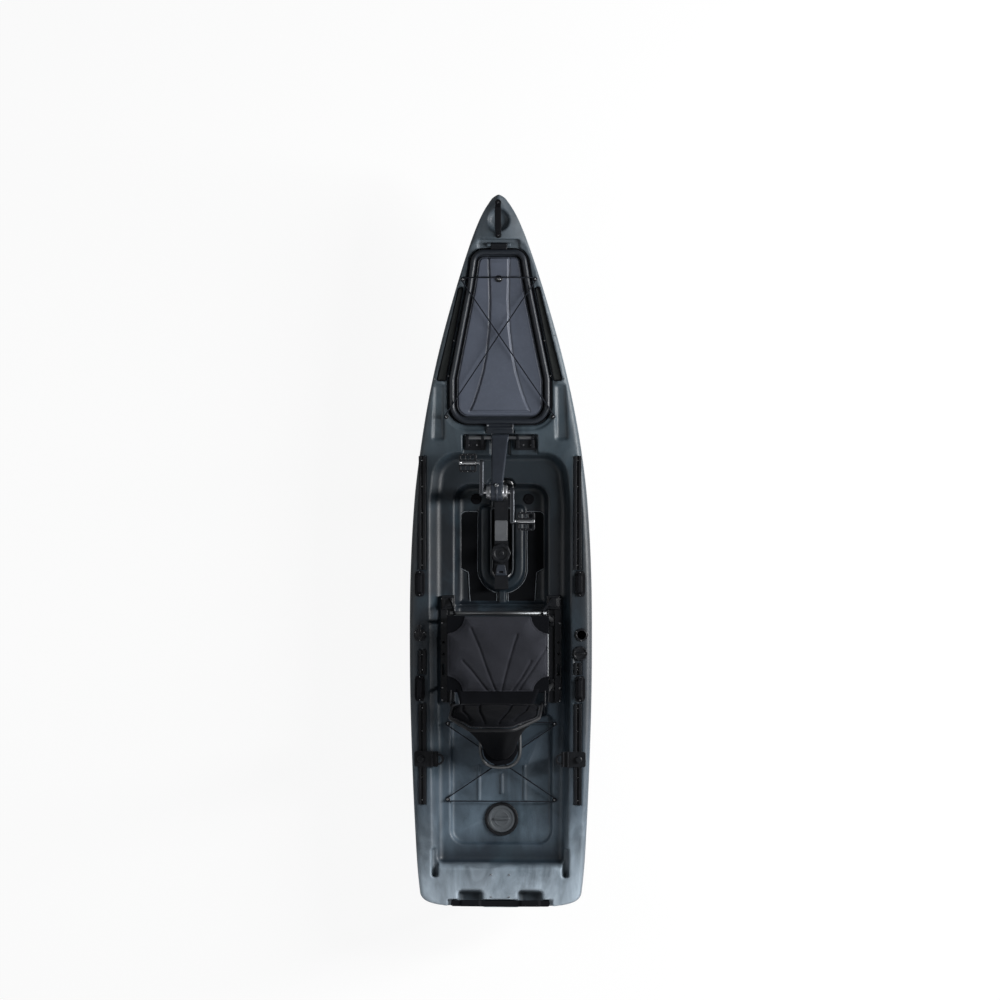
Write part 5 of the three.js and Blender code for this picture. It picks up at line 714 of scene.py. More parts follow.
# Its second shade is the lid's darker rim and tab, and painted shade in the gutter inside the rim
LID_PLASTIC = moulded_plastic("glossy_lid_plastic", grey(70, 75, 86), 0.4, 0.00015, 0.12, 0.3,
                              grey(26, 30, 36))
SEAT_TUBE = brushed_metal("dark_anodised_tube", (0.13, 0.135, 0.14), 0.36, (1, 6, 1))
BACK_TUBE = moulded_plastic("powder_coated_tube", grey(14, 15, 18), 0.5, shine=0.2)
PALE_EDGE = moulded_plastic("pale_mat_edge", grey(112, 118, 124), 0.7)
PIPING = woven_cloth("edge_piping", grey(27, 28, 31), 0.0012, 0.8)
NET_CLOTH = woven_cloth("pocket_mesh", grey(27, 29, 29), 0.0024, 0.85)
SHOCK_CORD = woven_cloth("braided_cord", grey(17, 20, 26), 0.0018, 0.8)

placed(hull, HULL_PLASTIC, "boat", "marbled_hull", "hull")

NODE_FINISH = {
    "marbled_hull": HULL_PLASTIC, "black_plastic": BLACK_PLASTIC, "grey_plastic": GREY_PLASTIC,
    "light_plate": PLATE_PLASTIC, "foam": FOAM, "rubber": RUBBER, "fabric": FABRIC, "cord": SHOCK_CORD,
    "aluminium": ALUMINIUM, "steel": STEEL,
}


def dress_nodes():
    """Carried-over nodes get their finish and softly rounded edges."""
    slots = {s["node"]: s["material_slot"] for s in frame["record"]["subparts"]}
    for name, node in nodes.items():
        if node.hide_render:
            continue
        for k in range(max(len(node.material_slots), 1)):
            if not node.material_slots:
                node.data.materials.append(None)
            node.material_slots[k].material = NODE_FINISH[slots[name]]
        weld = node.modifiers.new("weld", "WELD")
        weld.merge_threshold = 0.00002
        flat = node.modifiers.new("flat", "DECIMATE")
        flat.decimate_type = "DISSOLVE"
        flat.angle_limit = math.radians(1.5)
        edge = node.modifiers.new("edge", "BEVEL")
        edge.width = 0.0012
        edge.segments = 2
        edge.limit_method = "ANGLE"
        edge.angle_limit = math.radians(34)
        edge.use_clamp_overlap = True


# Bow hatch lid: a round rim, a gutter inside it, and a tray with a raised middle
LID_RIM, LID_TOP, LID_UNDER = 14.5, 23.6, -10.4
PANEL_HALF = (
    (1400, 170), (1447, 147), (1520, 122), (1626, 92), (1740, 70), (1865, 56), (2034, 51), (2275, 57))
TAB = {"half": 78, "rear": 1271.5, "front": 1352, "lip": 1304}


def make_lid():
    half_points = [(half, y) for y, half in PANEL_HALF]
    panel = rounded(half_points + [(-x, y) for x, y in reversed(half_points)], 2)

    def form(x, y, z):
        level = z - sheer(y)
        edge = plan_gap(LID_OUTLINE, x, y)
        middle = plan_gap(panel, x, y)
        tube = np.sqrt((edge + LID_RIM) ** 2 + (level - LID_TOP + LID_RIM) ** 2) - LID_RIM
        foot = soft_max(soft_max(edge + 4, -edge - 26, 3), np.maximum(LID_UNDER - level, level - 9), 3)
        gutter = 14 * (1 - smoothstep(-edge, 42, 54))
        raised = 8 * (1 - smoothstep(middle, -9, 1))
        crease = 4 * np.exp(-((middle - 3) / 4.5) ** 2)
        dish = 3 * (1 - smoothstep(-edge, 60, 150))
        top = -3 - gutter + raised - crease + dish
        tray = soft_max(soft_max(level - top, edge + 22, 4), -23 - level, 2)
        skirt = np.maximum(np.abs(edge + 43) - 3, np.maximum(LID_UNDER - 16 - level, level + 4))
        lid = soft_min(soft_min(tube, foot, 5), np.minimum(tray, skirt), 6)
        half, lip_y = TAB["half"], TAB["lip"]
        tab = block(x, y, level, (-half, TAB["rear"], 4), (half, TAB["front"], 14), 4)
        lip = block(x, y, level, (-half + 4, lip_y - 9, 4), (half - 4, lip_y + 5, 19), 5)
        groove = block(x, y, level, (-half + 10, lip_y + 6, 8), (half - 10, 1330, 30), 6)
        return soft_min(lid, soft_max(soft_min(tab, lip, 5), -groove, 4), 5)
    top = float(sheer(2330)) + LID_TOP
    lid = mould("hatch_lid", (-292, 1262, DEPTH - 32), (292, 2360, top + 3), cells(3.5, 2.6), form)
    thin_to(lid, 110000)
    # The rim and the tab are darker than the tray, and the same dark tone in the gutter inside the rim is
    # painted shade
    co = coordinates(lid.data) / MM
    inward = outline_distance(LID_OUTLINE, co[:, 0], co[:, 1])
    mark = lid.data.attributes.new("rim_share", "FLOAT", "POINT")
    mark.data.foreach_set("value", smoothstep(inward, -50, -42).astype(np.float32))
    return lid


placed(make_lid(), LID_PLASTIC, "bow_lid", "black_plastic", "bow_hatch_lid")


def make_lid_hinge():
    def form(x, y, z):
        level = z - sheer(y)
        knuckle = soft_max(np.sqrt((y - HINGE_Y) ** 2 + (level + 3) ** 2) - 11, np.abs(x) - 46, 3)
        arm = block(x, y, level, (-46, 2306, -9.5), (46, HINGE_Y, 4), 3)
        bore = np.sqrt((y - HINGE_Y) ** 2 + (z - sheer(HINGE_Y) + 3) ** 2) - 5.6
        return np.maximum(soft_min(knuckle, arm, 4), -bore)
    base = float(sheer(HINGE_Y))
    moulded("lid_hinge", (-48, 2304, base - 16), (48, 2358, base + 10), 1.6, form, 0.3,
            BLACK_PLASTIC, "bow_lid", "black_plastic")


def make_gasket():
    """A soft black lip that fills the groove round the lid."""
    def form(x, y, z):
        edge = plan_gap(LID_OUTLINE, x, y)
        level = z - sheer(y)
        body = np.maximum(np.maximum(edge + 4, -edge - 30), np.abs(level + 13.2) - 2.5)
        lip = np.sqrt((edge - 5) ** 2 + (level + 12.5) ** 2) - 4
        strip = np.maximum(np.abs(edge - 1) - 6, np.abs(level + 14.2) - 1.5)
        return soft_min(soft_min(body, strip, 2), lip, 2)
    moulded("hatch_seal", (-302, 1312, DEPTH - 17), (302, 2334, float(sheer(2334)) - 8), cells(4.0, 3.0),
            form, 0.4, RUBBER, "boat", "rubber", "hatch_gasket")


make_lid_hinge()
make_gasket()


def make_latch():
    centre_z = float(sheer(LATCH_Y)) + 8

    def ring(x, y, z):
        across = np.sqrt(x * x + (y - LATCH_Y) ** 2)
        eye = np.sqrt((across - 14) ** 2 + (z - centre_z) ** 2) - 6
        return soft_min(eye, drum(across, z, centre_z - 7, centre_z - 1, 19, 2), 2)
    moulded("latch_ring", (-22, LATCH_Y - 22, centre_z - 8), (22, LATCH_Y + 22, centre_z + 8), 1.2, ring,
            0.35, BLACK_PLASTIC, "bow_lid", "steel", "hatch_latch")

    def button(x, y, z):
        return drum(np.sqrt(x * x + (y - LATCH_Y) ** 2), z, centre_z - 2, centre_z + 5, 8.4, 3)
    moulded("latch_button", (-10, LATCH_Y - 10, centre_z - 3), (10, LATCH_Y + 10, centre_z + 6), 0.9,
            button, 0.4, STEEL, "bow_lid", "steel")


make_latch()


# Seat: smooth bent tubes, a padded sling, a folding back and a pouch in the hoop
def smooth_path(points, bends, steps=8):
    """A route whose inner corners are bent, all to about one radius."""
    route = [np.array(points[0], float)]
    for i in range(1, len(points) - 1):
        here = np.array(points[i], float)
        back, ahead = np.array(points[i - 1], float) - here, np.array(points[i + 1], float) - here
        room = min(np.linalg.norm(back), np.linalg.norm(ahead)) * 0.98
        back, ahead = back / np.linalg.norm(back), ahead / np.linalg.norm(ahead)
        angle = math.acos(max(-1, min(1, float(back @ ahead))))
        if math.pi - angle < 0.02 or not bends:
            route.append(here)
            continue
        reach = min(bends / math.tan(angle / 2), room)
        start, end = here + back * reach, here + ahead * reach
        for k in range(steps + 1):
            u = k / steps
            route.append(start * (1 - u) ** 2 + here * 2 * u * (1 - u) + end * u * u)
    return route + [np.array(points[-1], float)]


def tube_mesh(name, route, radius, sides=16, closed=False, flat=1.0):
    """A tube swept along a route with a steady frame, in millimetres."""
    route = [np.array(p, float) for p in route]
    count = len(route)
    ways = [route[(i + 1) % count] - route[i - 1] if closed or 0 < i < count - 1
            else (route[1] - route[0] if i == 0 else route[-1] - route[-2]) for i in range(count)]
    ways = [w / np.linalg.norm(w) for w in ways]
    across = np.cross(ways[0], (0, 0, 1.0))
    if np.linalg.norm(across) < 0.05:
        across = np.cross(ways[0], (0, 1.0, 0))
    points, faces = [], []
    for place, way in zip(route, ways):
        across = across - way * (across @ way)
        across /= np.linalg.norm(across)
        up = np.cross(across, way)
        for k in range(sides):
            turn = 2 * math.pi * k / sides
            points.append((place + (across * math.cos(turn) + up * math.sin(turn) * flat) * radius) * MM)
    rings = count if closed else count - 1
    for r in range(rings):
        for k in range(sides):
            a, b = r * sides + k, r * sides + (k + 1) % sides
            c, d = (a + sides) % (count * sides), (b + sides) % (count * sides)
            faces.append((a, b, d, c))
    if not closed:
        faces.append(tuple(range(sides))[::-1])
        faces.append(tuple(range((count - 1) * sides, count * sides)))
    thing = mesh_object(name, points, faces)
    if signed_volume(thing.data) < 0:
        thing.data.flip_normals()
    return thing


def joined(name, things):
    """Several pieces made one mesh."""
    points, faces, base = [], [], 0
    for thing in things:
        points += [tuple(v.co) for v in thing.data.vertices]
        faces += [tuple(i + base for i in p.vertices) for p in thing.data.polygons]
        base = len(points)
        bpy.data.objects.remove(thing)
    return mesh_object(name, points, faces)


SEAT = {"x": 276, "foot_x": 291, "z": 470, "front": 236, "rear": -192, "foot_front": 205, "foot_rear": -160,
        "tube": 12.5, "foot_z": 252}
HOOP = {"half": 113, "rear": -631, "z": 300, "knee_y": -330, "knee_z": 340, "bend": 104, "tube": 10}
PIVOT = (250, -264, 500)
LEAN = math.radians(17)


def lean_back(point):
    """A place on the upright back rest, leant back about its pivot."""
    x, y, z = point
    c, s = math.cos(LEAN), math.sin(LEAN)
    return (x, PIVOT[1] + y * c - z * s, PIVOT[2] + y * s + z * c)


def make_seat_frame():
    parts = []
    for side in (-1, 1):
        x, foot_x = side * SEAT["x"], side * SEAT["foot_x"]
        corners = [(foot_x, SEAT["foot_front"], SEAT["foot_z"]), (x, SEAT["front"], SEAT["z"]),
                   (x, SEAT["rear"], SEAT["z"]), (foot_x, SEAT["foot_rear"], SEAT["foot_z"])]
        parts.append(tube_mesh("side", smooth_path(corners, 42), SEAT["tube"], 20))
    for y, z in ((SEAT["front"] + 14, SEAT["z"] - 22), (SEAT["rear"] + 15, SEAT["z"] - 2)):
        parts.append(tube_mesh("cross", [(-SEAT["x"], y, z), (0, y, z), (SEAT["x"], y, z)], 11.5, 20))
    side = [(HOOP["half"], SEAT["rear"] + 15, SEAT["z"] - 2), (HOOP["half"], HOOP["knee_y"], HOOP["knee_z"]),
            (HOOP["half"], HOOP["rear"], HOOP["z"])]
    whole = side + [(-x, y, z) for x, y, z in reversed(side)]
    parts.append(tube_mesh("hoop", smooth_path(whole, HOOP["bend"], 12), HOOP["tube"], 18))
    return joined("seat_tubes", parts)


def make_seat_brackets():
    """Feet in the rails and ears that carry the back rest."""
    feet = []
    for side in (-1, 1):
        for y in (SEAT["foot_front"], SEAT["foot_rear"]):
            middle = side * SEAT["foot_x"]
            low, high = (middle - 14, y - 34, 241), (middle + 14, y + 34, 261)
            feet.append(mould("foot", low, high, 2.0, lambda px, py, pz: block(px, py, pz, low, high, 4)))
        low_x, high_x = sorted((side * 264, side * 273))

        def ear(px, py, pz):
            arm = capsule(0 * px, py, pz, (0, -180, 469), (0, PIVOT[1], PIVOT[2]), 11)
            eye = np.sqrt((py - PIVOT[1]) ** 2 + (pz - PIVOT[2]) ** 2) - 16
            sides = np.abs(px - (low_x + high_x) / 2) - (high_x - low_x) / 2
            return soft_max(soft_min(arm, eye, 6), sides, 2)
        feet.append(mould("ear", (low_x - 1, -284, 456), (high_x + 1, -166, 518), 2.0, ear))
        ends = sorted((side * 238, side * 277))

        def pin(px, py, pz):
            across = np.sqrt((py - PIVOT[1]) ** 2 + (pz - PIVOT[2]) ** 2)
            return drum(across, px, ends[0], ends[1], 6, 1.5)
        feet.append(mould("pin", (ends[0], -272, 492), (ends[1], -256, 508), 1.6, pin))
    return joined("seat_brackets", feet)


placed(make_seat_frame(), SEAT_TUBE, "seat", "aluminium", "seat_frame")
placed(make_seat_brackets(), BLACK_PLASTIC, "seat", "aluminium")


def make_back_frame():
    corners = [(250, 0, -16), (250, 0, 240), (120, 0, 440), (-120, 0, 440), (-250, 0, 240), (-250, 0, -16)]
    hoop = tube_mesh("hoop", [lean_back(p) for p in smooth_path(corners, 60)], 11, 18)
    brace = tube_mesh("brace", [lean_back((x, 0, 70)) for x in (-250, 0, 250)], 10, 16)
    return joined("back_tubes", [hoop, brace])


placed(make_back_frame(), BACK_TUBE, "back", "aluminium", "back_frame")


# Padded pieces: a sewn cover is blown up by a short cloth run, held along its seams
def puff(thing, held, pressure, cap, steps=20):
    """Blow a cover up. held gives each point's hold, 1 on a seam, and no point moves further than cap."""
    start = coordinates(thing.data).copy()
    group = thing.vertex_groups.new(name="held")
    for i, hold in enumerate(held(start / MM)):
        if hold > 0.01:
            group.add([i], float(min(hold, 1)), "REPLACE")
    cloth = thing.modifiers.new("cover", "CLOTH")
    cover = cloth.settings
    cover.quality = 4
    cover.mass = 0.25
    cover.use_pressure = True
    cover.uniform_pressure_force = pressure
    cover.tension_stiffness = cover.compression_stiffness = 12
    cover.shear_stiffness = 4
    cover.bending_stiffness = 0.4
    cover.effector_weights.gravity = 0
    cover.vertex_group_mass = "held"
    cover.pin_stiffness = 1
    cloth.collision_settings.use_collision = False
    scene = bpy.context.scene
    scene.frame_start, scene.frame_end = 1, steps
    for frame_now in range(1, steps + 1):
        scene.frame_set(frame_now)
    blown = thing.evaluated_get(bpy.context.evaluated_depsgraph_get()).to_mesh()
    end = coordinates(blown).copy()
    thing.modifiers.clear()
    scene.frame_set(1)
    thing.vertex_groups.clear()
    move = end - start
    far = np.linalg.norm(move, axis=1, keepdims=True)
    move *= np.minimum(1, cap * MM / np.maximum(far, 1e-9))
    thing.data.vertices.foreach_set("co", (start + move).ravel())
    thing.data.update()
    return thing


def finer(thing, levels=1):
    step = thing.modifiers.new("finer", "SUBSURF")
    step.levels = step.render_levels = levels
    bake(thing)
    thing.data.shade_smooth()
    return thing


def reshape(thing, move):
    """Move every point by a rule on millimetres."""
    co = coordinates(thing.data) / MM
    thing.data.vertices.foreach_set("co", (move(co) * MM).astype(np.float32).ravel())
    thing.data.update()
    return thing


def line_gap(points, x, y):
    """Distance from the nearest of some lines, each a list of places."""
    near = np.full(np.broadcast(x, y).shape, 1e9)
    for line in points:
        for (ax, ay), (bx, by) in zip(line, line[1:]):
            dx, dy = bx - ax, by - ay
            along = np.clip(((x - ax) * dx + (y - ay) * dy) / (dx * dx + dy * dy), 0, 1)
            near = np.minimum(near, np.hypot(x - ax - along * dx, y - ay - along * dy))
    return near


def sewn_hold(level, base, seams, rim):
    """How firmly each point is held: fully near the base, along the seams and at the rim."""
    sewn = np.maximum(np.clip(1.4 - seams / 6, 0, 1), np.clip(1 + rim / 9, 0, 1))
    return np.where(level < base + 5, 1.0, sewn)


PAN_LOW, PAN_EDGE, PAN_CROWN = 482.8, 15, 24
PAN_OUTLINE = []
for corner_x, corner_y, begin in ((291, 238, 180), (291, -198, 90), (-291, -198, 0), (-291, 238, 270)):
    radius = 96 if corner_y > 0 else 86
    turns = [math.radians(begin + 90 * k / 10) for k in range(11)]
    PAN_OUTLINE += [(corner_x + radius * math.cos(t), corner_y + radius * math.sin(t)) for t in turns]
PAN_SEAMS = [
    [(-12, -190), (-62, -60), (-100, 50), (-150, 165)],
    [(22, -190), (60, -40), (92, 70), (112, 130)],
    [(-58, -190), (-140, -82), (-196, -20)],
    [(120, -182), (190, -80), (276, 56)],
    [(80, -190), (140, -110), (190, -20)],
]


def make_pan():
    def form(x, y, z):
        edge = plan_gap(PAN_OUTLINE, x, y)
        crown = PAN_CROWN * (1 - 0.35 * (x / 290) ** 2) * (1 - 0.35 * ((y - 26) / 226) ** 2)
        top = PAN_LOW + PAN_EDGE * 0.7 + crown * smoothstep(-edge, 0, 60)
        return soft_max(soft_max(edge + 3, z - top, 10), PAN_LOW + 0.5 - z, 5)
    cover = mould("seat_cushion", (-292, -200, PAN_LOW), (292, 242, 532), cells(7.0, 5.0), form)

    def held(co):
        seams = line_gap(PAN_SEAMS, co[:, 0], co[:, 1])
        rim = outline_distance(PAN_OUTLINE, co[:, 0], co[:, 1])
        return sewn_hold(co[:, 2], PAN_LOW, seams, rim)
    puff(cover, held, 5, 9)
    finer(cover)

    def sewn(co):
        seams = line_gap(PAN_SEAMS, co[:, 0], co[:, 1])
        rim = np.abs(outline_distance(PAN_OUTLINE, co[:, 0], co[:, 1]) + 14)
        up = smoothstep(co[:, 2], PAN_LOW + 6, PAN_LOW + 14)
        sink = 5.5 * np.exp(-(seams / 7) ** 2) + 2.5 * np.exp(-(rim / 4) ** 2)
        wave = 1.6 * np.sin(co[:, 0] / 31 + 1.3 * np.sin(co[:, 1] / 47)) * np.sin(co[:, 1] / 39 + 0.8)
        co = co.copy()
        co[:, 2] = np.maximum(co[:, 2] + up * (wave - sink), PAN_LOW)
        co[:, 2] = np.minimum(co[:, 2], 536)
        return co
    reshape(cover, sewn)
    placed(cover, FABRIC, "seat", "fabric", "seat_pan")

    # Dark corner webs between the cushion and the tubes
    webs = []
    for side in (-1, 1):
        for y, radius, toward in ((238, 104, -1), (-198, 94, 1)):
            def web(px, py, pz):
                across = np.sqrt((px - side * 291) ** 2 + (py - y) ** 2) - radius
                quarter = np.maximum(np.maximum((px - side * 291) * side, (y - py) * toward), across)
                sag = 485 - 7 * np.clip(-across / radius, 0, 1)
                return soft_max(quarter, np.abs(pz - sag) - 1.6, 2)
            xs, ys = sorted((side * 291, side * (291 - radius))), sorted((y, y + toward * radius))
            webs.append(mould("web", (xs[0] - 2, ys[0] - 2, 474), (xs[1] + 2, ys[1] + 2, 489), 2.2, web))
    placed(thin(joined("corner_webs", webs), 0.4), DARK_FABRIC, "seat", "fabric")


make_pan()

BACK = {"high": 452, "half": 246, "top_half": 124, "shoulder": 250, "front": 11.3, "crown": 32}
BACK_SEAMS = [
    [(-96, 70), (-82, 250), (-40, 420)], [(96, 70), (82, 250), (40, 420)],
    [(-190, 80), (-176, 240), (-120, 380)], [(190, 80), (176, 240), (120, 380)],
    [(-240, 150), (0, 132), (240, 150)]]


def back_half(z):
    return np.where(z < BACK["shoulder"], BACK["half"],
                    lerp(BACK["half"], BACK["top_half"], smoothstep(z, BACK["shoulder"], BACK["high"])))


BACK_OUTLINE = ([(float(back_half(z)), z) for z in range(86, 436, 14)] + [(112, 444), (60, 451), (0, 452)])
BACK_OUTLINE = [(214, 64), (236, 72)] + BACK_OUTLINE
BACK_OUTLINE += [(-x, z) for x, z in reversed(BACK_OUTLINE) if x > 0]


def make_back_pad():
    def form(x, y, z):
        edge = outline_distance(BACK_OUTLINE, x[:, 0, :], z[:, 0, :])[:, None, :]
        crown = BACK["crown"] * (1 - 0.4 * (x / 246) ** 2) * (1 - 0.4 * ((z - 257) / 195) ** 2)
        top = BACK["front"] + 8 + crown * smoothstep(-edge, 0, 50)
        return soft_max(soft_max(edge + 3, y - top, 10), BACK["front"] + 0.5 - y, 6)
    cover = mould("back_cushion", (-248, BACK["front"], 60), (248, 58, 454), cells(7.0, 5.0), form)

    def held(co):
        seams = line_gap(BACK_SEAMS, co[:, 0], co[:, 2])
        rim = outline_distance(BACK_OUTLINE, co[:, 0], co[:, 2])
        return sewn_hold(co[:, 1], BACK["front"], seams, rim)
    puff(cover, held, 5, 8)
    finer(cover)

    def sewn(co):
        seams = line_gap(BACK_SEAMS, co[:, 0], co[:, 2])
        rim = np.abs(outline_distance(BACK_OUTLINE, co[:, 0], co[:, 2]) + 13)
        up = smoothstep(co[:, 1], BACK["front"] + 5, BACK["front"] + 12)
        sink = 6 * np.exp(-(seams / 7) ** 2) + 2.5 * np.exp(-(rim / 4) ** 2)
        wave = 1.5 * np.sin(co[:, 0] / 29 + 1.1 * np.sin(co[:, 2] / 37)) * np.sin(co[:, 2] / 33)
        co = co.copy()
        co[:, 1] = np.clip(co[:, 1] + up * (wave - sink), BACK["front"], 60)
        return np.stack(lean_back((co[:, 0], co[:, 1], co[:, 2])), axis=1)
    reshape(cover, sewn)
    placed(cover, DARK_FABRIC, "back", "fabric", "back_pad")

    rim = [lean_back((x, BACK["front"] + 9, z)) for x, z in BACK_OUTLINE]
    piping = tube_mesh("back_piping", rim, 3.2, 8, closed=True)
    placed(piping, PIPING, "back", "fabric")


make_back_pad()


def make_pouch():
    outline = rounded([(102, -410, 30), (102, -620, 94), (-102, -620, 94), (-102, -410, 30)], 10)

    def form(x, y, z):
        edge = plan_gap(outline, x, y)
        belly = 12 * smoothstep(-edge, 0, 60)
        top = 326 - 16 * smoothstep(-edge, 4, 70)
        return soft_max(soft_max(edge + 2, z - top, 10), 286 - belly - z, 16)
    bag = mould("pouch_bag", (-104, -622, 268), (104, -408, 338), cells(6.0, 4.5), form)

    def held(co):
        edge = outline_distance(outline, co[:, 0], co[:, 1])
        return np.where((co[:, 2] > 308) & (edge > -14), 1.0, 0.0)
    puff(bag, held, 3, 6)
    finer(bag)

    def creased(co):
        co = co.copy()
        turn = np.arctan2(co[:, 0], co[:, 1] + 500)
        fold = 2.2 * np.sin(turn * 9 + 0.7 * np.sin(co[:, 2] / 9)) * smoothstep(330 - co[:, 2], 0, 30)
        gap = outline_distance(outline, co[:, 0], co[:, 1])
        co[:, 0] -= fold * np.sin(turn) * smoothstep(gap, -30, -8)
        co[:, 1] -= fold * np.cos(turn) * smoothstep(gap, -30, -8)
        co[:, 2] = np.clip(co[:, 2] + 1.8 * np.sin(co[:, 0] / 17) * np.sin(co[:, 1] / 21), 269, 338)
        return co
    reshape(bag, creased)
    placed(bag, DARK_FABRIC, "seat", "fabric", "rear_pouch")


make_pouch()


def stretched_cloth(name, rows, columns, place, wall, offset=-1.0, flipped=False):
    """A cloth with points at place(share along, share across), and its area."""
    shares = [(r / rows, c / columns) for r in range(rows + 1) for c in range(columns + 1)]
    points = [[v * MM for v in place(*share)] for share in shares]
    width = columns + 1
    faces = [(r * width + c, r * width + c + 1, (r + 1) * width + c + 1, (r + 1) * width + c)
             for r in range(rows) for c in range(columns)]
    cloth = mesh_object(name, points, [f[::-1] for f in faces] if flipped else faces)
    area = sum(p.area for p in cloth.data.polygons)
    thick = cloth.modifiers.new("wall", "SOLIDIFY")
    thick.thickness, thick.offset = wall, offset
    bake(cloth)
    cloth.data.shade_smooth()
    return cloth, area


def make_back_panel():
    """Cloth behind the back rest that narrows down into the hoop."""
    def place(share, u):
        across, bulge = u * 2 - 1, math.sin(math.pi * share)
        top = lean_back((across * 205, -13.5, 338 + 78 * (1 - across * across) - 16 * abs(across)))
        low = (across * 98, -470 - 118 * math.sqrt(max(0, 1 - across * across)), 342)
        sag = 26 * bulge * (1 - 0.4 * across * across)
        ripple = 3.0 * math.sin(across * 11 + share * 3) * bulge
        return (lerp(top[0], low[0], share) * (1 - 0.1 * bulge), lerp(top[1], low[1], share) + ripple,
                lerp(top[2], low[2], share ** 0.8) - sag + ripple)
    cloth, area = stretched_cloth("back_panel", 22, 30, place, 0.0016)
    cloth.data.materials.append(DARK_FABRIC)
    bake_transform(cloth)


make_back_panel()


# Lower back cloth: a dark band laced between the cushion's rear tube and the back rest's brace
def make_low_band():
    brace = lean_back((0, 0, 70))

    def place(share, u):
        across = u * 2 - 1
        z = lerp(483, brace[2] + 2, share) - 20 * math.sin(math.pi * share) * (1 - 0.35 * across * across)
        return (across * lerp(236, 206, share), lerp(-178, brace[1] + 11, share),
                z + 1.5 * math.sin(across * 9))
    cloth, area = stretched_cloth("low_band", 10, 24, place, 0.0016)
    cloth.data.materials.append(DARK_FABRIC)
    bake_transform(cloth)


make_low_band()


# Front clamps of the seat, and the straps that pull them tight
def make_seat_clamps():
    clamps, straps = [], []
    for side in (-1, 1):
        low, high = sorted((side * 262, side * 338))

        def clamp(x, y, z):
            foot = block(x, y, z, (low, 270, 268.2), (high, 350, 284), 6)
            return soft_min(foot, block(x, y, z, (low + 12, 284, 270), (high - 12, 336, 294), 5), 4)
        clamps.append(mould("clamp", (low, 268, 268), (high, 352, 296), 2.2, clamp))
    placed(thin(joined("seat_clamps", clamps), 0.3), BLACK_PLASTIC, "seat", "black_plastic")
    for side in (-1, 1):
        x = side * 254
        route = [(x, 244, 462), (x, 262, 440), (side * 276, 300, 330), (side * 292, 326, 292)]
        straps.append(tube_mesh("strap", smooth_path(route, 18), 4.2, 10, flat=2.6))
    placed(joined("seat_straps", straps), DARK_FABRIC, "seat", "fabric")


make_seat_clamps()


# Foam floor pads with a pale bevelled edge
PAD_TURNS = np.linspace(math.pi / 2, math.asin(27 / 138), 12)
PAD_OUTLINE = [(138 * math.sin(t), TUNNEL_TURN - 138 * math.cos(t)) for t in PAD_TURNS] + rounded([
    (27, 306, 8), (191, 306, 14), (201, 476, 6), (248, 500, 12), (248, 834, 40), (138, 834, 14)], 5)


def make_pads():
    def form(x, y, z):
        return soft_max(plan_gap(PAD_OUTLINE, x, y) + 1, np.abs(z - 152.6) - 2.5, 2)
    right = mould("foot_mat_right", (24, 303, 150), (250, 836, 155.3), cells(2.4, 1.8), form)
    thin(right, 0.3)
    line = [(x, y, 155.2) for x, y in rounded([(*p, 0) for p in inset(PAD_OUTLINE, 5)], 1)]
    trim = tube_mesh("mat_edge_right", line, 1.9, 6, closed=True)
    for side, mat, edge in (("right", right, trim), ("left", mirror_copy(right, "foot_mat_left"),
                                                     mirror_copy(trim, "mat_edge_left"))):
        placed(mat, FOAM, "boat", "foam", "foot_pad_" + side)
        placed(edge, PALE_EDGE, "boat", "foam")


def inset(points, by):
    """An outline drawn in by a distance along its corners' normals."""
    made = []
    turn = sum(a[0] * b[1] - b[0] * a[1] for a, b in zip(points, points[1:] + points[:1]))
    for i, here in enumerate(points):
        here = np.array(here[:2], float)
        back, ahead = np.array(points[i - 1][:2], float), np.array(points[(i + 1) % len(points)][:2], float)
        way = ahead - back
        way /= max(np.linalg.norm(way), 1e-9)
        normal = np.array((-way[1], way[0])) * (1 if turn > 0 else -1)
        made.append(tuple(here + normal * by))
    return made


make_pads()


def make_net(word, side):
    def place(share, u):
        y = lerp(1578, 2098, share)
        x = lerp(lerp(310, 208, share), lerp(357, 228, share), u)
        sag = 5 * math.sin(math.pi * u) * (0.6 + 0.4 * math.sin(math.pi * share))
        ripple = 0.7 * math.sin(share * 40 + u * 5)
        return side * x, y, float(sheer(y)) - 1.6 - sag + ripple
    cloth, area = stretched_cloth("net_cloth_" + word, 60, 8, place, 0.0012, 0, side < 0)
    placed(cloth, NET_CLOTH, "boat", "fabric", "side_net_" + word)
    loop = dense_loop(rounded([(308, 1574, 9), (358, 1574, 9), (230, 2100, 9), (206, 2100, 9)], 4), 30)
    route = [(side * x, y, float(sheer(y)) - 0.6) for x, y in loop]
    hem = tube_mesh("net_hem_" + word, route, 3.2, 8, closed=True)
    placed(hem, DARK_FABRIC, "boat", "fabric")


def dense_loop(points, step):
    made = []
    for a, b in zip(points, points[1:] + points[:1]):
        count = max(1, int(math.dist(a, b) / step))
        made += [tuple(lerp(p, q, k / count) for p, q in zip(a, b)) for k in range(count)]
    return made


for net in SIDES:
    make_net(*net)


# Shock cords over the deck posts
CORD = {"radius": 3.6, "wrap": 8.8, "lift": 9, "over": 29, "cross": 37, "edge_in": 26, "tail": 12}
BOW_POSTS, TANK_POSTS = ((206, 2149), (306, 1368)), ((306, -385), (306, -819))


def wrap_round(post, start, end, z, steps=4):
    turns = [math.radians(lerp(start, end, k / steps)) for k in range(steps + 1)]
    return [(post[0] + CORD["wrap"] * math.cos(t), post[1] + CORD["wrap"] * math.sin(t), z) for t in turns]


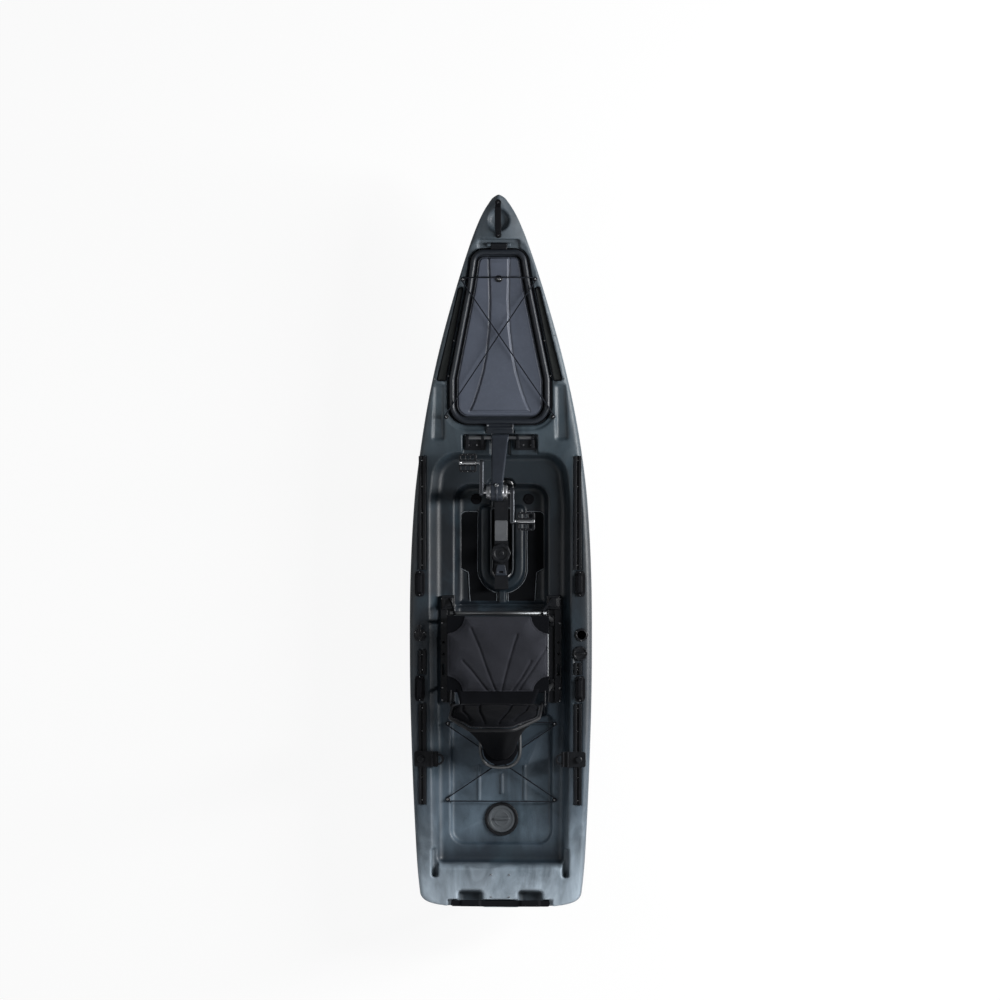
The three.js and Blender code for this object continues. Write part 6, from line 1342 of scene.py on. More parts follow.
def crossed_cord(front_post, rear_post, heights, closes_rear):
    (fx, fy), (rx, ry) = front_post, rear_post
    heading = math.degrees(math.atan2(fy - ry, fx + rx))
    leave = 90 - heading
    first = wrap_round((rx, ry), -90, leave, heights["rear"])
    left = wrap_round((-fx, fy), 270 - heading, 90, heights["front"])
    right = wrap_round((fx, fy), 90, heading - 90, heights["front"])
    last = wrap_round((-rx, ry), 180 - leave, 270, heights["rear"])
    middle = rx / (rx + fx)

    def run(a, b, stops):
        return [(lerp(a[0], b[0], s), lerp(a[1], b[1], s), z) for s, z in stops]
    route = first + run(first[-1], left[0], heights["over"](middle, False)) + left
    route += run(left[-1], right[0], heights["across"]) + right
    route += run(right[-1], last[0], heights["over"](1 - middle, True)) + last
    if closes_rear:
        route.append((rx - CORD["tail"], ry - CORD["wrap"], heights["rear"]))
    return route


def cord_piece(name, route, body, node):
    thing = tube_mesh(name, route, CORD["radius"], 12)
    placed(thing, SHOCK_CORD, body, "cord", node)


def make_cords():
    above = [float(sheer(post[1])) + CORD["over"] for post in BOW_POSTS]
    edge = CORD["edge_in"] / math.hypot(BOW_POSTS[0][0] + BOW_POSTS[1][0], BOW_POSTS[0][1] - BOW_POSTS[1][1])

    def over_bow(middle, from_front):
        start, end = above if from_front else above[::-1]
        high = lerp(start, end, middle) + (CORD["cross"] - CORD["over"] if from_front else 0)
        return [(edge, start), (middle - edge, high), (middle + edge, high), (1 - edge, end)]
    side = CORD["edge_in"] / (BOW_POSTS[0][0] * 2)
    front, rear = (float(deck_height(*post)) + CORD["lift"] for post in BOW_POSTS)
    route = crossed_cord(*BOW_POSTS, {"front": front, "rear": rear, "over": over_bow, "across": [
        (side, above[0]), (0.5, above[0]), (1 - side, above[0])]}, False)
    cord_piece("bow_shock_cord", route, "bow_lid", "bow_cord")
    z = SHELF + CORD["lift"]
    rise = CORD["cross"] - CORD["over"]

    def over_tank(middle, second):
        if second:
            return [(middle / 2, z), (middle * 0.94, z + rise), (middle * 1.06, z + rise), (middle * 1.5, z)]
        return [(middle, z)]
    route = crossed_cord(*TANK_POSTS, {"front": z, "rear": z, "over": over_tank, "across": []}, True)
    cord_piece("tank_shock_cord", route, "boat", "tank_cord")


make_cords()


# Deck fittings: handles, posts, hinge lugs, control, cap and rod holder
def deck_z(x, y):
    """The height of the deck, or of the side shelf inside the tub."""
    return float(deck_height(x, y)) if y > 1167 or y < -1204 or abs(x) > 400 else SHELF


def deck_middle(y):
    """The height of the deck on the boat's middle line."""
    return float(sheer(y) + crown(y))


def make_bow_handle():
    def form(x, y, z):
        base = sheer(y) + crown(y)
        half = 15 + 4 * smoothstep(-np.abs(y - 2489), -90, -40) - 1.5 * smoothstep(-np.abs(y - 2489), -40, 0)
        rise = 30 * smoothstep(-np.abs(y - 2489), -92, -62)
        middle = base + 4.5 + rise * 0.78
        bar = soft_max(np.abs(x) - half, np.abs(z - middle) - 5.5, 4)
        feet = np.minimum(*(drum(np.hypot(x, y - foot), z - base, -6, 8, 17, 3) for foot in BOW_FEET))
        bar = np.maximum(bar, np.abs(y - 2490.5) - 100)
        return np.maximum(soft_min(bar, feet, 5), base + 0.4 - z)
    low, high = deck_middle(2388) - 2, deck_middle(2600) + 34
    moulded("bow_carry_bar", (-20, 2380, low), (20, 2602, high), 1.8, form, 0.3,
            RUBBER, "boat", "rubber", "bow_handle")


def make_side_handles():
    outline = rounded([(430, -52, 16), (440, -73, 10), (478, -73, 10), (488, -52, 16), (488, 52, 16),
                       (478, 73, 10), (440, 73, 10), (430, 52, 16)], 4)

    def form(x, y, z):
        plate = soft_max(plan_gap(outline, x, y), np.abs(z - DEPTH - 4.2) - 3.8, 3)
        rise = 31 * smoothstep(-np.abs(y), -64, -44)
        grip = soft_max(np.abs(x - GRIP_X) - 13, np.abs(z - DEPTH - 4 - rise * 0.9) - 6, 6)
        return soft_min(plate, np.maximum(grip, np.abs(y) - 66), 5)
    one = thin(mould("handle", (428, -76, DEPTH), (490, 76, DEPTH + 40), 1.8, form), 0.28)
    for where, middle in GRIP_MIDDLES.items():
        right = in_scene("side_grip_" + where + "_right", one.data.copy())
        reshape(right, lambda co: co + (0, middle, 0.0))
        left = mirror_copy(right, "side_grip_" + where + "_left")
        for word, thing in (("right", right), ("left", left)):
            placed(thing, RUBBER, "boat", "rubber", f"side_handle_{where}_{word}")
    bpy.data.objects.remove(one)


DECK_POSTS = [(s * x, y) for x, y in BOW_POSTS + TANK_POSTS for s in (1, -1)]


def make_posts():
    posts, lugs = [], []
    for x, y in DECK_POSTS:
        base = deck_z(x, y)

        def form(px, py, pz):
            across = np.hypot(px - x, py - y)
            foot = drum(across, pz, base - 3, base + 5, 13, 2)
            stem = drum(across, pz, base, base + 16, 5, 1)
            head = drum(across, pz, base + 12.5, base + 17, 7.6, 1.8)
            return soft_min(soft_min(foot, stem, 4), head, 1.5)
        posts.append(mould("post", (x - 14, y - 14, base - 3), (x + 14, y + 14, base + 18), 1.4, form))
    placed(thin(joined("deck_eyes", posts), 0.4), BLACK_PLASTIC, "boat", "marbled_hull")
    axis = float(sheer(HINGE_Y))
    for side in (-1, 1):
        low, high = sorted((side * 47, side * 67))

        def lug(x, y, z):
            eye = np.sqrt((y - HINGE_Y) ** 2 + (z - axis + 3) ** 2) - 10
            stem = block(0 * x, y, z, (-9, HINGE_Y - 10, axis - 18), (9, HINGE_Y + 10, axis - 3), 2)
            return soft_max(np.minimum(eye, stem), np.abs(x - (low + high) / 2) - 9.6, 2)
        lugs.append(mould("lug", (low, 2330, axis - 18), (high, 2360, axis + 9), 1.6, lug))
    placed(thin(joined("hatch_lugs", lugs), 0.4), HULL_PLASTIC, "boat", "marbled_hull")


def make_rod_holder():
    def form(x, y, z):
        across = np.hypot(x - ROD[0], y - ROD[1])
        tube = np.maximum(np.maximum(across - 27.5, 213 - z), z - DEPTH - 3)
        flange = drum(across, z, DEPTH + 0.4, DEPTH + 5, 38, 2)
        lip = np.sqrt((across - 28) ** 2 + (z - DEPTH - 5) ** 2) - 3
        bore = 24.5 - across - np.maximum(218 - z, 0)
        return soft_max(soft_min(soft_min(tube, flange, 3), lip, 3), bore, 1.5)
    moulded("rod_cup", (425, 86, 212), (505, 166, DEPTH + 9), 2.0, form, 0.3,
            BLACK_PLASTIC, "boat", "black_plastic", "rod_holder_tube")


def make_cap():
    def form(x, y, z):
        px, py = x - CAP[0], y - CAP[1]
        across = np.hypot(px, py)
        turn = np.arctan2(py, px)
        rim = drum(across - 1.6 * np.cos(turn * 10), z, DEPTH + 0.4, DEPTH + 9, 41.5, 3)
        dish = drum(across, z, DEPTH + 5, DEPTH + 30, 31, 3)
        grip = block(px, py, z, (-29, -6, DEPTH), (29, 6, DEPTH + 14), 4)
        plug = drum(across, z, DEPTH - 22, DEPTH + 3, 32.6, 2)
        return soft_min(soft_min(soft_max(rim, -dish, 2), grip, 3), plug, 1)
    moulded("round_cap", (412, -26, DEPTH - 22), (504, 66, DEPTH + 16), 2.0, form, 0.3,
            BLACK_PLASTIC, "cap", "black_plastic", "deck_cap")


def make_control():
    def form(x, y, z):
        px, py = x - LEVER[0], y - LEVER[1]
        across = np.hypot(px, py)
        base = drum(across, z, DEPTH + 0.4, DEPTH + 9, 36, 3)
        hub = drum(across, z, DEPTH, DEPTH + 15, 20, 4)
        bar = capsule(px, py, 0 * z, (0, 0, 0), (0, 52, 0), 8 - 0.03 * py)
        arm = soft_max(bar, np.abs(z - DEPTH - 11) - 4, 3)
        turn = np.arctan2(py - 49, px)
        knob = drum(np.hypot(px, py - 49) - 0.8 * np.cos(turn * 8), z, DEPTH + 10, DEPTH + 34, 12, 4)
        return soft_min(soft_min(base, hub, 4), soft_min(arm, knob, 3), 3)
    moulded("rudder_lever", (-497, 86, DEPTH), (-421, 188, DEPTH + 36), 1.9, form, 0.3,
            BLACK_PLASTIC, "steering", "black_plastic", "steering_lever")


make_bow_handle()
make_side_handles()
make_posts()
make_rod_holder()
make_cap()
make_control()


# Screw heads, pins and bolts: one shape is set at each of many places by a node tree
def repeat_tree(name):
    tree = bpy.data.node_groups.new(name, "GeometryNodeTree")
    face = tree.interface
    face.new_socket(name="Places", in_out="INPUT", socket_type="NodeSocketGeometry")
    for label, kind in (("Shape", "NodeSocketObject"), ("Finish", "NodeSocketMaterial"),
                        ("Least size", "NodeSocketFloat"), ("Greatest size", "NodeSocketFloat"),
                        ("Turn", "NodeSocketFloat"), ("Seed", "NodeSocketInt")):
        face.new_socket(name=label, in_out="INPUT", socket_type=kind)
    face.new_socket(name="Made", in_out="OUTPUT", socket_type="NodeSocketGeometry")
    make, join = tree.nodes.new, tree.links.new
    given, made = make("NodeGroupInput"), make("NodeGroupOutput")
    shape = make("GeometryNodeObjectInfo")
    shape.transform_space = "ORIGINAL"
    join(given.outputs["Shape"], shape.inputs["Object"])
    size = make("FunctionNodeRandomValue")
    size.data_type = "FLOAT"
    join(given.outputs["Least size"], size.inputs[2])
    join(given.outputs["Greatest size"], size.inputs[3])
    join(given.outputs["Seed"], size.inputs["Seed"])
    turn = make("FunctionNodeRandomValue")
    turn.data_type = "FLOAT"
    turn.inputs[2].default_value = 0.0
    join(given.outputs["Turn"], turn.inputs[3])
    join(given.outputs["Seed"], turn.inputs["Seed"])
    about = make("ShaderNodeCombineXYZ")
    join(turn.outputs[1], about.inputs[2])
    facing = make("GeometryNodeInputNamedAttribute")
    facing.data_type = "FLOAT_VECTOR"
    facing.inputs["Name"].default_value = "facing"
    stand = make("FunctionNodeAlignEulerToVector")
    stand.axis = "Z"
    join(facing.outputs["Attribute"], stand.inputs["Vector"])
    spin = make("FunctionNodeRotateEuler")
    spin.space = "LOCAL"
    join(stand.outputs[0], spin.inputs["Rotation"])
    join(about.outputs[0], spin.inputs["Rotate By"])
    put = make("GeometryNodeInstanceOnPoints")
    join(given.outputs["Places"], put.inputs["Points"])
    join(shape.outputs["Geometry"], put.inputs["Instance"])
    join(spin.outputs[0], put.inputs["Rotation"])
    join(size.outputs[1], put.inputs["Scale"])
    real = make("GeometryNodeRealizeInstances")
    join(put.outputs[0], real.inputs[0])
    paint = make("GeometryNodeSetMaterial")
    join(real.outputs[0], paint.inputs["Geometry"])
    join(given.outputs["Finish"], paint.inputs["Material"])
    join(paint.outputs[0], made.inputs[0])
    return tree


REPEAT = repeat_tree("set_at_places")


def repeated(name, shape, places, finish, body, sizes=(0.97, 1.03), turn=6.283, seed=7):
    """Copies of a shape stood at places (x, y, z, facing) in millimetres."""
    mesh = bpy.data.meshes.new(name)
    mesh.from_pydata([tuple(v * MM for v in p[:3]) for p in places], [], [])
    facing = mesh.attributes.new("facing", "FLOAT_VECTOR", "POINT")
    for i, p in enumerate(places):
        facing.data[i].vector = Vector(p[3] if len(p) > 3 else (0, 0, 1)).normalized()
    thing = in_scene(name, mesh)
    step = thing.modifiers.new("repeat", "NODES")
    step.node_group = REPEAT
    given = {"Shape": shape, "Finish": finish, "Least size": sizes[0], "Greatest size": sizes[1],
             "Turn": turn, "Seed": seed}
    for item in REPEAT.interface.items_tree:
        if item.in_out == "INPUT" and item.name in given:
            step[item.identifier] = given[item.name]
    bake(thing)
    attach(thing, body)
    return thing


def screw_head(name, radius, height, recess=0.45):
    """A round head with a dished star recess, standing on its own origin."""
    rings = [(radius, 0), (radius, height * 0.45), (radius * 0.8, height * 0.92), (radius * recess, height),
             (radius * recess * 0.8, height * 0.35)]
    sides, points = 18, []
    for k, (r, z) in enumerate(rings):
        for i in range(sides):
            turn, dent = 2 * math.pi * i / sides, 1 - (0.16 if k >= 3 and i % 3 == 0 else 0)
            points.append((r * dent * math.cos(turn) * MM, r * dent * math.sin(turn) * MM, z * MM))
    faces = [(k + i, k + (i + 1) % sides, k + sides + (i + 1) % sides, k + sides + i)
             for k in range(0, (len(rings) - 1) * sides, sides) for i in range(sides)]
    faces += [tuple(range((len(rings) - 1) * sides, len(rings) * sides)), tuple(reversed(range(sides)))]
    return mesh_object(name, points, faces, smooth=False)


HEAD = screw_head("head_shape", 5.2, 3)
SMALL_HEAD = screw_head("small_head_shape", 3.6, 2.2)
deck_screws = [(x, y, deck_z(x, y) + 17.2) for x, y in DECK_POSTS]
deck_screws += [(0, y, deck_middle(y) + 8) for y in BOW_FEET]
for side in (-1, 1):
    deck_screws += [(side * x, 1207, 317.5 + 5) for x in (133, 180)]
    deck_screws += [(side * GRIP_X, y + s * 62, DEPTH + 8) for y in GRIP_MIDDLES.values() for s in (-1, 1)]
    deck_screws += [(side * 336, y, 267.2) for y in (330, 190, -180, -250)]
    deck_screws += [(side * 52, y, deck_z(52, y) + 0.2) for y in (-1243, -1369)]
repeated("deck_screws", HEAD, deck_screws, STEEL, "boat")
small = []
for side in (-1, 1):
    small += [(side * x, y, deck_z(x, y) + 0.2)
              for x, y in ((321, 1829), (259, 1800), (370, 1583), (291, 1600))]
    for front, rear in TRACKS:
        # The middle track is shorter on starboard, where the cap stands
        if side > 0 and front == 40:
            front = -30
        count = max(1, round((front - rear) / 150))
        small += [(side * 445, lerp(front - 28, rear + 28, k / count), 328.2) for k in range(count + 1)]
    small += [(side * 430.5, y, DEPTH + 0.2) for y in (1110, 930, 700, 530)]
for k in range(3):
    turn = 2 * math.pi * k / 3 + 0.5
    small.append((ROD[0] + 33 * math.cos(turn), ROD[1] + 33 * math.sin(turn), DEPTH + 5))
    small.append((LEVER[0] + 29 * math.cos(turn), LEVER[1] + 29 * math.sin(turn), DEPTH + 8.6))
repeated("small_screws", SMALL_HEAD, small, STEEL, "boat", seed=11)


# Pedal drive: arm with its crank case, bearing caps, cranks and open pedals, knob, latch and plate edge
# Axes as y and z, and the way in which the oil plug points
PIVOT_BAR, CRANK_AXIS = (1250, 322), (939, 545)
ARM_END, PLUG_WAY = (970, 528), (0.776, 0.631)
CRANK_LENGTH, PEDAL_X, KNOB_Y = 165, 165, 589


def from_axis(axis, y, z):
    return np.hypot(y - axis[0], z - axis[1])


def make_drive_case():
    def form(x, y, z):
        share = (PIVOT_BAR[0] + 4 - y) / 284
        middle = lerp(326, ARM_END[1], share) + 30 * share * (1 - share)
        half = lerp(47, 29, np.clip(share, 0, 1)) + 1.5
        high = lerp(11.5, 27, smoothstep(share, -0.2, 0.8))
        lean = 0.81
        body = soft_max(np.abs(x) - half, (np.abs(z - middle) - high) * lean, 9)
        body = soft_max(body, np.maximum(y - 1254, 970 - y), 6)
        hub = drum(from_axis(PIVOT_BAR, y, z), x, -50, 50, 18, 3)
        around = from_axis(CRANK_AXIS, y, z)
        case = drum(around, x, -33, 33, 49, 4)
        band = drum(around, x, -5, 5, 51.5, 2)
        post = np.hypot(x, y - CRANK_AXIS[0])
        neck = drum(post, z, 423, 545, 27, 2)
        flange = drum(post, z, 423, 433, 33, 2)
        stand = soft_min(neck, flange, 3)
        whole = soft_min(soft_min(body, hub, 6), soft_min(soft_min(case, band, 2), stand, 6), 7)
        bores = np.minimum(drum(around, x, -60, 27, 41, 0), drum(around, x, 0, 60, 16, 0))
        bores = np.minimum(bores, drum(post, z, 400, 545, 16, 0))
        bores = np.minimum(bores, from_axis(PIVOT_BAR, y, z) - 11.4)
        return np.maximum(whole, -bores)
    moulded("drive_case_shell", (-54, 884, 300), (54, 1272, 598), 2.2, form, 0.3,
            SATIN_PLASTIC, "drive", "black_plastic", "drive_case")

    def plug(x, y, z):
        ahead, up = y - CRANK_AXIS[0], z - CRANK_AXIS[1]
        out = ahead * PLUG_WAY[0] + up * PLUG_WAY[1]
        across = np.hypot(x, ahead * PLUG_WAY[1] - up * PLUG_WAY[0])
        return soft_max(drum(across, out, 44, 53.5, 12.5, 2), -drum(across, out, 50.5, 60, 6, 1), 1)
    moulded("oil_plug", (-14, 962, 562), (14, 992, 590), 1.2, plug, 0.4, STEEL, "drive", "steel")


def make_bearing_caps():
    for word, side in SIDES:
        def form(x, y, z):
            out, around = x * side, from_axis(CRANK_AXIS, y, z)
            boss = drum(around, out, 33.3, 58.3, 37, 3)
            step = drum(around, out, 33.3, 38.5, 46 if side < 0 else 42, 1.5)
            ring = drum(around, out, 54, 70, 27, 1)
            bore = drum(around, out, 0, 80, 10.6, 0)
            return np.maximum(soft_max(soft_min(boss, step, 2), -np.maximum(ring, 54 - out), 1.5), -bore)
        ends = sorted((side * 33, side * 60))
        moulded("bearing_" + word, (ends[0], 890, 496), (ends[1], 988, 594), 1.6, form, 0.3,
                ALUMINIUM, "drive", "aluminium", "bearing_cap_" + word)


def make_cranks():
    for word, side in SIDES:
        ahead = -side

        def form(x, y, z):
            along, out = (y - CRANK_AXIS[0]) * ahead, x * side
            up = z - CRANK_AXIS[1]
            near = np.clip(along, 0, CRANK_LENGTH)
            share = near / CRANK_LENGTH
            body = soft_max(np.hypot(along - near, up) - lerp(24, 17, share), np.abs(out - 87) - 11, 3.5)
            waist = soft_max(np.abs(along - 82) - 44, np.abs(up) - lerp(9, 6, share), 4)
            waist = soft_max(waist, 92.5 - out, 1.5)
            return np.maximum(soft_max(body, -waist, 1.5), 10.4 - np.hypot(along, up))
        ends = sorted((side * 75, side * 99))
        reach = sorted((CRANK_AXIS[0] - ahead * 25, CRANK_AXIS[0] + ahead * 184))
        moulded("crank_" + word, (ends[0], reach[0], 519), (ends[1], reach[1], 571), 1.5, form, 0.3,
                CRANK_METAL, "crank", "black_plastic", "crank_arm_" + word)
        at = (CRANK_AXIS[0] + ahead * CRANK_LENGTH, CRANK_AXIS[1])
        low, high = sorted((side * 99, side * 209))

        def spindle(x, y, z):
            around, out = from_axis(at, y, z), x * side
            return np.minimum(drum(around, out, 97, 210, 7, 1), drum(around, out, 97, 104, 11, 1.5))
        moulded("spindle_" + word, (low - 2, at[0] - 12, at[1] - 12), (high + 2, at[0] + 12, at[1] + 12), 1.2,
                spindle, 0.3, STEEL, "crank", "steel")
        make_pedal(word, side, at)


def make_pedal(word, side, at):
    middle = (side * PEDAL_X, at[0], at[1])
    outline = rounded([(-50, -53, 14), (50, -53, 14), (50, 53, 14), (-50, 53, 14)], 4)

    def corners(*half):
        return [tuple(m + s * h for m, h in zip(middle, half)) for s in (-1, 1)]

    def frame_form(x, y, z):
        px, py, pz = x - middle[0], y - middle[1], z - middle[2]
        outside = plan_gap(outline, px, py)
        window = soft_max(np.abs(px) - 38, np.abs(np.abs(py) - 29) - 11, 6)
        rib = np.abs(np.abs(px) - 13) - 2.5
        body = soft_max(outside, -soft_max(window, -rib, 3), 4)
        rise = 8 + 5.5 * smoothstep(np.abs(py), 15, 19)
        body = soft_max(body, np.abs(pz) - rise, 2)
        return soft_max(body, 8.2 - np.hypot(py, pz), 1)
    moulded("pedal_frame_" + word, *corners(51, 54, 15), 1.7, frame_form, 0.3,
            BLACK_PLASTIC, "pedal_" + word, "black_plastic", "pedal_" + word)

    def barrel_form(x, y, z):
        px, around = (x - middle[0]) * side, np.hypot(y - middle[1], z - middle[2])
        tube = np.minimum(drum(around, px, -46, 44, 10.5, 1.5), drum(around, px, 36, 49, 12.5, 2))
        return np.maximum(tube, np.maximum(7.6 - around, px - 46.5) - np.maximum(0, px - 46))
    moulded("pedal_barrel_" + word, *corners(50, 13, 13), 1.3, barrel_form, 0.3,
            STEEL, "pedal_" + word, "steel")
    studs = [(middle[0] + x, middle[1] + s * 48, middle[2] + 13) for x in (-30, 0, 30) for s in (-1, 1)]
    studs += [(middle[0] + s * 45.5, middle[1] + y, middle[2] + 12) for y in (-26, 26) for s in (-1, 1)]
    studs += [(x, y, 2 * middle[2] - z, (0, 0, -1)) for x, y, z in studs]
    repeated("pedal_pins_" + word, SMALL_HEAD, studs, STEEL, "pedal_" + word, (0.5, 0.56), seed=3)


def make_knob():
    def form(x, y, z):
        px, py = x, y - KNOB_Y
        across = np.hypot(px, py)
        turn = np.arctan2(py, px)
        side = across - 1.8 * np.cos(turn * 8)
        grip = drum(side, z, 245.6, 271.5, 55.5, 6)
        dish = drum(across, z, 266, 290, 36, 4)
        hub = drum(across, z, 250, 269.5, 15, 2)
        shank = drum(across, z, 232, 250, 8.8, 0)
        return soft_min(soft_min(soft_max(grip, -dish, 4), hub, 2), shank, 1)
    moulded("hold_down_grip", (-60, 529, 231), (60, 649, 273), 1.9, form, 0.3,
            BLACK_PLASTIC, "knob", "black_plastic", "hold_down_knob")


def make_rail_latch():
    def form(x, y, z):
        half = lerp(34, 22, np.clip((y - 462) / 62, 0, 1))
        plate = soft_max(soft_max(np.abs(x) - half, np.abs(y - 493) - 31, 9), np.abs(z - 251.3) - 5.8, 3)
        pull = soft_max(np.abs(np.hypot(x, (y - 482) * 1.7) - 24) - 2.4, y - 482, 2)
        lip = soft_max(pull, np.abs(z - 257) - 2.5, 1.5)
        slot = block(x, y, 0 * z, (-13, 477, -9), (13, 487, 9), 4)
        return soft_max(soft_min(plate, lip, 2), -slot, 2)
    moulded("rail_lever", (-36, 460, 245), (36, 526, 261), 1.5, form, 0.3,
            SATIN_PLASTIC, "latch", "black_plastic", "rail_latch")


def make_well_lip():
    """The edge of the drive's plate, which closes the gap round the tunnel's mouth."""
    def form(x, y, z):
        edge = plan_gap(tunnel_outline(67, 852, 20), x, y)
        flange = soft_max(soft_max(edge, -edge - 9, 1), np.abs(z - 188.8) - 1.5, 1.5)
        strips = soft_max(np.abs(np.abs(x) - 58.5) - 4.2, np.abs(y - 745) - 238, 2)
        lip = soft_max(strips, np.abs(z - 163) - 5, 1)
        leg = soft_max(np.abs(np.abs(x) - 60) - 2.6, np.abs(y - 675) - 175, 1)
        leg = np.maximum(leg, np.abs(z - 176) - 13)
        return np.minimum(np.minimum(flange, lip), leg)
    moulded("well_lip", (-68, 432, 157), (68, 985, 191), 1.6, form, 0.15,
            GREY_PLASTIC, "drive", "black_plastic")


CRANK_METAL = brushed_metal("dark_crank_metal", (0.075, 0.08, 0.09), 0.34, (6, 1, 1))
make_drive_case()
make_bearing_caps()
make_cranks()
make_knob()
make_rail_latch()
make_well_lip()
bolts = []
for side in (-1, 1):
    for k in range(5):
        turn = 2 * math.pi * k / 5 + 0.3
        bolts.append((side * 58.3, CRANK_AXIS[0] + 32 * math.cos(turn), CRANK_AXIS[1] + 32 * math.sin(turn),
                      (side, 0, 0)))
repeated("case_bolts", SMALL_HEAD, bolts, STEEL, "drive", (0.95, 1.0), seed=5)


# Stern: ribbed hatch ring, dished lid with its grip, and the grab bar
def make_stern_hatch():
    centre = STERN_HATCH_Y

    def ring(x, y, z):
        across, turn = np.hypot(x, y - centre), np.arctan2(y - centre, x)
        outer = drum(across - 0.9 * np.cos(turn * 24), z, TANK_FLOOR + 0.4, TANK_FLOOR + 13, 96.5, 4)
        return soft_max(outer, 78.2 - across, 1.5)

    def lid(x, y, z):
        across = np.hypot(x, y - centre)
        disc = drum(across, z, TANK_FLOOR + 1.8, TANK_FLOOR + 9, 77.4, 2)
        dish = drum(across, z, TANK_FLOOR + 5.5, TANK_FLOOR + 30, 62, 3)
        grip = block(x, y - centre, z, (-46, -5.5, TANK_FLOOR), (46, 5.5, TANK_FLOOR + 17.5), 4)
        bead = drum(np.abs(across - 40), z, TANK_FLOOR, TANK_FLOOR + 7.5, 1.8, 0.8)
        return soft_min(soft_min(soft_max(disc, -dish, 3), grip, 4), bead, 2)
    moulded("hatch_ring", (-99, centre - 99, TANK_FLOOR), (99, centre + 99, TANK_FLOOR + 14), 2.2, ring,
            0.25, BLACK_PLASTIC, "boat", "black_plastic", "stern_hatch_ring")
    moulded("round_lid", (-79, centre - 79, TANK_FLOOR + 1), (79, centre + 79, TANK_FLOOR + 19), 2.2, lid,
            0.25, GREY_PLASTIC, "stern_lid", "grey_plastic", "stern_hatch_lid")


def make_grab_bar():
    def form(x, y, z):
        low = 300.4
        top = low + 19 + 10 * smoothstep(-np.abs(np.abs(x) - 171), -64, -46)
        bar = soft_max(np.abs(x) - 281, np.abs(y + 1406.5) - 18, 12)
        bar = soft_max(bar, np.abs(z - (low + top) / 2) - (top - low) / 2, 7)
        finger = soft_max(np.abs(np.abs(x) - 171) - 44, z - low - 6, 4)
        return soft_max(bar, -np.maximum(finger, np.abs(y + 1406.5) - 30), 4)
    moulded("stern_grip", (-284, -1427, 299), (284, -1386, 332), 2.2, form, 0.25,
            RUBBER, "boat", "rubber", "stern_grab_bar")


make_stern_hatch()
make_grab_bar()
for shape in (HEAD, SMALL_HEAD):
    bpy.data.objects.remove(shape)


dress_nodes()


# Floor, light and the camera over the boat
HORIZON_LIGHT, ZENITH_LIGHT = 0.3, 0.05


def node_maker(owner):
    """Empty an owner's node tree. Gives what adds a node and what joins two sockets."""
    owner.use_nodes = True
    owner.node_tree.nodes.clear()
    return owner.node_tree.nodes.new, owner.node_tree.links.new


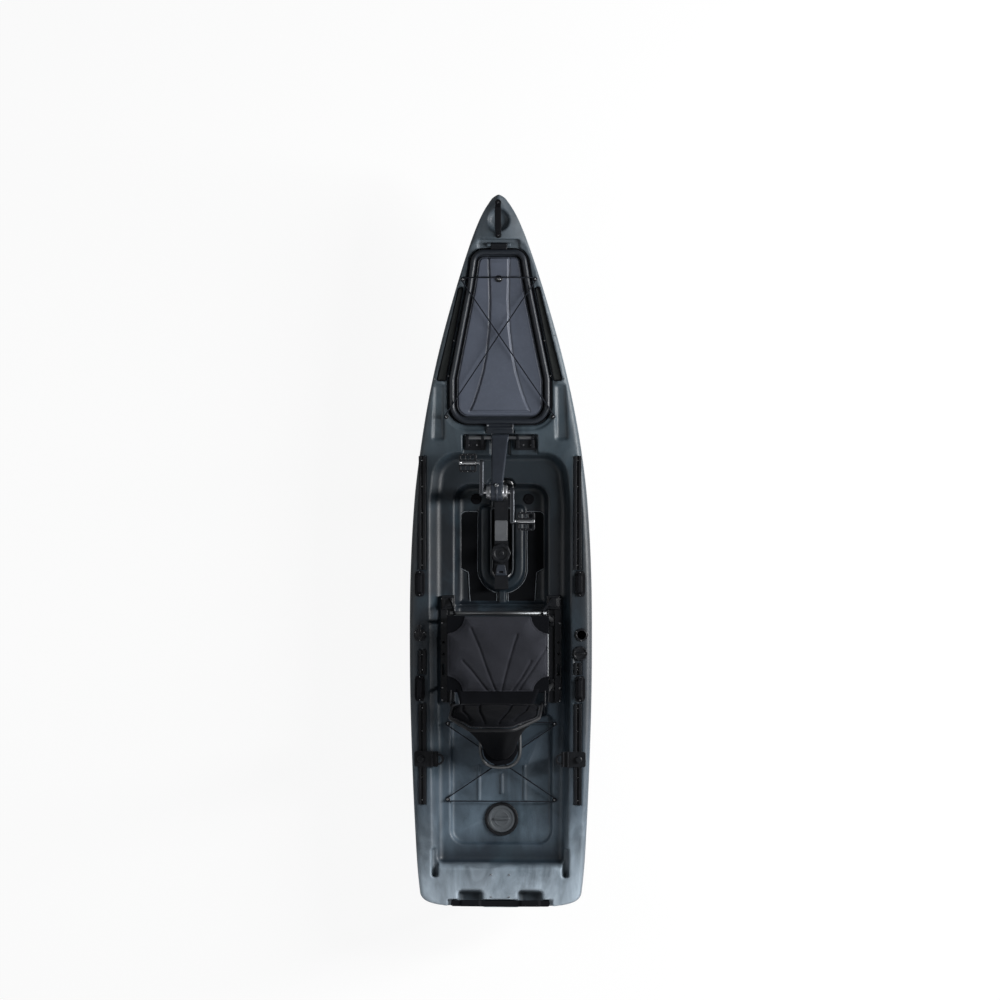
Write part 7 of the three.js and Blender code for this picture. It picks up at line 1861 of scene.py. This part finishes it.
def make_stage():
    bpy.ops.mesh.primitive_plane_add(size=60, location=(0, 0.6, frame_box[0].z - 0.004))
    floor = bpy.context.object
    floor.name = "floor"
    paper = bpy.data.materials.new("paper_floor")
    make, join = node_maker(paper)
    out, blend = make("ShaderNodeOutputMaterial"), make("ShaderNodeMixShader")
    plain, lit = make("ShaderNodeBsdfDiffuse"), make("ShaderNodeEmission")
    plain.inputs["Color"].default_value = (0.8, 0.8, 0.8, 1)
    lit.inputs["Strength"].default_value = 1.0
    path, share = make("ShaderNodeLightPath"), make("ShaderNodeMath")
    share.operation = "MULTIPLY"
    share.inputs[1].default_value = 0.9
    join(path.outputs["Is Camera Ray"], share.inputs[0])
    for k, source in enumerate((share, plain, lit)):
        join(source.outputs[0], blend.inputs[k])
    join(blend.outputs[0], out.inputs[0])
    floor.data.materials.append(paper)

    world = bpy.data.worlds.new("studio")
    bpy.context.scene.world = world
    make, join = node_maker(world)
    out, soft = make("ShaderNodeOutputWorld"), make("ShaderNodeBackground")
    soft.inputs["Color"].default_value = (0.9, 0.95, 1, 1)
    # The sky is dimmest straight above the boat, so that level dark faces stay dark
    up, apart, fall = make("ShaderNodeTexCoord"), make("ShaderNodeSeparateXYZ"), make("ShaderNodeMapRange")
    join(up.outputs["Generated"], apart.inputs[0])
    for label, value in (("From Min", 0.1), ("From Max", 0.95),
                         ("To Min", HORIZON_LIGHT), ("To Max", ZENITH_LIGHT)):
        fall.inputs[label].default_value = value
    join(apart.outputs[2], fall.inputs["Value"])
    join(fall.outputs[0], soft.inputs["Strength"])
    white, path = make("ShaderNodeBackground"), make("ShaderNodeLightPath")
    blend = make("ShaderNodeMixShader")
    white.inputs["Strength"].default_value = 1.0
    join(path.outputs["Is Camera Ray"], blend.inputs[0])
    join(soft.outputs[0], blend.inputs[1])
    join(white.outputs[0], blend.inputs[2])
    join(blend.outputs[0], out.inputs[0])


def area_lamp(name, place, aim, size, power):
    lamp = bpy.data.lights.new(name, "AREA")
    lamp.shape = "RECTANGLE"
    lamp.size, lamp.size_y = size
    lamp.energy = power
    holder = in_scene(name, lamp)
    holder.location = place
    holder.rotation_euler = (Vector(aim) - Vector(place)).to_track_quat("-Z", "Y").to_euler()


make_stage()
area_lamp("window_starboard", (6.4, 1.4, 3.5), (0, 0.6, 0.3), (0.9, 6), 1150)
area_lamp("window_port", (-5.0, 0.8, 5.0), (0, 0.6, 0.3), (2.5, 6), 110)
area_lamp("lamp_stern", (0, -4.5, 3.5), (0, -0.8, 0.3), (3, 1.5), 60)

# The camera hangs a little to starboard over the boat and looks straight at its middle
FOCAL_PX, IMAGE_PX = 5200.0, 1000.0
MM_PER_PX, MIDDLE_Y = 5.7, 893.8
DISTANCE = FOCAL_PX * MM_PER_PX * MM
SIDE_SHARE = 0.08
eye = bpy.data.cameras.new("photo_camera")
eye.sensor_width = 36
eye.lens = 36 * FOCAL_PX / IMAGE_PX
holder = in_scene("photo_camera", eye)
target = Vector((0, MIDDLE_Y * MM, DEPTH * MM))
back = Vector((SIDE_SHARE, 0, 1)).normalized()
holder.location = target + back * DISTANCE
ahead = Vector((0, 1, 0))
holder.rotation_mode = "QUATERNION"
holder.rotation_quaternion = Matrix((ahead.cross(back), ahead, back)).transposed().to_quaternion()
bpy.context.scene.camera = holder
bpy.context.scene.view_settings.view_transform = "Standard"
